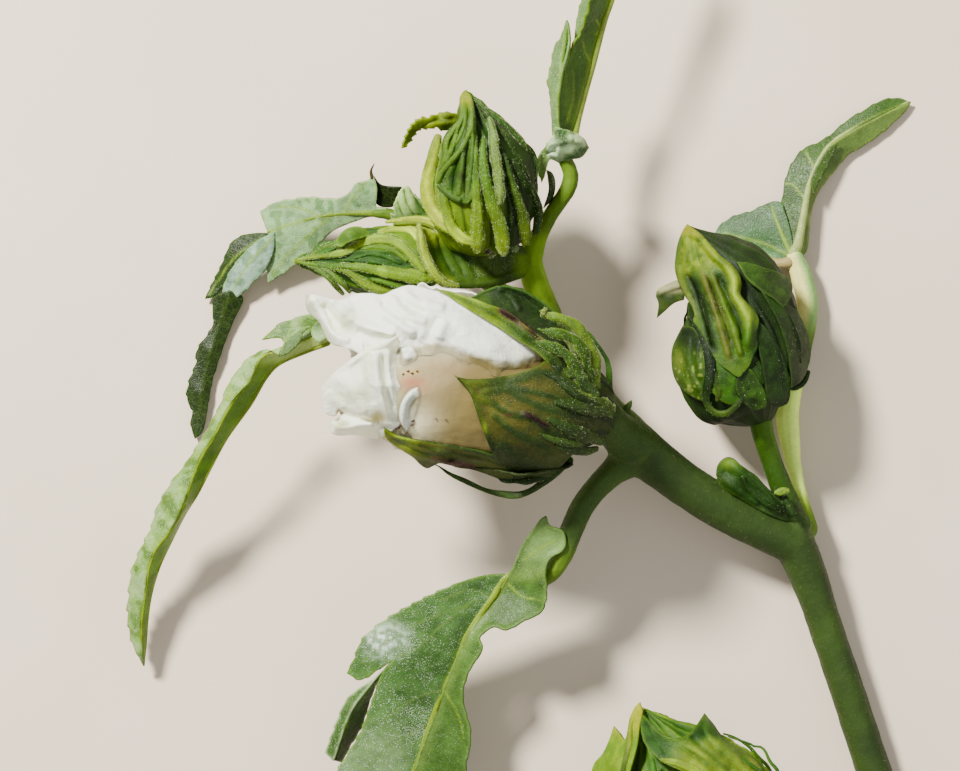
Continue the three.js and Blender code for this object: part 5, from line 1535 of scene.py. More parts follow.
    # little fold at the mouth: crisp on its left, running out into the core on its right
    mouth = [(417, 389.5), (409.5, 395), (404, 403.5), (402, 413), (403, 421), (407.5, 429)]
    m_out = [(417, 384.5), (420.5, 388), (422, 396), (420.5, 407), (417, 418), (412, 428), (406.5, 432), (401, 427), (397.5, 418), (398, 406), (401.5, 397), (408, 388)]

    def sunk(out, depth, run):
        def h(c, r):
            d, _ = near_line(np.stack([c, r], -1), out + [out[0]], 400)
            return cd(c, r) + 0.04 - depth * smooth(run, 0.0, d)
        return h

    def mouth_h(c, r):
        d, t, side = signed_line(np.stack([c, r], -1), mouth)
        do, _ = near_line(np.stack([c, r], -1), m_out + [m_out[0]], 400)
        rise = np.where(side > 0, np.exp(-(d / 1.5) ** 2), smooth(8.5, 0.5, d)) * smooth(-0.02, 0.22, t) * smooth(1.02, 0.7, t)
        crease = np.exp(-((d - 4.6) / 1.2) ** 2) * (side < 0) * smooth(0.15, 0.4, t)
        return sunk(m_out, 0.15, 5.0)(c, r) + (0.8 * rise - 0.08 * crease) * smooth(0.5, 5.0, do)

    def mouth_t(i):
        c, r = i["c"], i["r"]
        d, t, side = signed_line(np.stack([c, r], -1), mouth)
        tn = mix(rgb(226, 234, 208), rgb(244, 247, 230), np.clip(0.5 + 0.7 * i["noise"], 0, 1))
        # painted shade in the crease to the left of the fold
        tn = mix(tn, rgb(210, 218, 182), np.exp(-((d - 4.0) / 1.3) ** 2) * (side < 0) * 0.4)
        k = np.maximum(np.where(side > 0, smooth(1.2, 3.0, d), smooth(3.5, 8.0, d + 0.5 * np.clip(i["noise"], -1, 1))), np.where(side > 0, smooth(3.0, 1.0, i["edge"]), smooth(6.0, 2.5, i["edge"])))
        return mix(tn, core_tint_and_shade(c, r, np.ones(len(c))), k)
    v, f, tint, pale, _ = pad([(c_, r_, 0, 1) if q == 0 else (c_, r_) for q, (c_, r_) in enumerate(m_out)], mouth_h,
                              step=0.85, inner_step=0.85, wave=0.02, crumple=0.04, seed=111, thick=0.06, colour=mouth_t, edge_lift=0.0)
    part.add(v, f, tint=tint, pale=faded(v, tint, 0.6))
    # soft bunched tissue above the mouth
    b_out = [(396, 345), (406, 342), (415, 344.5), (421, 353), (418.5, 362), (411, 367), (401, 367)]
    soft = sunk(b_out, 0.15, 6.0)

    def bunch_h(c, r):
        z = soft(c, r)
        do, _ = near_line(np.stack([c, r], -1), b_out + [b_out[0]], 400)
        for cc, rq, q, k in ((407, 357, 4.6, 0.6), (413, 350, 5.0, 0.45), (404, 350, 4.4, 0.5), (417, 358, 4.0, 0.15), (402, 364, 3.0, 0.12)):
            z = z + k * np.exp(-(((c - cc) / q) ** 2 + ((r - rq) / (q * 0.9)) ** 2)) * smooth(1.0, 6.0, do)
        return z

    def bunch_t(i):
        c, r = i["c"], i["r"]
        tn = mix(rgb(226, 230, 206), rgb(246, 247, 232), np.clip(0.5 + 0.8 * i["noise"], 0, 1))
        tn = mix(tn, rgb(232, 222, 192), smooth(408, 416, c) * 0.7)
        k = np.maximum(smooth(7.5, 3.0, i["edge"]) * np.maximum(smooth(347, 353, r), smooth(410, 416, c)), smooth(356, 364, r + 0.5 * np.abs(c - 407)))
        return mix(tn, core_tint_and_shade(c, r, np.ones(len(c))), k)
    v, f, tint, pale, _ = pad([(c_, r_, 0, 1) if q == 0 else (c_, r_) for q, (c_, r_) in enumerate(b_out)], bunch_h, step=0.95, inner_step=0.95, wave=0.02, crumple=0.06, seed=113, thick=0.06, colour=bunch_t, edge_lift=0.0)
    part.add(v, f, tint=tint, pale=faded(v, tint, 0.6))
    # petals on the sides and the under side, furled round each other
    for k, (a0, half, ln, sd, stick) in enumerate(((-1.0, 0.78, 0.93, 3, 0.4), (-1.6, 0.85, 0.96, 4, 0.0), (-2.3, 0.8, 0.95, 5, 1.4))):
        G, u, s = core.sheet(ln, -0.02, a0, lambda u: half * np.sin(np.clip(0.45 + u * 2.2, 0, 2.75)) ** 0.6, lift=0.3 + 0.2 * k, flare=0.5, wave=0.4, seed=sd, skew=0.15, n=90, m=60, ruffle=0.25)
        # the free end sticks out past the body and crumples
        e = smooth(0.72, 1.0, u)
        axis = unit(at(306, 362, 28.5) - at(372, 364, 28.2))
        G = G + axis * (e * stick * (1.0 + 0.35 * np.sin(s * 5 + sd)))[..., None] + np.array([0, 0, -1.0]) * (e * 0.6)[..., None]
        G = G + normals_of(G) * (0.4 * ridged(G * 0.3, 3, sd + 20) * smooth(0.3, 1, u))[..., None]
        tn = mix(rgb(236, 234, 224), rgb(248, 247, 240), np.clip(0.5 + 0.5 * fbm(G * 0.5, 2, sd), 0, 1))
        tn = mix(tn, rgb(206, 178, 112), smooth(0.35, 0.0, u))
        sheet_part(part, G, tn, 0.16, 1)
    # brown specks at the mouth
    rng = np.random.default_rng(5)
    for cc, rr, q in ((398, 428, 2.2), (401, 426, 1.4), (413, 421, 1.3), (412, 425, 1.1), (407, 433, 1.2), (408, 371, .9), (412, 373, .8), (417, 371, .7), (403, 374, .7), (436, 419, .5), (446, 420, .5)):
        z = float(max(cd(np.array([cc]), np.array([rr]))[0], H2(np.array([cc]), np.array([rr]))[0] if cc < 402 else -9)) + 0.12
        P = even(places([(cc - q, rr + 0.5 * q, z), (cc, rr, z + 0.12), (cc + q, rr - 0.4 * q, z)]), 8)
        v, f, t, a = tube(P, 0.10 * q ** 0.5, 6)
        part.add(v, f, tint=rgb(104, 60, 26), pale=0)
    return build("bloom_petals", part, PETAL_MAT, ["flower_corolla"])


S1_BANDS = [([(458, 379), (470, 382), (485, 382), (507, 382), (525, 378), (540, 373), (556, 376), (574, 388), (592, 402)], 3.4),
            ([(484, 392), (502, 389), (515, 393), (527, 400), (540, 406), (560, 411), (592, 415)], 3.2),
            ([(508, 386), (524, 390), (545, 394), (566, 400), (590, 409)], 2.2),
            ([(470, 394), (490, 402), (507, 411), (527, 417), (542, 425), (560, 436), (580, 443)], 2.9),
            ([(495, 416), (510, 427), (522, 437), (537, 442), (548, 453)], 3.0),
            ([(458, 379), (468, 390), (475, 404), (481, 422), (489, 442), (500, 460), (512, 476)], 3.6),
            ([(500, 446), (512, 454), (524, 462), (540, 466)], 5.0),
            ([(545, 452), (556, 452), (572, 450), (590, 442)], 3.2)]


def band_amount(c, r, bands, grow=1.0):
    p = np.stack([c, r], -1)
    out = np.zeros(len(p))
    for line, w in bands:
        d, t = near_line(p, line)
        out = np.maximum(out, smooth(1.5, 0.35, d / (w * grow)))
    return out


def calyx():
    part = Part()

    def ribs(t, a, p):
        ph = a * 15 / (2 * math.pi) + 0.25 * fbm(p * 0.12, 2, 3)
        return (0.22 * np.cos(ph * 2 * math.pi) + 0.18 * fbm(p * 0.4, 2, 9)) * smooth(0, 0.12, t)
    cup = Body(CUP, ribs)
    v, f, t, a = Body(CUP_BODY, ribs).mesh(90, 170)
    c, r = grid_of(v)
    ph = 0.5 + 0.5 * np.cos((a * 15 / (2 * math.pi) + 0.25 * fbm(v * 0.12, 2, 3)) * 2 * math.pi)
    tn = mix(rgb(96, 112, 34), rgb(58, 82, 30), smooth(0.2, 0.8, ph))
    tn = mix(tn, rgb(108, 132, 62), smooth(0.4, 0.05, t) * 0.8)
    part.add(v, f, tint=tn, pale=0.3)
    cd, kd = dome(CUP), dome(CORE)
    on = spread_max(cd, kd, 0.35, 0.75)

    # front sepal
    def h1(c, r):
        z = on(c, r)
        return z + 0.4 * smooth(500, 455, c)
    o = [(453.5, 375, 0, 1), (462, 378.5), (470, 379.5), (480, 379.5), (492, 378.5), (505, 376), (515, 374), (522, 372), (530, 369.5), (538, 366), (546, 361), (556, 366), (566, 375), (578, 386),
         (590, 396), (599, 408), (602, 420), (598, 431), (590, 440), (580, 448), (571, 455), (562, 464), (551, 474), (540, 479), (526, 478), (512, 480, 0, 1), (505, 472), (498, 463), (493, 453),
         (488, 443), (484, 433), (480, 422), (477, 412), (474, 402), (471, 394), (465, 386), (459, 380)]

    # the front sepal's tan and dark green bands are all kept dark as painted shade, darker still towards the lower
    # right
    def t1(i):
        c, r = i["c"], i["r"]
        k = np.clip(0.5 + 0.6 * i["noise"], 0, 1)
        t = mix(rgb(100, 100, 22), rgb(122, 116, 30), k)
        t = mix(t, rgb(146, 142, 50), np.exp(-(((c - 492) / 20) ** 2 + ((r - 412) / 18) ** 2)) * 0.7)
        # painted shade: darker towards the lower right
        t = mix(t, rgb(96, 108, 32), smooth(524, 566, c + 0.5 * (r - 410)) * 0.8)
        t = mix(t, rgb(84, 100, 34), np.clip(0.1 + 0.9 * fbm(i["P"] * 0.9, 3, 61), 0, 1) * 0.55)
        b = band_amount(c + 2.4 * i["noise"], r + 2.0 * fbm(i["P"] * 0.7, 2, 62), S1_BANDS, 1.35)
        t = mix(t, mix(rgb(58, 84, 22), rgb(74, 100, 28), k), b * 0.85)
        t = mix(t, mix(rgb(92, 112, 22), rgb(106, 124, 30), k), b * 0.8 * np.exp(-(((c - 484) / 30) ** 2 + ((r - 392) / 20) ** 2)))
        t = mix(t, mix(rgb(120, 130, 28), rgb(138, 148, 42), k), b * 0.9 * smooth(438, 424, r) * smooth(497, 484, c - 0.1 * (r - 400)))
        t = mix(t, rgb(60, 84, 26), np.exp(-(((c - 502) / 10) ** 2 + ((r - 444) / 7) ** 2)) * 0.55)
        t = mix(t, rgb(52, 74, 24), np.exp(-(((c - 518) / 13) ** 2 + ((r - 463) / 9) ** 2)) * 0.5)
        t = mix(t, rgb(124, 130, 40), np.exp(-(((c - 560) / 15) ** 2 + ((r - 454) / 9) ** 2)) * 0.75)
        t = mix(t, rgb(94, 112, 48), np.exp(-(((c - 584) / 16) ** 2 + ((r - 434) / 8) ** 2)) * 0.6)
        t = mix(t, rgb(146, 168, 44), np.exp(-(i["edge"] / 1.7) ** 2) * 0.7 * smooth(496, 512, c) * smooth(556, 544, c) * smooth(396, 384, r))
        t = mix(t, rgb(186, 204, 50), np.exp(-(((c - 484) / 3.0) ** 2 + ((r - 427) / 6) ** 2)) * 0.8)
        t = mix(t, rgb(92, 118, 40), np.exp(-(i["edge"] / 1.3) ** 2) * 0.6)
        t = mix(t, rgb(70, 96, 30), smooth(458, 478, r + 0.3 * (c - 540)) * 0.6)
        d, tt = near_line(np.stack([c, r], -1), [(524, 414), (534, 418), (547, 427)])
        t = mix(t, rgb(64, 54, 48), np.exp(-(d / 2.6) ** 2) * 0.8)
        t = mix(t, rgb(140, 84, 60), np.exp(-(((c - 508) / 5) ** 2 + ((r - 414.5) / 1.6) ** 2)) * 0.7)
        return t, mix(rgb(120, 128, 50), rgb(90, 120, 48), k)
    v, f, tint, pale, raw = pad(o, h1, step=1.3, inner_step=1.5, wave=0.1, seed=121, thick=0.34, colour=t1, edge_lift=0.15,
                                veins=[(b, w, w, 0.16) for b, w in S1_BANDS] + [([(524, 414), (534, 418), (547, 427)], 2.4, 2.4, 0.25)])
    part.add(v, f, tint=tint, pale=0.25 * pale)
    FUZZ.append((raw[0], raw[1], raw[2], 7))

    # lower sepal
    H2 = plate([(384, 428, 33.4), (412, 439, 32.8), (440, 443, 32.4), (480, 451, 32.0), (500, 462, 30.4), (512, 476, 27.6), (427, 466, 27.2), (397, 445, 30.2), (462, 466, 27.6), (490, 474, 26.8), (440, 455, 31.4), (412, 447, 31.8)])
    o = [(384, 428, 0, 1), (392, 433), (400, 436.5), (412, 439), (425, 440.5), (440, 443), (455, 445.5), (468, 448), (480, 451), (492, 455), (502, 462), (514, 476), (505, 479), (494, 476), (484, 472),
         (474, 468.5), (462, 466), (450, 464), (440, 462), (433, 465), (427, 467), (420, 463), (413, 456), (405, 451), (397, 446), (389, 440), (385, 434)]

    def t2(i):
        c, r = i["c"], i["r"]
        k = np.clip(0.5 + 0.6 * i["noise"], 0, 1)
        t = mix(rgb(156, 170, 14), rgb(180, 190, 26), k)
        t = mix(t, rgb(108, 120, 36), smooth(404, 446, c + 1.0 * (r - 448)) * 0.92)
        p = np.stack([c, r], -1)
        d, _ = near_line(p, [(420, 444), (450, 450), (480, 458), (500, 466)])
        t = mix(t, rgb(136, 130, 58), np.exp(-(d / 2.2) ** 2) * 0.75)
        for line in ([(396, 438), (430, 447), (470, 455), (500, 464)], [(392, 437), (420, 451), (445, 455)]):
            d, _ = near_line(p, line)
            t = mix(t, rgb(60, 98, 32), np.exp(-(d / 1.3) ** 2) * 0.6)
        d, _ = near_line(p, [(434, 457), (448, 461), (462, 464), (476, 468)])
        t = mix(t, rgb(128, 78, 62), np.exp(-(d / 2.4) ** 2) * 0.85)
        t = mix(t, mix(rgb(178, 194, 30), rgb(50, 74, 24), smooth(404, 428, c)), np.exp(-(i["edge"] / 1.4) ** 2) * 0.8)
        return t, mix(rgb(110, 140, 50), rgb(90, 120, 48), k)
    v, f, tint, pale, raw = pad(o, folded(H2, [([(394, 434), (430, 443.5), (480, 452)], 0.35, 2.2, 2.2), ([(392, 437), (430, 448), (470, 457), (500, 466)], 0.4, 2.4, 2.4),
                                               ([(400, 445), (420, 455), (440, 459), (470, 466)], 0.4, 2.2, 2.2)]), step=1.2, inner_step=1.3, wave=0.08, seed=123, thick=0.34, colour=t2)
    part.add(v, f, tint=tint, pale=0.4 * pale)
    FUZZ.append((raw[0], raw[1], raw[2], 5))

    # upper sepal: a bright band that turns its hairy side up
    H4 = plate([(438, 289, 33.4), (462, 297, 34.6), (488, 308, 35.6), (525, 333, 36.2), (552, 352, 36.2), (580, 380, 34.4), (590, 392, 33.2), (478, 314, 35.0), (512, 336, 35.6), (545, 361, 35.8), (500, 311, 35.2),
                (540, 337, 35.2), (566, 358, 34.6)])
    o = [(437, 289, 0, 1), (445, 290), (452, 292), (464, 296), (476, 300), (488, 305), (500, 309), (512, 316), (525, 326), (538, 335), (551, 344), (561, 354), (570, 365), (576, 377, 0, 1), (566, 377),
         (556, 370), (549, 364), (545, 360), (536, 352), (524, 344), (510, 335), (496, 326), (484, 318), (470, 310), (458, 302), (448, 295)]

    def t4(i):
        c, r = i["c"], i["r"]
        k = np.clip(0.5 + 0.6 * i["noise"], 0, 1)
        t = mix(rgb(134, 158, 30), rgb(166, 186, 44), k)
        t = mix(t, rgb(92, 118, 28), smooth(490, 520, c) * 0.85)
        p = np.stack([c, r], -1)
        d, _ = near_line(p, [(497, 309), (510, 316), (524, 325), (536, 334), (548, 343)])
        t = mix(t, rgb(122, 62, 58), np.exp(-(d / 3.4) ** 2) * 0.9 * smooth(492, 502, c) * smooth(550, 536, c))
        d, _ = near_line(p, [(450, 293), (480, 306), (505, 321), (530, 340), (556, 362)])
        t = mix(t, rgb(64, 104, 34), np.exp(-(d / 1.8) ** 2) * 0.5)
        t = mix(t, rgb(186, 206, 92), np.exp(-(i["edge"] / 1.4) ** 2) * 0.5)
        return t, mix(rgb(110, 140, 50), rgb(90, 120, 48), k)
    v, f, tint, pale, raw = pad(o, folded(H4, [([(446, 291), (480, 304), (512, 322), (540, 345), (566, 370)], 0.5, 4, 4), ([(500, 309), (524, 326), (548, 344)], 0.3, 2, 2)]), step=1.2, inner_step=1.3,
                                wave=0.1, seed=125, thick=0.4, colour=t4)
    part.add(v, f, tint=tint, pale=0.6 * pale)
    FUZZ.append((raw[0], raw[1], raw[2], 24))

    # back sepal, standing off, with its inner side to the eye painted dark as shade and its rim painted light
    H3 = plate([(484, 294, 31.6), (500, 286, 31.2), (524, 291, 30.8), (550, 307, 30.2), (563, 323, 29.8), (572, 348, 29.6), (586, 376, 29.0), (512, 318, 33.4), (538, 336, 33.8), (560, 354, 33.0), (530, 308, 31.0), (545, 322, 31.0)])
    o = [(470, 299, 0, 1), (482, 292), (497, 286, 0, 1), (507, 286), (515, 288), (524, 291), (532, 295), (542, 301), (550, 307.5), (557, 315), (563, 323), (567, 335), (573, 349), (581, 363), (588, 380, 0, 1),
         (572, 368), (556, 355), (538, 340), (512, 322), (498, 313), (484, 304)]

    def t3(i):
        c, r = i["c"], i["r"]
        k = np.clip(0.5 + 0.6 * i["noise"], 0, 1)
        t = mix(rgb(48, 72, 16), rgb(64, 92, 26), k)
        t = mix(t, rgb(120, 144, 44), smooth(496, 482, c) * 0.6)
        # painted light on the rim
        return mix(t, rgb(104, 140, 54), np.exp(-(i["edge"] / 1.6) ** 2) * 0.6), mix(rgb(104, 140, 52), rgb(130, 160, 64), k)
    v, f, tint, pale, raw = pad(o, folded(H3, [([(500, 290), (528, 302), (552, 322)], -0.6, 5, 5), ([(498, 288), (512, 297), (520, 312)], 0.4, 2, 2)]), step=1.4, wave=0.15, seed=127, thick=0.36, colour=t3,
                                edge_lift=0.5)
    part.add(v, f, tint=tint, pale=0.2 * pale)

    # outer whorl of narrow strips
    def strip(rows, r0, r1, tint, flat=0.5, tip=0.25, fuzz=7, n=70, rimk=0.45):
        P = even(places(rows), n)
        u = np.linspace(0, 1, n)
        R = (r0 + (r1 - r0) * u) * (0.86 + 0.14 * np.sin(u * 21 + rows[0][0]))
        R = R * np.clip(u / 0.12, tip, 1)
        v, f, t, a = tube(P, R, 14, flat=flat)
        tt = mix(np.asarray(tint), np.asarray(tint) * 0.7, 0.5 + 0.5 * np.sin(t * 40 + a * 2))
        tt = mix(tt, rgb(176, 194, 92), smooth(0.7, 1.0, np.abs(np.cos(a))) * rimk)
        part.add(v, f, tint=tt, pale=0.5)
        V, T = tri_arrays([(v, f)])
        FUZZ.append((V, T, None, fuzz))
    green, bright = rgb(104, 136, 24), rgb(154, 180, 56)
    strip([(541, 311, 34.2), (551, 316, 34.8), (563, 319, 34.8), (575, 325, 34.2), (585, 337, 33.4), (592, 351, 32.6), (596, 366, 31.6), (595, 382, 30.4), (591, 398, 29.0)], 0.75, 1.1, bright, fuzz=16)
    strip([(547, 308, 34.6), (544, 311, 35.0), (543, 315, 34.8), (546, 317, 34.4)], 0.32, 0.42, rgb(170, 180, 96), fuzz=16)
    strip([(538, 329, 36.0), (550, 332, 36.0), (564, 335, 35.6), (576, 341, 34.8), (584, 353, 33.8), (588, 368, 32.6), (590, 384, 31.2), (588, 398, 30.0)], 0.7, 1.1, rgb(112, 144, 28), fuzz=16)
    strip([(536, 342, 37.0), (550, 346, 36.9), (564, 353, 36.3), (574, 364, 35.4), (580, 377, 34.6), (583, 388, 33.8)], 0.7, 1.05, green, fuzz=18)
    strip([(556, 316, 32.0), (562, 330, 31.6), (568, 342, 31.2), (578, 356, 30.8)], 0.35, 0.5, rgb(150, 164, 90), fuzz=4)
    strip([(559, 352, 34.6), (568, 358, 34.6), (580, 368, 33.6), (588, 380, 32.6), (592, 394, 31.4)], 0.55, 0.8, rgb(108, 136, 30), fuzz=18)
    strip([(573, 384, 35.2), (577, 391, 34.9), (584, 396, 34.2), (595, 400, 32.8), (606, 404, 30.6), (610, 410, 29.0), (604, 418, 28.6)], 0.45, 1.05, rgb(132, 158, 50), fuzz=16)
    strip([(430, 464, 27.2), (438, 466, 26.6), (450, 474, 25.8), (465, 481, 25.2), (485, 490, 24.6), (502, 494, 24.4), (518, 495, 24.6), (532, 490, 25.0), (543, 482, 25.4), (553, 474, 25.8), (570, 460, 25.6)], 0.24, 0.8,
          rgb(98, 122, 44), rimk=0.15)
    strip([(494, 476, 26.4), (505, 480, 26.6), (518, 481, 26.8), (530, 481, 26.8), (542, 477, 26.6), (556, 468, 26.2)], 0.4, 0.66, rgb(72, 96, 32), rimk=0.05)
    # finger-like lobes that lie on the right of the cup
    cup_top = dome(CUP)

    def skin(c, r):
        return np.maximum(cup_top(c, r), 21.0)
    dark, olive = rgb(82, 106, 32), rgb(112, 136, 50)
    for rows, tn in (([(556, 402, 5), (566, 403.5, 10), (577, 406, 13.5), (592, 409, 14), (605, 411, 12), (612, 413, 8)], [dark, rgb(88, 112, 40), rgb(96, 118, 50), olive]), ([(548, 419, 4), (558, 423, 9), (570, 430, 13), (584, 435, 13.5), (596, 439, 11), (602, 443, 6)], [dark, rgb(72, 96, 32), olive]),
                     ([(556, 445, 4), (566, 448, 8.5), (576, 450, 10), (588, 451, 9), (597, 449, 6)], [dark, rgb(76, 100, 34), olive]), ([(569, 372, 4), (578, 378, 8.5), (588, 387, 10.5), (596, 395, 9)], [dark, rgb(70, 94, 32), olive]),
                     ([(546, 374, 3), (556, 378, 6), (568, 388, 8), (582, 398, 8), (594, 404, 6)], [rgb(66, 90, 30), rgb(84, 108, 38)]), ([(540, 434, 3), (550, 438, 6), (564, 442, 8), (580, 444, 7)], [dark, olive])):
        lay(part, skin, rows, 0.75, 0.5, tn, fuzz=5)
    # hairy young tissue between the strips
    H5 = plate([(548, 348, 36.0), (562, 356, 35.2), (574, 370, 34.0), (560, 372, 35.4), (552, 360, 36.0), (582, 384, 33.0)])
    piece(part, [(545, 349, 0, 1), (556, 349), (568, 358), (578, 371), (586, 388, 0, 1), (574, 386), (562, 378), (552, 366)], H5, (rgb(64, 88, 28), rgb(84, 108, 36)), fuzz=14, seed=129, thick=0.3, wave=0.3, pucker=0.15)
    # the same whorl goes on round the under side
    for k, (a0, ln, bow) in enumerate(((-0.55, 0.62, 2.6), (-1.1, 0.7, 2.2), (-1.65, 0.66, 2.4), (-2.25, 0.7, 2.0), (-2.8, 0.6, 2.6))):
        u = np.linspace(0, 1, 40)
        tt = 0.1 + ln * u
        p, nrm = cup.point(tt, a0 + 0.22 * np.sin(u * 3 + k), 0.5)
        p = p + nrm * (bow * np.sin(u * math.pi) ** 1.5)[:, None]
        R = 0.75 * (1 - 0.75 * u)
        v, f, t, a = tube(p, R, 12, flat=0.5, ups=nrm)
        part.add(v, f, tint=mix(rgb(108, 146, 50), rgb(84, 120, 44), 0.5 + 0.5 * np.sin(t * 30)) * (0.5 if k == 4 else 1.0), pale=0.5)
        V, T = tri_arrays([(v, f)])
        FUZZ.append((V, T, None, 6))
    # sepals on the under side
    both = Body([(600, 417, 22.6, 30, 4.6), (576, 408, 24.5, 56, 8.3), (556, 403, 25.6, 68, 9.7), (530, 397, 26.7, 75, 10.4), (505, 392, 27.2, 76, 10.2), (480, 386, 27.6, 77, 10.0), (452, 377, 28.0, 78, 9.8),
                 (425, 371, 28.3, 76, 9.6), (402, 367, 28.3, 71, 9.0), (384, 364, 28.2, 60, 7.8)])
    for k, (a0, ln) in enumerate(((-0.75, 0.78), (-1.9, 0.84), (-2.95, 0.7))):
        G, u, s = both.sheet(0.1, ln, a0, lambda u: 0.66 * (1 - u ** 1.6) + 0.015, lift=0.35, wave=0.22, seed=140 + k, n=90, m=44, ruffle=0.2, flare=0.3, curl=0.3)
        ph = 0.5 + 0.5 * np.cos(s * 3 * math.pi + 0.8 * fbm(G * 0.3, 2, k))
        G = G + normals_of(G) * (0.14 * ph)[..., None]
        tn = mix(rgb(150, 136, 60), rgb(60, 98, 42), smooth(0.3, 0.7, ph))
        tn = mix(tn, rgb(64, 92, 30) if k == 2 else rgb(110, 150, 50), smooth(0.75, 1.0, np.abs(s)) * 0.8)
        tn = mix(tn, rgb(112, 62, 56), np.exp(-((s / 0.12) ** 2 + ((u - 0.45) / 0.1) ** 2)) * 0.9)
        sheet_part(part, G, tn, 0.34, 0.4)
        V, T = tri_arrays([(G.reshape(-1, 3), [grid_faces(90, 44)])])
        FUZZ.append((V, T, "out", 3))
    return build("calyx", part, CALYX_MAT, ["flower_calyx"])


FUZZ = []       # surfaces with short soft hairs
HAIRS_LONG = []  # places, directions and length of long hairs
PETAL_MAT = petal_material()
CALYX_MAT = plant("sepal_tissue", rough=(0.48, 0.7), spread=0.34, grain=1.2, cells=4.6, cell_bump=0.55, net=0.05, speck=0.4, dots_scale=5.0, sss=0.05, sss_radius=(0.4, 0.8, 0.12), sheen=0.0, spec=0.15)


def fuzz():
    part = Part()
    rng = np.random.default_rng(23)
    for V, T, N, per in FUZZ:
        a, b, c = V[T[:, 0]], V[T[:, 1]], V[T[:, 2]]
        cr = np.cross(b - a, c - a)
        area = 0.5 * np.linalg.norm(cr, axis=1).sum()
        n = max(int(area * per), 4)
        p, nn = scatter(V, T, n, rng)
        if isinstance(N, str):
            mid = V.mean(0)
            nn = np.where((np.einsum("ij,ij->i", nn, p - mid) < 0)[:, None], -nn, nn)
        shade = value_noise(p * 0.9, 31)
        # about a fifth of the hairs are painted near white as painted glints
        tn = mix(mix(rgb(156, 178, 84), rgb(202, 216, 140), np.clip(0.5 + shade, 0, 1)), rgb(240, 244, 220), (rng.random(n) < 0.22) * 0.9)
        spikes(part, p + nn * 0.10, nn, 0.10, 0.021, rng, lean=0.4, tint=tn)
    build("fine_hairs", part, HAIR_FINE)
    # brown hairy glands along the middle of the sepals, all of one colour
    part = Part()
    for rows, z, w, n in (([(500, 310), (510, 316), (522, 324), (534, 332)], 36.4, 2.2, 800), ([(525, 414), (534, 418), (546, 426)], None, 1.8, 420), ([(436, 458), (448, 461), (462, 464), (474, 467)], 30.4, 2.2, 620)):
        q = curve(np.asarray(rows, float), rng.random(n)) + rng.normal(size=(n, 2)) * w * 0.5
        zz = dome(CUP)(q[:, 0], q[:, 1]) + 0.8 if z is None else np.full(n, z) - 0.25 * rng.random(n)
        p = at(q[:, 0], q[:, 1], zz)
        spikes(part, p, np.tile([0.0, 0.1, 1.0], (n, 1)), 0.5, 0.028, rng, lean=0.8, tint=rgb(104, 52, 44))
    return build("gland_hairs", part, HAIR_FINE)


HAIR_FINE = hair_material("fine_hair")


def stem_hairs(mesh):
    """Short soft hairs along the stems and stalks."""
    part = Part()
    rng = np.random.default_rng(41)
    V, Q, lime = mesh
    T = np.vstack([Q[:, :3], Q[:, [0, 2, 3]]])
    a, b, c = V[T[:, 0]], V[T[:, 1]], V[T[:, 2]]
    area = 0.5 * np.linalg.norm(np.cross(b - a, c - a), axis=1).sum()
    p, nn = scatter(V, T, int(area * 2.6), rng)
    patch = value_noise(p * 0.5, 8)
    keep = rng.random(len(p)) < 0.55 + 0.6 * patch
    p, nn = p[keep], nn[keep]
    spikes(part, p + nn * 0.02, nn, 0.34, 0.013, rng, lean=0.7, tint=mix(rgb(138, 154, 96), rgb(186, 198, 140), rng.random(len(p))))
    # long soft hairs on the young shoot
    for q, d, ln in HAIRS_LONG:
        spikes(part, q, d, ln, 0.011, rng, lean=1.1, tint=rgb(206, 210, 178), bend=0.3)
    return build("stem_hairs", part, HAIR_FINE)


# ================================================================= buds
def bud_relief(amp=1.0, n=5, seed=0, calm=0.6, turn=0.0):
    def f(t, a, p):
        up = np.sin(a)
        quiet = 1 - calm * smooth(0.0, 0.6, up)
        ph = a * n / (2 * math.pi) + 0.12 * np.sin(t * 9 + seed) + turn
        f_ = ph - np.floor(ph)
        seam = np.minimum(f_, 1 - f_)
        body = smooth(0.0, 0.15, t) * smooth(1.0, 0.86, t)
        wavy = 0.65 + 0.35 * np.sin(t * 26 + seed + 3 * np.floor(ph))
        h = 1.0 * np.exp(-(seam / 0.075) ** 2) * wavy
        h = h + 0.5 * np.exp(-((f_ - 0.5) / 0.06) ** 2) + 0.28 * np.exp(-((f_ - 0.27) / 0.05) ** 2) + 0.28 * np.exp(-((f_ - 0.73) / 0.05) ** 2)
        h = h - 0.25 + 0.22 * fbm(p * 0.45, 3, seed + 2)
        return amp * h * body * quiet
    return f


def bud_paint(v, t, a, n=5, seed=0, deep=DEEP, mid=GREEN, crest=LIME, turn=0.0, calm=0.6, foot=LIME):
    ph = a * n / (2 * math.pi) + 0.12 * np.sin(t * 9 + seed) + turn
    f_ = ph - np.floor(ph)
    seam = np.minimum(f_, 1 - f_)
    up = smooth(0.0, 0.6, np.sin(a))
    tn = mix(deep, mid, np.clip(0.45 + 0.5 * fbm(v * 0.5, 3, seed), 0, 1))
    rib = np.maximum(np.exp(-((f_ - 0.5) / 0.05) ** 2), 0.7 * np.exp(-((np.abs(f_ - 0.5) - 0.23) / 0.04) ** 2))
    tn = mix(tn, mix(mid, crest, 0.5), rib * (1 - calm * up))
    tn = mix(tn, crest, np.exp(-(seam / 0.05) ** 2) * (0.9 - calm * up))
    tn = mix(tn, foot, smooth(0.16, 0.02, t) * 0.6)
    return mix(tn, rgb(176, 188, 34), smooth(0.93, 1.0, t))


def along_tint(tint, t):
    """One colour, or a list of colours from the start to the end."""
    if isinstance(tint, (list, tuple)):
        x = np.linspace(0, 1, len(tint))
        return np.stack([np.interp(t, x, [c[i] for c in tint]) for i in range(3)], -1)
    return np.broadcast_to(np.asarray(tint), (len(t), 3))


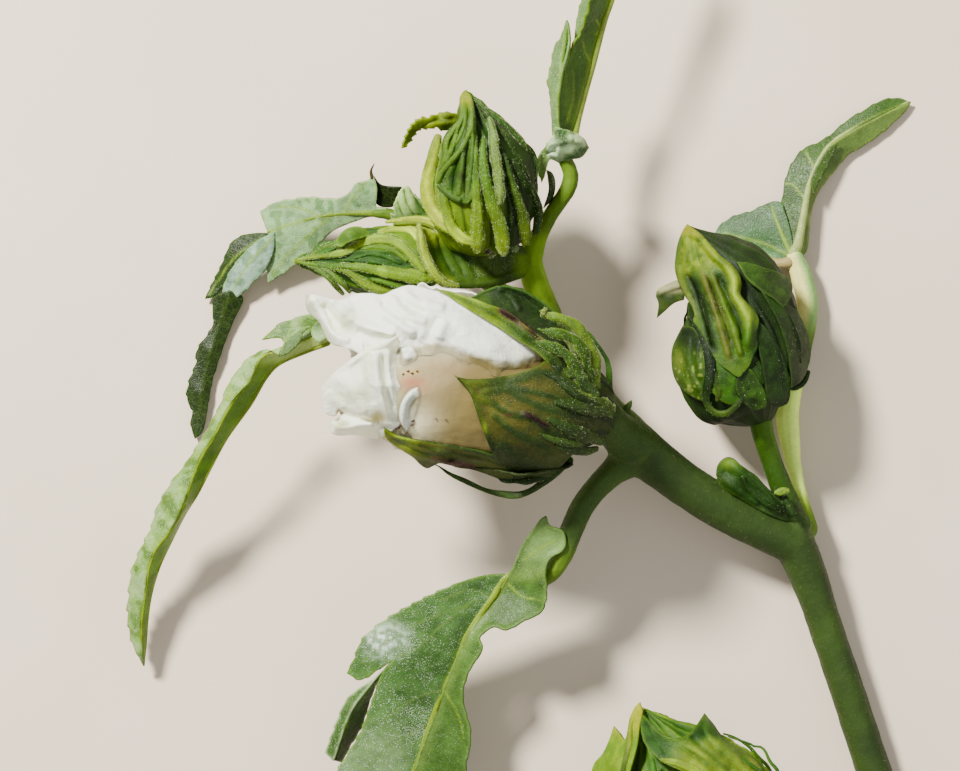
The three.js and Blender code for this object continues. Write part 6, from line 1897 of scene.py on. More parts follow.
def lay(part, height, rows, lift=0.3, flat=0.75, tint=LIME, edge=None, fuzz=6, n=76, sides=20, wavy=0.0, tip=None, tone=0.16, hair=None, deep=0.5):
    """A strip laid on a surface: rows of (column, row, width in grid steps[, extra lift])."""
    a = np.asarray([(r + (0.0,))[:4] for r in rows], float)
    q = even(a, n)
    z = height(q[:, 0], q[:, 1]) + lift + q[:, 3]
    z = np.convolve(np.pad(z, 3, mode="edge"), np.ones(7) / 7, "valid")
    P = at(q[:, 0], q[:, 1], z)
    k = (EYE - z) / ((EYE - PLANE) * GRID)
    R = q[:, 2] * k / 2
    ph = a[0, 0] + a[0, 1]
    if wavy:
        R = R * (1 + wavy * np.sin(np.linspace(0, 1, n) * 30 + ph))

    def groove(u, g):
        return 1 + 0.045 * np.cos(5 * g + 2.0 * np.sin(6 * u + ph)) + 0.03 * np.sin(23 * u + 3 * g + ph) + 0.02 * np.sin(61 * u + 5 * g)
    v, f, t, ang = tube(P, R, sides, flat=flat, shape=groove)
    base = along_tint(tint, t)
    tn = mix(base * (1 - tone), base * (1 + tone), np.clip(0.5 + 0.7 * fbm(v * 0.8, 2, int(a[0, 0]) % 50), 0, 1))
    # the edge colour goes on the top of the strip as a painted highlight
    if edge is not None:
        tn = mix(tn, edge, smooth(0.55, 0.95, np.sin(ang)) * 0.55)
    if tip is not None:
        tn = mix(tn, tip, smooth(0.75, 1.0, t))
    # painted shade on the underside of the strip; deep sets how dark
    tn = mix(tn, tn * np.array([0.42, 0.52, 0.3]), smooth(0.55, -0.35, np.sin(ang)) * deep * 1.6 * 0.9)
    # lighter on the ridges and darker in the grooves of the strip: painted light and shade
    tn = tn * (1 + 0.10 * np.cos(5 * ang + 2.0 * np.sin(6 * t + ph)))[:, None]
    part.add(v, f, tint=tn, pale=0.6)
    if fuzz:
        V, T = tri_arrays([(v, f)])
        (FUZZ if hair is None else hair).append((V, T, None, fuzz))
    return P


def piece(part, rows, height, tint, fuzz=4, **kw):
    if not isinstance(tint, tuple):
        tint = (tint, tint)

    def f(i):
        k = np.clip(0.5 + 0.6 * i["noise"], 0, 1)
        out = []
        for t in tint:
            t = t(i) if callable(t) else mix(np.asarray(t) * 0.82, np.asarray(t) * 1.18, k)
            out.append(t)
        return out[0], out[1]
    kw.setdefault("step", 1.3)
    kw.setdefault("thick", 0.32)
    kw.setdefault("wave", 0.12)
    v, fc, tn, pale, raw = pad(rows, height, colour=f, **kw)
    part.add(v, fc, tint=tn, pale=0.6 * pale)
    if fuzz:
        FUZZ.append((raw[0], raw[1], raw[2], fuzz))
    return raw


TOP_BUD = [(494, 256, 19.4, 3, 0.5), (493, 251, 19.5, 20, 2.8), (491, 241, 19.9, 37, 4.9), (487, 226, 20.4, 48, 6.3), (484, 208, 21.0, 54, 7.1), (483, 186, 21.8, 55, 7.3), (484, 166, 22.4, 52, 6.9),
           (482, 150, 22.9, 45, 6.1), (479, 136, 23.3, 35, 5.0), (476, 124, 23.7, 26, 3.8), (472, 112, 24.0, 15.5, 2.5), (468.5, 102, 24.3, 8.5, 1.5), (466, 94, 24.5, 4, 0.8), (465.5, 90, 24.6, 1, 0.2)]
SIDE_BUD = [(455, 262, 17.9, 2, 0.3), (446, 262, 17.8, 12, 1.8), (430, 262, 17.4, 24, 3.2), (408, 262, 16.9, 32, 4.1), (385, 262, 16.5, 34, 4.3), (360, 262, 16.2, 31, 4.0), (342, 262, 16.0, 24, 3.2), (326, 262, 15.8, 16, 2.3),
            (312, 261.5, 15.6, 9, 1.4), (301, 261, 15.5, 5, 0.8), (294, 261, 15.4, 2, 0.3)]
RIGHT_BUD = [(765, 426, 10.8, 3, 0.5), (762, 419, 10.8, 16, 2.2), (754, 404, 11.0, 38, 5.2), (745, 388, 11.3, 58, 8.0), (741, 368, 11.6, 65, 9.1), (742, 345, 11.8, 64, 9.1), (742, 322, 12.0, 58, 8.4), (738, 300, 12.3, 53, 7.5),
             (729, 279, 12.5, 46, 6.5), (716, 262, 12.7, 34, 4.9), (704, 249, 12.9, 22, 3.2), (694, 237, 13.0, 11, 1.7), (689, 229, 13.0, 4.5, 0.8), (687.5, 225, 13.0, 1, 0.2)]
LOW_BUD = [(760, 920, 11.6, 3, 0.5), (753, 905, 11.8, 22, 3.2), (740, 880, 12.0, 48, 6.6), (722, 850, 12.2, 68, 9.2), (704, 820, 12.4, 78, 10.2), (688, 792, 12.6, 74, 9.8), (674, 768, 12.7, 60, 8.2), (662, 748, 12.8, 42, 5.6),
           (652, 731, 12.9, 24, 3.2), (645, 717, 12.9, 10, 1.4), (640, 708, 12.9, 2, 0.3)]


def around(part, body, angles, spans, width, tint, bow=0.5, lift=0.35, seed=0, fuzz=5, flat=0.6, tip=None):
    """Narrow strips of the outer whorl on the sides that the eye doesn't see."""
    for k, (a0, (t0, t1)) in enumerate(zip(angles, spans)):
        u = np.linspace(0, 1, 46)
        p, nrm = body.point(t0 + (t1 - t0) * u, a0 + 0.12 * np.sin(u * 4 + k + seed), lift)
        p = p + nrm * (bow * np.sin(u * math.pi) ** 1.3)[:, None]
        R = width * (1 - 0.6 * u) * (0.85 + 0.15 * np.cos(u * 14 + k))
        v, f, t, a = tube(p, R, 12, flat=flat, ups=nrm)
        tn = mix(np.asarray(tint) * 0.8, np.asarray(tint) * 1.15, 0.5 + 0.5 * np.sin(t * 24 + k))
        if tip is not None:
            tn = mix(tn, tip, smooth(0.6, 1, t))
        part.add(v, f, tint=tn, pale=0.5)
        V, T = tri_arrays([(v, f)])
        FUZZ.append((V, T, None, fuzz))


def top_bud():
    part = Part()
    body = Body(TOP_BUD, bud_relief(0.55, 5, 3, 0.45, 0.3))
    v, f, t, a = body.mesh(170, 200)
    tn = bud_paint(v, t, a, 5, 3, rgb(78, 112, 18), rgb(100, 138, 24), rgb(138, 164, 36), 0.3, 0.5, rgb(140, 164, 34))
    c, r = grid_of(v)
    up = smooth(-0.1, 0.4, np.sin(a))
    lit = smooth(511, 498, c) * smooth(180, 214, r) * up
    tn = mix(tn, rgb(156, 180, 30), lit * 0.9)
    # painted shade: the right half of the bud made darker
    tn = mix(tn, rgb(68, 94, 22), smooth(500, 515, c) * up * 0.7)
    p = np.stack([c, r], -1)
    for line, w, d in (([(470, 98), (488, 140), (506, 180), (516, 226)], 1.6, .8), ([(474, 100), (500, 146), (522, 190), (530, 226)], 1.6, .8), ([(480, 104), (512, 148), (532, 186), (537, 220)], 1.6, .8),
                       ([(468, 110), (462, 150), (460, 190), (466, 230)], 1.6, .7), ([(464, 104), (452, 140), (446, 180)], 1.4, .7), ([(490, 205), (491, 225), (491, 245)], 1.2, .8)):
        dd, _ = near_line(p, line)
        tn = mix(tn, rgb(42, 64, 12), np.exp(-(dd / w) ** 2) * d * up)
    part.add(v, f, tint=tn, pale=0.25)
    H = dome(TOP_BUD)
    # front sepal: pleated, with a rolled margin on its left made bright as painted light
    margin = [(468, 96), (471.5, 110), (472, 122), (469, 133), (464, 145), (454, 158), (444, 169), (439, 178), (438, 185)]
    FH = folded(lambda c, r: H(c, r) + 0.6, [(margin, 0.9, 2.2, 3.0),
                                             ([(438, 185), (443, 190), (453, 197), (462, 201)], 0.5, 2.0, 2.0), ([(464, 150), (461, 176), (459, 196)], 0.45, 1.6, 1.6),
                                             ([(468, 136), (466, 165), (465, 197)], -0.5, 1.8, 1.8), ([(459, 158), (454, 178), (453, 194)], -0.5, 2.0, 2.0),
                                             ([(472, 114), (473, 140), (471, 168), (467, 196)], 0.4, 1.4, 1.4), ([(452, 166), (448, 178), (448, 190)], 0.35, 1.5, 1.5),
                                             ([(475, 118), (476, 150), (474, 182)], -0.35, 1.3, 1.3), ([(470, 100), (474, 120)], 0.3, 1.3, 1.3)])

    def ft(i):
        c, r = i["c"], i["r"]
        p = np.stack([c, r], -1)
        t = mix(rgb(70, 102, 12), rgb(100, 134, 22), np.clip(0.5 + 0.8 * i["noise"], 0, 1))
        t = mix(t, mix(rgb(104, 134, 36), rgb(132, 158, 62), np.clip(0.5 + 0.9 * i["noise"], 0, 1)), smooth(176, 194, r) * 0.75)
        # the raised pleats and the margin are made lighter as painted light, the sunken pleats darker as painted shade
        for line, w, k, tn in (([(464, 150), (461, 176), (459, 196)], 2.0, .7, rgb(112, 138, 34)), ([(468, 136), (466, 165), (465, 197)], 1.4, .8, rgb(46, 70, 12)), ([(459, 158), (454, 178), (453, 194)], 1.5, .8, rgb(50, 74, 12)),
                               ([(472, 114), (473, 140), (471, 168), (467, 196)], 1.5, .8, rgb(118, 144, 40)), ([(452, 166), (448, 178), (448, 190)], 1.5, .7, rgb(104, 132, 30)), (margin, 3.0, .95, rgb(124, 152, 38)),
                               ([(438, 185), (443, 190), (453, 197), (462, 201)], 1.8, .7, rgb(92, 120, 34))):
            d, _ = near_line(p, line)
            t = mix(t, tn, np.exp(-(d / w) ** 2) * k)
        t = mix(t, rgb(72, 58, 34), np.exp(-(((c - 462) / 2.2) ** 2 + ((r - 176) / 4) ** 2)) * 0.7)
        return mix(t, rgb(176, 186, 20), smooth(114, 98, r))
    piece(part, [(465.5, 91, 0, 1), (471, 97), (473.5, 108), (475.5, 122), (477, 140), (477.5, 160), (476, 180), (473, 196), (468, 204, 0, 1), (460, 202), (452, 199), (443, 192), (437, 186, 0, 1), (437, 179), (442, 169),
                 (452, 157), (462, 144), (467, 132), (469, 120), (468, 108), (464, 98)], FH, (ft, rgb(80, 110, 34)), fuzz=40, wave=0.1, seed=201, thick=0.34, step=1.0, inner_step=1.0, pucker=0.1)
    # left sepal with its own margins
    LL = [([(463, 98), (462, 118), (454, 130), (447, 141), (446, 154), (442, 168)], 2.0), ([(460, 124), (454, 140), (449, 156)], 1.4), ([(466, 104), (465, 122), (460, 136), (452, 150), (445, 166)], 1.4), ([(456, 126), (449, 138), (445, 150)], 1.3)]
    LH = folded(lambda c, r: H(c, r) + 0.35, [(LL[0][0], 0.7, 2.0, 2.6), (LL[1][0], 0.4, 1.4, 1.4), (LL[2][0], 0.4, 1.3, 1.3), (LL[3][0], 0.35, 1.2, 1.2)])

    def lt(i):
        c, r = i["c"], i["r"]
        p = np.stack([c, r], -1)
        t = mix(rgb(68, 100, 16), rgb(96, 130, 22), np.clip(0.5 + 0.6 * i["noise"], 0, 1))
        for line, w in LL:
            d, _ = near_line(p, line)
            t = mix(t, rgb(134, 162, 42), np.exp(-(d / w) ** 2) * 0.85)
        return mix(t, rgb(180, 188, 24), smooth(112, 98, r))
    piece(part, [(464, 92, 0, 1), (468, 108), (469, 120), (466, 133), (461, 146), (451, 159), (441, 171), (438, 177, 0, 1), (441, 160), (443, 150), (443, 141), (449, 130), (457, 121), (460, 110), (461, 98)], LH,
          (lt, rgb(84, 116, 36)), fuzz=40, wave=0.08, seed=203, thick=0.32, step=1.0, inner_step=1.0)
    lay(part, H, [(451, 154, 3.0), (454, 144, 4.0), (457, 135, 3.0)], 0.9, 0.7, rgb(132, 160, 46), fuzz=10)
    lay(part, H, [(446, 150, 3.0), (448, 141, 4.0), (452, 132, 3.4), (456, 125, 2.2)], 0.75, 0.7, rgb(140, 166, 52), fuzz=12)
    lay(part, H, [(441, 166, 3.0), (441, 156, 4.0), (442, 146, 4.0), (447, 137, 3.0)], 0.5, 0.7, rgb(150, 172, 66), fuzz=12)
    # strips of the outer whorl, thick and blunt at their foot
    foot, mid, top, far = rgb(178, 196, 30), rgb(156, 180, 14), rgb(120, 154, 18), rgb(92, 128, 20)
    lay(part, H, [(477.8, 250, 9), (477.7, 244, 13.5), (477.5, 232, 13.5), (477.5, 218, 12), (476.7, 200, 9.5), (476, 182, 8), (475.5, 164, 6.5), (475, 146, 5), (474, 130, 3.2)], 0.62, 0.62, [foot, mid, mid, top, top, far], fuzz=24)
    lay(part, H, [(503.5, 252.5, 9), (503, 246, 13), (501.5, 234, 13.5), (497, 217, 12.5), (491.5, 202, 11.5), (487, 186, 10), (484, 168, 8.5), (483, 152, 6.5), (483.5, 139, 4)], 0.8, 0.62, [foot, mid, rgb(146, 172, 20), top, top, rgb(118, 150, 34)], fuzz=24)
    lay(part, H, [(500, 202, 6.5), (500, 192, 9.5), (498, 172, 9.5), (494.5, 152, 9.0), (493, 134, 8.0), (489, 119, 4.5)], 1.2, 0.7, [rgb(134, 160, 44), rgb(132, 158, 58), rgb(122, 150, 54), rgb(100, 132, 36)], fuzz=75,
        edge=rgb(172, 192, 112), wavy=0.1)
    # the two strips round to the right carry darker tints, painted shade on the bud's shaded side
    lay(part, H, [(525, 243, 8), (525.5, 234, 11.5), (523, 218, 12), (518.5, 203, 10), (513.5, 188, 8), (508, 170, 5.5), (504, 154, 3.0)], 0.5, 0.55, [rgb(150, 166, 34), rgb(120, 144, 28), rgb(100, 128, 26), rgb(72, 98, 22)], fuzz=14)
    lay(part, H, [(536, 232, 7), (538, 218, 9.5), (537, 204, 9.5), (531, 190, 8.5), (522, 176, 6.0), (514, 160, 3.5)], 0.35, 0.5, [rgb(96, 118, 30), rgb(80, 106, 26), rgb(64, 90, 22)], fuzz=10)
    lay(part, H, [(474, 242, 8), (464, 239, 11), (453, 229, 12), (447, 214, 11), (444, 199, 9), (441, 186, 5)], 0.6, 0.62, [rgb(184, 200, 40), rgb(178, 196, 34), rgb(158, 182, 26), rgb(120, 150, 24)], fuzz=12)
    lay(part, H, [(450, 230, 9.0, -.2), (440, 221, 14.0, .0), (432, 208, 16.0, .2), (428.5, 192, 17.0, .35), (429, 176, 15.0, .3), (432, 162, 12.5, .2), (435, 149, 12.0, .1), (438, 137, 8.0, .0)], 0.8, 0.5,
        [rgb(170, 190, 26), rgb(182, 198, 26), rgb(186, 200, 30), rgb(176, 192, 30), rgb(142, 166, 36), rgb(128, 152, 50)], fuzz=12, edge=rgb(196, 204, 50))
    lay(part, H, [(447, 216, 6.0), (440, 200, 7.0), (438, 182, 6.5), (440, 166, 5.0), (443, 152, 3.5)], 0.75, 0.6, [rgb(170, 188, 50), rgb(126, 152, 36)], fuzz=9)
    # soft ribs on the shaded right half, and the lit edge of the dark sepal
    for rows in ([(476, 104, 1.5), (494, 136, 2.4), (510, 168, 2.8), (519, 190, 2.2)], [(484, 108, 1.5), (506, 138, 2.4), (523, 166, 2.8), (532, 188, 2.2)], [(510, 232, 2.5), (511, 214, 3.0), (506, 190, 2.4), (501, 170, 1.6)]):
        lay(part, H, rows, 0.12, 0.6, rgb(80, 106, 24), fuzz=14)
    lay(part, H, [(474, 98, 3.0), (488, 112, 4.0), (506, 125, 4.5), (522, 142, 5.0), (533, 153, 4.5), (537, 166, 3.6), (536, 182, 2.4)], 0.1, 0.6, rgb(84, 116, 30), fuzz=40, wavy=0.1)
    around(part, body, [-0.75, -1.3, -1.85, -2.4], [(0.14, 0.62), (0.12, 0.66), (0.13, 0.6), (0.12, 0.68)], 0.85, rgb(140, 164, 42), bow=0.4, lift=0.5, seed=2)
    # young tissue and white hairs at the foot
    for cc, rr, q, tn in ((487.5, 252, 1.4, rgb(118, 88, 96)), (492, 255, 1.2, rgb(150, 150, 110)), (515, 249, 1.5, rgb(160, 174, 124))):
        z = float(H(np.array([cc]), np.array([rr]))[0]) - 0.1
        P = even(places([(cc - q, rr + 1, z), (cc, rr, z + 0.3), (cc + q, rr - 1, z)]), 10)
        v, f, t, a = tube(P, np.full(10, 0.32), 10)
        part.add(v, f, tint=tn, pale=0.8)
        V, T = tri_arrays([(v, f)])
        FUZZ.append((V, T, None, 50))
    return build("top_bud_skin", part, BUD_MAT, ["top_bud"])


def side_bud():
    part = Part()
    body = Body(SIDE_BUD, bud_relief(0.55, 5, 7, 0.5, 0.1))
    v, f, t, a = body.mesh(150, 150)
    tn = bud_paint(v, t, a, 5, 7, rgb(66, 104, 12), rgb(98, 138, 18), rgb(148, 176, 28), 0.1, 0.4, rgb(164, 188, 30))
    c, r = grid_of(v)
    up = smooth(-0.1, 0.4, np.sin(a))
    d = ((c - 398) / 30) ** 2 + ((r - 244) / 14) ** 2
    tn = mix(tn, rgb(150, 178, 32), smooth(1.5, 0.4, d) * 0.9 * up)
    d = ((c - 378) / 34) ** 2 + ((r - 257) / 7) ** 2
    tn = mix(tn, rgb(84, 124, 8), smooth(1.5, 0.6, d) * 0.9 * up)
    part.add(v, f, tint=tn, pale=0.4)
    H = dome(SIDE_BUD)
    lime, pale = rgb(154, 178, 44), rgb(180, 198, 66)
    lay(part, H, [(298, 260, 3), (313, 257, 4.5), (330, 255, 6), (345, 252, 7.5), (355, 246, 9), (367, 241, 10), (380, 239, 11), (393, 241, 11.5), (404, 248, 11), (414, 259, 10), (424, 271, 7)], 0.35, 0.55,
        [rgb(160, 182, 40), rgb(132, 164, 44), rgb(172, 198, 80), rgb(156, 184, 36), rgb(154, 184, 16), rgb(142, 176, 10)], edge=pale, fuzz=40, wavy=.06)
    lay(part, H, [(298, 262, 3), (325, 266, 5), (345, 266, 6.5), (363, 267.5, 8), (377, 270, 9.5), (390, 272.5, 11.5), (407, 275.5, 13), (421, 277, 13), (431, 278, 9)], 0.4, 0.55,
        [rgb(160, 182, 40), rgb(110, 148, 28), rgb(136, 168, 28), rgb(158, 186, 14), rgb(164, 190, 12), rgb(158, 186, 20)], fuzz=30, wavy=.05)
    lay(part, H, [(318, 266, 3), (334, 268, 5), (347, 271, 6.5), (357, 278, 8.5), (368, 285, 10), (382, 290, 10), (396, 293, 7)], 0.3, 0.55, [rgb(110, 146, 30), rgb(100, 138, 24), rgb(142, 174, 24), rgb(156, 184, 20)], edge=pale, fuzz=36)
    lay(part, H, [(304, 263, 3), (318, 269, 5), (328, 277, 6), (336, 286, 6), (343, 294, 4)], 0.3, 0.55, [rgb(120, 150, 50), rgb(88, 124, 24), rgb(108, 142, 30)], edge=rgb(150, 176, 70), fuzz=36)
    lay(part, H, [(322, 268, 3), (332, 274, 5.5), (342, 283, 6), (350, 292, 4)], 0.5, 0.55, [rgb(96, 132, 26), rgb(112, 148, 34)], edge=rgb(156, 182, 80), fuzz=36)
    lay(part, H, [(372, 279, 3), (386, 282, 5.5), (402, 286, 6.5), (416, 289, 5)], 0.3, 0.55, rgb(124, 160, 16), fuzz=20)
    lay(part, H, [(352, 259, 2), (370, 254, 3.6), (386, 257, 4), (400, 263, 3)], 0.1, 0.5, rgb(92, 132, 18), fuzz=4)
    lay(part, H, [(344, 260, 2), (362, 261, 3.4), (380, 263, 3.4), (396, 268, 2.6)], 0.1, 0.5, rgb(84, 124, 18), fuzz=4)
    lay(part, H, [(360, 249, 3), (376, 247, 4.5), (392, 250, 5), (406, 260, 4)], 0.15, 0.5, rgb(140, 170, 30), fuzz=5)
    lay(part, H, [(304, 259, 3), (316, 252, 5.5), (326, 247, 6.5), (336, 245, 7), (348, 246, 5)], 0.35, 0.6, [rgb(130, 158, 50), rgb(100, 134, 36), rgb(106, 140, 40)], edge=rgb(150, 176, 76), fuzz=36)
    lay(part, H, [(380, 232, 6), (396, 229.5, 9), (410, 231, 11), (420, 239, 10), (427, 252, 7)], 0.3, 0.55, [rgb(176, 198, 60), rgb(196, 212, 76), rgb(192, 208, 56)], edge=rgb(204, 216, 100), fuzz=20)
    # rolled lobe with a pitted dark face
    R = plate([(337, 244, 19.8), (342, 235, 20.2), (352, 228, 19.8), (362, 228, 19.2), (370, 233, 18.8), (360, 240, 20.8), (349, 244, 21.0), (350, 236, 21.6)])

    def rt(i):
        t = mix(rgb(66, 102, 20), rgb(118, 152, 44), np.clip(0.5 + 1.2 * i["noise"], 0, 1))
        return mix(t, rgb(166, 188, 96), np.exp(-(i["edge"] / 1.6) ** 2) * 0.8)
    # painted light: the lobe's tint is lifted halfway to a light green against the shade around it
    piece(part, [(336, 246, 0, 1), (337, 240), (341, 234.5), (347, 229.5), (353, 227.5), (360, 227.5), (366, 230.5), (370, 235, 0, 1), (364, 238), (356, 240), (348, 243), (342, 247)], R, (lambda i: mix(rt(i), rgb(150, 182, 70), 0.5), rgb(100, 140, 44)), fuzz=12,
          wave=0.1, seed=211, thick=0.5, pucker=0.25, edge_lift=0.3)
    piece(part, [(300, 259, 0, 1), (306, 254), (313, 251.5), (317, 246), (325, 241.5), (334, 241, 0, 1), (336, 248), (328, 252), (316, 256)], plate([(300, 259, 15.9), (313, 252, 16.6), (325, 242, 16.8), (334, 242, 17.4), (336, 248, 18.4),
                 (322, 252, 17.8)]), (rgb(92, 138, 40), rgb(100, 140, 44)), fuzz=12, seed=213, edge_lift=0.25)
    around(part, body, [-0.6, -1.15, -1.7, -2.3], [(0.1, 0.7), (0.08, 0.66), (0.1, 0.7), (0.08, 0.66)], 0.6, rgb(150, 174, 42), bow=0.25, lift=0.3, seed=5)
    return build("side_bud_skin", part, BUD_MAT, ["side_bud"])


def young_parts():
    """The bract pocket, curled leaf and stipule at the bud cluster."""
    part = Part()
    hb = plate([(419, 230, 22.6), (421, 248, 22.8), (429, 268, 22.6), (440, 283, 22.2), (434, 232, 21.6), (440, 254, 20.6), (450, 272, 20.6), (456, 238, 20.8), (472, 287, 20.6), (470, 262, 19.8), (494, 284, 19.4), (490, 264, 19.2),
                (512, 274, 18.2), (512, 258, 18.4), (526, 262, 17.2), (490, 248, 19.6), (508, 246, 18.6)])
    rim = [(421, 231), (421.5, 242), (424, 254), (430, 267), (438, 278), (449, 284)]

    def bt(i):
        c, r = i["c"], i["r"]
        t = mix(rgb(86, 116, 12), rgb(110, 138, 20), np.clip(0.5 + 0.8 * i["noise"], 0, 1))
        t = mix(t, rgb(190, 206, 60), smooth(458, 438, c) * smooth(252, 236, r) * 0.85)
        t = mix(t, rgb(134, 156, 56), smooth(460, 484, c) * smooth(250, 258, r) * 0.7)
        p = np.stack([c, r], -1)
        t = mix(t, rgb(118, 140, 44), smooth(470, 486, c) * smooth(276, 262, r) * 0.6)
        t = mix(t, rgb(96, 122, 34), smooth(492, 508, c) * 0.7)
        # painted light: the right end of the pocket made bright green where the top bud's shadow falls
        t = mix(t, rgb(158, 186, 40), smooth(506, 520, c) * smooth(250, 258, r) * 0.85)
        t = mix(t, rgb(100, 122, 30), smooth(271, 281, r) * 0.8)
        for line in ([(437, 236), (443, 256), (452, 274)], [(446, 238), (454, 256), (464, 276)], [(458, 242), (466, 258), (478, 278)], [(472, 246), (480, 262), (494, 278)]):
            d, _ = near_line(p, line)
            t = mix(t, rgb(72, 100, 14), np.exp(-(d / 2.0) ** 2) * 0.5)
        d, _ = near_line(p, rim)
        return mix(t, rgb(186, 198, 72), np.exp(-(d / 5) ** 2) * 0.9)
    piece(part, [(418, 228, 0, 1), (427, 230), (437, 233), (456, 237), (472, 240), (489, 243), (505, 242), (522, 246, 0, 1), (530, 262), (524, 276), (510, 282), (494, 286), (474, 288), (456, 288), (441, 286), (431, 276), (424, 264), (419, 250), (417, 238)],
          folded(hb, [(rim, 1.0, 3.4, 4.4), ([(437, 236), (443, 256), (452, 274)], -0.35, 2.2, 2.2), ([(446, 238), (454, 256), (464, 276)], -0.3, 2.2, 2.2), ([(458, 242), (466, 258), (478, 278)], -0.3, 2.4, 2.4),
                      ([(472, 246), (480, 262), (494, 278)], -0.3, 2.4, 2.4), ([(444, 284), (470, 284), (500, 280), (520, 270)], 0.5, 3, 3)]),
          (bt, rgb(120, 144, 44)), fuzz=7, seed=221, thick=0.42, wave=0.12)
    lay(part, lambda c, r: hb(c, r), [(419, 226, 5), (420.5, 236, 8), (422.5, 248, 9), (428, 262, 9.5), (436, 275, 9), (446, 283, 7), (458, 286, 4)], 0.9, 0.8, [rgb(190, 204, 60), rgb(176, 194, 46), rgb(152, 176, 32), rgb(144, 164, 32)],
        edge=rgb(200, 212, 96), fuzz=50)
    # outer skin of the pocket, below
    piece(part, [(419, 234, 0, 1), (440, 236), (470, 243), (505, 246), (526, 254, 0, 1), (512, 278), (474, 287), (444, 284), (426, 266)],
          lambda c, r: hb(c, r) - 1.6 + 0.8 * ((c - 470) / 50) ** 2, (rgb(104, 128, 34), rgb(120, 144, 44)), fuzz=2, seed=222, thick=0.3)
    # long pale hairs that stand over the pocket
    rng = np.random.default_rng(77)
    hq = np.stack([rng.uniform(468, 516, 70), rng.uniform(250, 280, 70)], -1)
    HAIRS_LONG.append((at(hq[:, 0], hq[:, 1], hb(hq[:, 0], hq[:, 1]) + 0.2), np.tile([0.0, 0.15, 1.0], (70, 1)), 1.5))
    # curled, toothed young leaf
    hc = plate([(457, 119, 24.6), (445, 116, 25.4), (432, 120, 26.0), (420, 123, 25.8), (408, 132, 25.0), (402, 146, 24.0), (445, 128, 24.0), (421, 129, 24.4), (440, 113, 24.2)])

    def ct(i):
        t = mix(rgb(142, 160, 12), rgb(180, 196, 36), np.clip(0.5 + 0.7 * i["noise"], 0, 1))
        t = mix(t, rgb(96, 116, 16), i["vein"] * 0.6)
        return mix(t, rgb(196, 206, 60), np.exp(-(i["edge"] / 1.3) ** 2) * 0.5)
    piece(part, [(459, 114, 0, 1), (452, 113, .8), (445, 112.5, 1.4), (437, 114.5, 1.8), (429, 117, 2.2), (421, 117.5, 2.2), (413, 123, 2.2), (408, 130, 2.0), (404, 139, 1.6), (401.5, 148, 0, 1), (406, 146, 1.2), (411, 140, 1.8), (415, 134, 1.8), (421, 128.5, 1.8),
                 (429, 127.5, 1.8), (436, 126.5, 1.6), (443, 130, 1.4), (452, 127), (457, 123)], folded(hc, [([(457, 118), (440, 119), (426, 123), (413, 132), (403, 145)], -0.4, 2.4, 2.4)]), (ct, rgb(120, 156, 50)),
          fuzz=8, teeth=7.5, seed=225, thick=0.3, step=0.9, inner_step=1.1, veins=[([(452, 120), (430, 122), (412, 131)], 1.2, .8, -0.08)])
    # hairy stipule in front of the leaf stalk
    hs = plate([(393, 220, 16.8), (396, 204, 17.4), (402, 190, 17.8), (409, 187, 17.8), (420, 200, 18.2), (437, 222, 18.0), (412, 222, 17.0), (408, 205, 18.6)])

    def st(i):
        c, r = i["c"], i["r"]
        t = mix(rgb(118, 148, 72), rgb(180, 200, 128), np.clip(0.5 + 0.9 * i["noise"], 0, 1))
        p = np.stack([c, r], -1)
        for line in ([(404, 190), (408, 205), (420, 222)], [(398, 202), (403, 214), (408, 224)], [(410, 190), (420, 206), (434, 222)]):
            d, _ = near_line(p, line)
            t = mix(t, rgb(88, 128, 52), np.exp(-(d / 1.2) ** 2) * 0.7)
        return mix(t, rgb(206, 214, 160), np.exp(-(i["edge"] / 1.4) ** 2) * 0.6)
    piece(part, [(392, 221, 0, 1), (391, 213), (395, 214), (394, 205, .6), (397, 198, .8), (400, 191, .8), (404, 187, .6), (408, 185.5, 0, 1), (411, 189), (413, 193, .6), (420, 199, .8), (426, 206, .6), (432, 213), (440, 223, 0, 1), (425, 226), (408, 226)],
          folded(hs, [([(404, 190), (408, 205), (420, 222)], -0.4, 2, 2), ([(398, 202), (403, 214), (408, 224)], -0.35, 2, 2), ([(410, 190), (420, 206), (434, 222)], -0.4, 2, 2)]), (st, rgb(130, 164, 80)),
          fuzz=26, teeth=6, seed=227, thick=0.34, step=1.0, inner_step=1.1)
    # pale streaks of the stalk's foot
    flat = lambda c, r: 0 * c + 17.9
    lay(part, flat, [(386, 222, 3), (400, 220, 5), (416, 219, 7), (430, 222, 8), (446, 232, 8)], 0.6, 0.5, [rgb(176, 190, 66), rgb(190, 204, 60), rgb(194, 208, 60)], fuzz=12, edge=rgb(206, 214, 96))
    lay(part, flat, [(390, 228, 3), (404, 226, 6), (418, 227, 7), (434, 234, 7)], 0.3, 0.5, [rgb(166, 186, 50), rgb(176, 194, 40)], fuzz=10)
    lay(part, flat, [(394, 224, 3), (410, 223, 4), (424, 224, 4), (438, 229, 4)], 0.7, 0.5, [rgb(150, 170, 50), rgb(176, 190, 60)], fuzz=6)
    return build("young_bracts", part, BUD_MAT, ["cluster_bract", "cluster_curled_leaf", "cluster_stipule"])


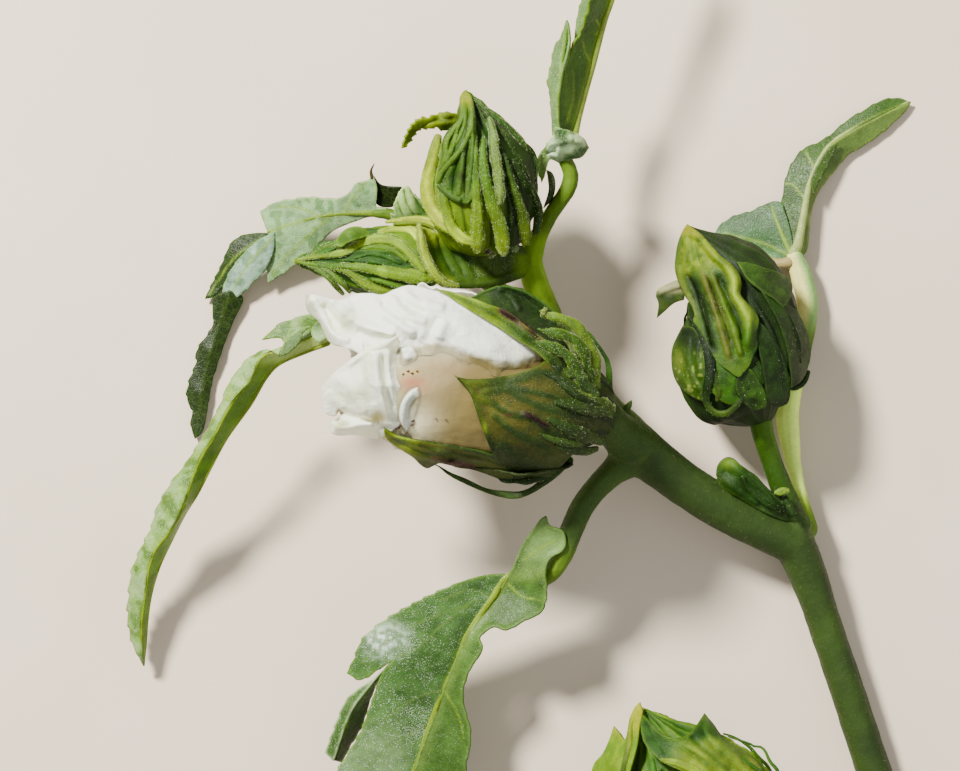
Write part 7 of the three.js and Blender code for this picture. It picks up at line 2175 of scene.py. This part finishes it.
def right_bud():
    part = Part()
    body = Body(RIGHT_BUD, bud_relief(0.5, 5, 11, 0.35, 0.62))
    v, f, t, a = body.mesh(170, 200)
    tn = bud_paint(v, t, a, 5, 11, rgb(56, 78, 24), rgb(74, 100, 30), rgb(92, 120, 38), 0.62, 0.4, rgb(88, 114, 34))
    c, r = grid_of(v)
    up = smooth(-0.1, 0.4, np.sin(a))
    p = np.stack([c, r], -1)
    for line in ([(748, 288), (764, 320), (776, 352), (778, 392)], [(758, 280), (780, 312), (794, 344), (794, 384)], [(752, 330), (760, 356), (764, 392)], [(736, 372), (744, 388), (750, 404)]):
        dd, _ = near_line(p, line)
        tn = mix(tn, rgb(30, 42, 16), np.exp(-(dd / 3.2) ** 2) * 0.8 * up)
    tn = mix(tn, rgb(62, 84, 28), smooth(250, 236, r) * up * 0.5)
    part.add(v, f, tint=tn, pale=0.25)
    H = dome(RIGHT_BUD)
    ridge = [(690, 231), (701, 239), (715, 256), (727, 267), (734, 280), (735, 295), (743, 308), (749, 320), (748, 336), (747, 352)]
    groove = [(688, 272), (697, 290), (703, 308), (709, 332), (714, 350)]
    beige = [(702, 272), (710, 296), (718, 320), (725, 343), (730, 360)]
    beige2 = [(711, 272), (721, 296), (730, 320), (737, 342), (741, 356)]
    inner = [(722, 300), (735, 330), (742, 358)]
    FH = folded(lambda c, r: H(c, r) + 0.9, [(ridge, 1.2, 3.4, 5.0), (groove, -0.9, 2.6, 2.6), (beige, 0.45, 2.2, 2.0), (beige2, 0.35, 2.0, 2.0), ([(707, 276), (716, 298), (724, 320), (731, 344)], -0.3, 1.4, 1.4),
                                             (inner, 0.4, 2.2, 2.2), ([(716, 274), (727, 296), (738, 322), (743, 344)], -0.5, 3.0, 3.4), ([(680, 264), (683, 282), (692, 304), (695, 318)], 0.5, 2.6, 2.6),
                                             ([(690, 236), (692, 250), (695, 264)], -0.25, 1.6, 1.6), ([(696, 242), (699, 254), (702, 266)], -0.25, 1.6, 1.6), ([(684, 242), (685, 254), (688, 266)], -0.2, 1.6, 1.6)])

    def ft(i):
        c, r = i["c"], i["r"]
        p = np.stack([c, r], -1)
        t = mix(rgb(78, 108, 22), rgb(116, 146, 38), np.clip(0.5 + 0.9 * i["noise"], 0, 1))
        for line, w, k, tn in (([(720, 276), (730, 296), (739, 320), (743, 340)], 4.6, .85, rgb(56, 84, 18)), (groove, 4.4, .9, rgb(40, 58, 18)), (ridge, 4.8, .95, None), (beige, 2.2, .7, rgb(146, 142, 56)),
                               (beige2, 2.0, .6, rgb(134, 140, 44)), ([(707, 276), (716, 298), (724, 320), (731, 344)], 1.8, .7, rgb(112, 84, 40)), (inner, 2.0, .6, rgb(130, 158, 44)),
                               ([(680, 262), (683, 282), (692, 304), (695, 318)], 3.4, .9, rgb(148, 160, 72))):
            d, _ = near_line(p, line)
            if tn is None:
                tn = mix(mix(rgb(190, 204, 84), rgb(186, 204, 88), smooth(250, 290, r)), rgb(108, 142, 20), smooth(308, 338, r))
            t = mix(t, tn, np.exp(-(d / w) ** 2) * k)
        head = mix(rgb(122, 146, 26), rgb(168, 184, 54), np.clip(0.5 + 1.3 * i["noise"], 0, 1))
        t = mix(t, head, smooth(280, 264, r + 0.25 * (c - 700)) * 0.95)
        t = mix(t, rgb(124, 150, 40), smooth(356, 368, r) * 0.8)
        return mix(t, rgb(184, 184, 30), smooth(240, 229, r) * 0.9)
    piece(part, [(687.5, 225, 0, 1), (693, 229), (702, 236), (712, 247), (721, 257), (730, 264), (738, 273), (741, 284), (740, 294), (745, 302), (753, 310), (758, 321), (755, 334), (757, 346), (753, 356), (749, 366), (744, 372),
                 (739, 377), (733, 374), (728, 370), (722, 366), (715, 358), (708, 346), (702, 334), (697, 326), (694, 321), (695, 314), (691, 303), (684, 292), (679, 280), (676.5, 268), (677, 257), (679, 244), (683, 233)],
          FH, (ft, rgb(84, 112, 36)), fuzz=6, seed=231, thick=0.4, wave=0.12, step=1.2, inner_step=1.2, pucker=0.08)
    # green lobes under the front sepal
    for rows, tn, sd in (([(706, 340, 0, 1), (714, 352), (724, 362), (736, 372), (744, 384), (744, 396), (738, 404, 0, 1), (728, 404), (716, 396), (708, 380)], rgb(88, 122, 14), 281),
                         ([(730, 352, 0, 1), (742, 358), (754, 356), (762, 366), (764, 380), (758, 394), (748, 402, 0, 1), (740, 388), (733, 372)], rgb(74, 104, 18), 282)):
        piece(part, rows, lambda c, r: H(c, r) + 0.35, (lambda i, tn=tn: mix(mix(tn * 0.8, tn * 1.3, np.clip(0.5 + 1.1 * i["noise"], 0, 1)), rgb(130, 156, 50), np.exp(-(i["edge"] / 1.5) ** 2) * 0.5), rgb(84, 112, 36)), fuzz=4, seed=sd, thick=0.36,
              wave=0.25, pucker=0.15)
    # left flank: a rounded lobe, dark above and yellow-green below

    def lf(i):
        c, r = i["c"], i["r"]
        t = mix(rgb(44, 68, 16), rgb(94, 122, 14), smooth(336, 358, r + 0.4 * (690 - c)))
        t = mix(t, rgb(146, 160, 62), np.exp(-(((c - 679) / 6) ** 2 + ((r - 362) / 12) ** 2)) * 0.9)
        t = mix(t, rgb(124, 146, 40), np.exp(-(((c - 690) / 5) ** 2 + ((r - 384) / 8) ** 2)) * 0.7)
        dots = smooth(0.35, 0.55, value_noise(i["P"] * 1.9, 4))
        t = mix(t, rgb(186, 194, 110), dots * smooth(345, 360, r) * 0.6)
        return mix(t, rgb(116, 142, 40), np.exp(-(i["edge"] / 1.8) ** 2) * 0.7)
    piece(part, [(684, 326, 0, 1), (679, 335), (674, 346), (672.5, 358), (674, 372), (679, 384), (686, 392), (696, 398), (707, 402, 0, 1), (707, 388), (706, 370), (704, 352), (701, 338), (694, 328)],
          folded(lambda c, r: H(c, r) + 0.55, [([(680, 340), (677, 358), (682, 378), (694, 392)], 0.4, 3, 3), ([(690, 336), (688, 356), (692, 376), (702, 392)], 0.45, 2.2, 2.2), ([(698, 340), (698, 360), (702, 380)], 0.3, 2, 2)]),
          (lf, rgb(84, 112, 36)), fuzz=4, seed=232, thick=0.36, wave=0.1, step=1.2, inner_step=1.2)
    # dark strip on the left that ends in a loop below the bud
    lay(part, H, [(690, 318, 5), (698, 326, 8), (705, 340, 10), (709.5, 358, 11), (710, 374, 10.5), (707.5, 388, 9.5), (706, 398, 8.5), (709, 407, 8), (717, 413.5, 7.5), (727, 413, 7), (735, 407, 6), (742, 399, 5)], 0.75, 0.5,
        [rgb(50, 74, 18), rgb(42, 62, 18), rgb(46, 68, 16), rgb(66, 92, 20), rgb(108, 128, 32), rgb(76, 98, 24)], fuzz=3, n=120)
    lay(part, H, [(716, 372, 5), (718, 384, 7), (719, 394, 7), (717, 400, 4)], 0.5, 0.5, [rgb(70, 92, 26), rgb(116, 134, 40)], fuzz=3)
    # broad dark lobes on the right
    for rows, lift, tone, rimt, sd in (
            ([(737, 262, 0, 1), (750, 263), (765, 268), (779, 273), (788, 279), (791, 288), (789, 300), (783, 308, 0, 1), (774, 300), (760, 290), (747, 279)], 0.85, (80, 104, 36), (122, 146, 62), 1),
            ([(756, 286, 0, 1), (772, 296), (786, 304), (796, 312), (804, 326), (809, 342), (809.5, 358), (806, 372), (799, 382), (790, 388, 0, 1), (790, 372), (788, 350), (780, 326), (768, 304)], 0.5, (68, 92, 34), (86, 110, 42), 2),
            ([(752, 316, 0, 1), (766, 328), (778, 346), (786, 366), (790, 388), (788, 402), (779, 407, 0, 1), (768, 402), (764, 380), (760, 356), (755, 336)], 0.45, (60, 84, 28), (78, 102, 36), 3),
            ([(744, 366, 0, 1), (754, 372), (762, 386), (767, 400), (764, 408), (752, 410, 0, 1), (742, 400), (736, 388), (738, 376)], 0.5, (82, 108, 36), (98, 126, 44), 4)):
        a_, b_ = rgb(*[x * 0.98 for x in tone]), rgb(*[x * 1.34 for x in tone])
        piece(part, rows, lambda c, r, k=lift: H(c, r) + k, (lambda i, a_=a_, b_=b_, rt=rgb(*rimt): mix(mix(a_, b_, np.clip(0.5 + 0.8 * i["noise"], 0, 1)), rt, np.exp(-(i["edge"] / 1.5) ** 2) * 0.65), rgb(70, 90, 34)), fuzz=1.5, seed=260 + sd, thick=0.36,
              wave=0.22, edge_lift=0.35, pucker=0.06)
    lay(part, H, [(753, 300, 2), (766, 322, 4), (776, 346, 4.5), (781, 370, 4), (782, 388, 3)], 0.6, 0.5, rgb(54, 72, 30), fuzz=3)
    lay(part, H, [(778, 300, 2), (791, 322, 4), (799, 344, 4), (800, 362, 3)], 0.65, 0.5, rgb(56, 74, 32), fuzz=3)
    # loop at the right foot
    lay(part, lambda c, r: 0 * c + 12.8, [(788, 388, 5), (796, 387.5, 5.5), (804, 382, 5.5), (808, 372, 5)], 0.0, 0.6, rgb(92, 116, 56), fuzz=3)
    # small hairy bract that sticks out on the left
    hb = plate([(684, 284, 12.6), (668, 288, 12.4), (657, 292, 12.0), (658, 314, 11.2), (672, 300, 12.6), (682, 296, 12.4)])
    piece(part, [(686, 281, 0, 1), (677, 280), (668, 284), (659, 289), (656, 296, 0, 1), (659, 304), (657, 318, 0, 1), (665, 311), (674, 303), (684, 300, 0, 1)], folded(hb, [([(684, 284), (668, 289), (658, 294)], 0.5, 2.5, 2.5)]),
          (lambda i: mix(mix(rgb(84, 102, 30), rgb(108, 126, 50), np.clip(0.5 + 0.8 * i["noise"], 0, 1)), rgb(190, 190, 146), smooth(297, 289, i["r"]) * 0.85), rgb(90, 116, 40)), fuzz=16, seed=235, thick=0.34)
    around(part, body, [-0.7, -1.2, -1.7, -2.2, -2.6], [(0.1, 0.62), (0.08, 0.7), (0.1, 0.62), (0.08, 0.68), (0.1, 0.6)], 0.8, rgb(74, 98, 36), bow=0.3, lift=0.4, seed=3, fuzz=2)
    return build("right_bud_skin", part, BUD_MAT, ["right_bud"])


def lower_bud():
    part = Part()
    body = Body(LOW_BUD, bud_relief(1.0, 5, 17, 0.2, 0.85))
    v, f, t, a = body.mesh(150, 180)
    tn = bud_paint(v, t, a, 5, 17, rgb(84, 124, 26), rgb(128, 162, 40), rgb(168, 192, 60), 0.85, 0.2, rgb(112, 146, 40))
    part.add(v, f, tint=tn, pale=0.3)
    H = dome(LOW_BUD)
    piece(part, [(640, 702, 0, 1), (643, 712), (640, 726), (638, 742), (634, 760), (626, 786), (614, 810, 0, 1), (598, 800), (592, 778), (594, 764), (604, 752), (611, 736), (614, 726, 0, 1), (620, 733), (626, 740), (630, 724), (634, 710)],
          spread_max(lambda c, r: H(c, r) + 0.9, plate([(640, 702, 14.6), (612, 730, 13.4), (598, 790, 12.0), (634, 740, 14.4)])), (lambda i: mix(mix(rgb(140, 174, 38), rgb(170, 194, 52), np.clip(.5 + .6 * i["noise"], 0, 1)),
          rgb(196, 196, 44), smooth(748, 720, i["r"]) * .8), rgb(110, 150, 44)), fuzz=2, step=1.8, seed=241, thick=0.42)
    plait = [([(655, 724), (676, 742), (700, 752), (730, 772)], 0.5, 3.5, 5), ([(704, 720), (712, 738), (732, 756), (758, 784)], 0.6, 3.0, 4.0), ([(690, 736), (706, 752), (734, 776)], -0.45, 3.0, 3.0),
             ([(664, 738), (684, 748), (706, 764)], -0.35, 2.5, 2.5)]

    def wing(i):
        c, r = i["c"], i["r"]
        p = np.stack([c, r], -1)
        low = smooth(735, 750, r + 0.12 * (c - 700) + 3 * i["noise"]) * smooth(666, 686, c) * (1 - 0.65 * smooth(708, 722, c) * smooth(764, 752, r))
        t = mix(mix(rgb(66, 104, 8), rgb(86, 126, 14), np.clip(.5 + .8 * i["noise"], 0, 1)), mix(rgb(148, 168, 44), rgb(178, 192, 84), np.clip(.5 + .8 * i["noise"], 0, 1)), low)
        for (line, h, _, _), tn in zip(plait, (rgb(178, 196, 92), rgb(176, 196, 84), rgb(96, 128, 34), rgb(104, 136, 38))):
            d, _ = near_line(p, line)
            t = mix(t, tn, np.exp(-(d / 3.4) ** 2) * 0.7 * (0.2 + 0.8 * low))
        return mix(t, rgb(150, 172, 60), np.exp(-(i["edge"] / 2.0) ** 2) * 0.5)
    piece(part, [(642, 714, 0, 1), (650, 722), (660, 732), (672, 738), (684, 737), (693, 730), (704, 714, 0, 1), (712, 724), (722, 737), (736, 746), (750, 756), (762, 772), (768, 800, 0, 1), (742, 798), (714, 788), (688, 774), (662, 762), (646, 746),
                 (641, 728)], folded(spread_max(lambda c, r: H(c, r) + 0.8, plate([(642, 714, 13.4), (704, 714, 12.2), (762, 772, 8.2), (690, 760, 15.5)])), plait), (wing, rgb(96, 140, 40)), fuzz=3, step=1.6, seed=243, thick=0.42, pucker=0.12)
    lay(part, H, [(640, 706, 3), (632, 724, 6), (630, 745, 8), (624, 775, 9), (622, 810, 9), (640, 850, 8)], 1.2, 0.7, [rgb(182, 190, 60), rgb(170, 184, 50), rgb(78, 110, 20), rgb(86, 118, 24), rgb(110, 144, 36)], fuzz=3)
    lay(part, H, [(662, 760, 5), (680, 764, 9), (700, 776, 11), (722, 800, 11), (738, 832, 9)], 1.0, 0.7, rgb(168, 188, 56), fuzz=2)
    lay(part, H, [(652, 760, 5), (658, 790, 9), (672, 826, 10), (700, 864, 9)], 1.0, 0.7, rgb(104, 146, 36), fuzz=2)
    around(part, body, [0.6, 1.1, 2.0, 2.6, 3.3, -2.4, -1.8, -1.2, -0.5, 0.1], [(0.06, 0.6)] * 10, 0.8, rgb(104, 144, 42), bow=1.3, lift=0.9, seed=3, fuzz=2)
    return build("lower_bud_skin", part, BUD_MAT, ["lower_bud"])


def fork_shoot():
    part = Part()
    h = plate([(716, 472, 12.0), (728, 459, 12.8), (746, 474, 12.8), (764, 488, 12.0), (790, 512, 9.6), (742, 494, 11.9), (728, 486, 12.2), (738, 480, 13.6), (772, 500, 11.6), (758, 504, 11.0)])

    def t1(i):
        c, r = i["c"], i["r"]
        t = mix(rgb(66, 98, 16), rgb(86, 120, 24), np.clip(0.5 + 0.8 * i["noise"], 0, 1))
        t = mix(t, rgb(160, 184, 72), np.exp(-(((c - 728) / 10) ** 2 + ((r - 462) / 7) ** 2)) * 0.9)
        t = mix(t, rgb(96, 112, 26), np.exp(-(((c - 722) / 6) ** 2 + ((r - 484) / 8) ** 2)) * 0.5)
        t = mix(t, STEM * np.array([0.92, 1.0, 0.8]), smooth(752, 780, c + 0.4 * (r - 500)) * 0.85)
        t = mix(t, rgb(112, 130, 10), np.exp(-(((c - 776) / 5) ** 2 + ((r - 510) / 3) ** 2)) * 0.7)
        return mix(t, rgb(120, 146, 44), np.exp(-(i["edge"] / 2.0) ** 2) * 0.6 * smooth(772, 740, c))
    piece(part, [(716, 474, 0, 1), (717, 467), (721, 461), (727, 457.5), (734, 459), (741, 465), (748, 470), (755, 475), (761, 481), (768, 489), (778, 498), (790, 508), (797, 518, 0, 1), (786, 521), (772, 516), (756, 508), (742, 499), (729, 491), (719, 483)],
          folded(h, [([(722, 468), (738, 480), (756, 494), (776, 508)], -0.45, 4.5, 4.5), ([(730, 463), (746, 476), (762, 490)], 0.4, 3, 3), ([(722, 478), (740, 492), (760, 504)], 0.35, 3, 3)]), (t1, rgb(84, 112, 26)), fuzz=2, seed=251, thick=0.5,
          edge_lift=0.2, wave=0.15, pucker=0.1)
    # a narrow young leaf in front of it, with a lit rim
    piece(part, [(741, 476, 0, 1), (747, 473), (755, 478), (763, 487), (772, 497), (780, 509, 0, 1), (770, 508), (758, 500), (748, 490)],
          folded(lambda c, r: h(c, r) + 0.7, [([(744, 478), (758, 490), (774, 504)], -0.4, 3, 3)]),
          (lambda i: mix(mix(rgb(60, 92, 12), rgb(78, 112, 20), np.clip(0.5 + 0.8 * i["noise"], 0, 1)), rgb(92, 122, 26), np.exp(-(i["edge"] / 1.5) ** 2) * 0.4), rgb(84, 112, 26)), fuzz=2, seed=253, thick=0.4, wave=0.1)
    piece(part, [(719, 478, 0, 1), (730, 472), (746, 476), (764, 488), (784, 500), (796, 514, 0, 1), (784, 522), (762, 512), (736, 496)], lambda c, r: h(c, r) - 1.7, (rgb(66, 94, 20), rgb(84, 112, 30)), fuzz=2, seed=252, thick=0.5)
    # scales at the foot of the stalks
    lay(part, h, [(758, 492, 4), (768, 499, 7), (780, 507, 8), (790, 513, 6)], 0.5, 0.5, [rgb(70, 102, 14), rgb(66, 96, 14), rgb(72, 98, 26)], fuzz=2)
    lay(part, lambda c, r: 0 * c + 11.4, [(776, 488, 5), (783, 496, 7), (789, 505, 7), (793, 514, 5)], 0.1, 0.55, [rgb(74, 108, 12), rgb(70, 100, 14), rgb(74, 100, 28)], fuzz=2)
    # one pale knob, seen from its end
    lay(part, lambda c, r: 0 * c + 12.3, [(776, 492.5, 4.6), (779.5, 492, 8.0), (784, 491, 8.0), (788, 490.5, 4.6)], 0.1, 0.6, rgb(150, 172, 74), fuzz=6, n=24)
    v, f, t, a = tube(even(places([(803, 524, 7.4), (790, 513, 8.8), (768, 498, 10.6), (745, 484, 11.4), (726, 474, 11.3)]), 50), np.linspace(1.35, 0.5, 50), 14, flat=0.9)
    part.add(v, f, tint=mix(STEM * np.array([1.0, 1.06, 0.86]), rgb(66, 94, 24), smooth(0.1, 0.5, t)), pale=0.1)
    return build("fork_bud", part, BUD_MAT, ["fork_axillary_shoot"])


BUD_MAT = plant("bud_tissue", rough=(0.46, 0.68), spread=0.36, grain=1.3, cells=4.4, cell_bump=0.6, net=0.0, speck=0.16, dots_scale=5.0, sss=0.06, sss_radius=(0.4, 0.8, 0.1), sheen=0.0, spec=0.15)


# ================================================================= scene
def light(name, size, energy, place, aim, colour=(1, 1, 1)):
    data = bpy.data.lights.new(name, "AREA")
    data.shape = "DISK"
    data.size = size
    data.energy = energy
    data.color = colour
    ob = bpy.data.objects.new(name, data)
    ob.location = place
    ob.rotation_euler = (Vector(aim) - Vector(place)).to_track_quat("-Z", "Y").to_euler()
    bpy.context.scene.collection.objects.link(ob)


def stage():
    cam = bpy.data.cameras.new("camera")
    cam.sensor_width = 36.0
    cam.lens = 36.0 * (EYE - PLANE) / (960.0 / GRID)
    cam.clip_start = 0.01
    cam.clip_end = 10.0
    ob = bpy.data.objects.new("camera", cam)
    ob.location = (SHIFT[0] * 0.001, SHIFT[1] * 0.001, EYE * 0.001)
    ob.rotation_euler = (0, 0, 0)
    bpy.context.scene.collection.objects.link(ob)
    bpy.context.scene.camera = ob

    mesh = bpy.data.meshes.new("floor")
    s = 3.0
    mesh.from_pydata([(-s, -s, 0), (s, -s, 0), (s, s, 0), (-s, s, 0)], [], [(0, 1, 2, 3)])
    floor = bpy.data.objects.new("floor", mesh)
    floor.location = (0, 0, -0.0002)
    bpy.context.scene.collection.objects.link(floor)
    n = Nodes("floor_paint")
    n.bsdf.inputs["Roughness"].default_value = 0.9
    v = n.coords()
    c = n.blend(n.ramp(n.noise(v, 0.02, 3), 0.3, 0.7), rgb(205, 190, 170), rgb(212, 198, 179))
    n.link(c, n.bsdf.inputs["Base Color"])
    mesh.materials.append(n.mat)

    light("key", 0.11, 15.2, (-0.30, 0.34, 0.46), (0, 0, 0.01), (1.0, 0.965, 0.90))
    light("fill", 0.9, 2.2, (0.55, -0.35, 0.7), (0, 0, 0), (0.95, 0.98, 1.0))
    world = bpy.data.worlds.new("world")
    world.use_nodes = True
    bg = world.node_tree.nodes["Background"]
    bg.inputs[0].default_value = (1.0, 0.985, 0.95, 1)
    bg.inputs[1].default_value = 0.62
    bpy.context.scene.world = world


stage()
STEM_MESH = stems()
lower_leaf()
left_leaf()
top_leaf()
back_leaf()
right_leaf()
leaf_hairs()
bloom()
calyx()
top_bud()
side_bud()
young_parts()
right_bud()
lower_bud()
fork_shoot()
stem_hairs(STEM_MESH)
fuzz()
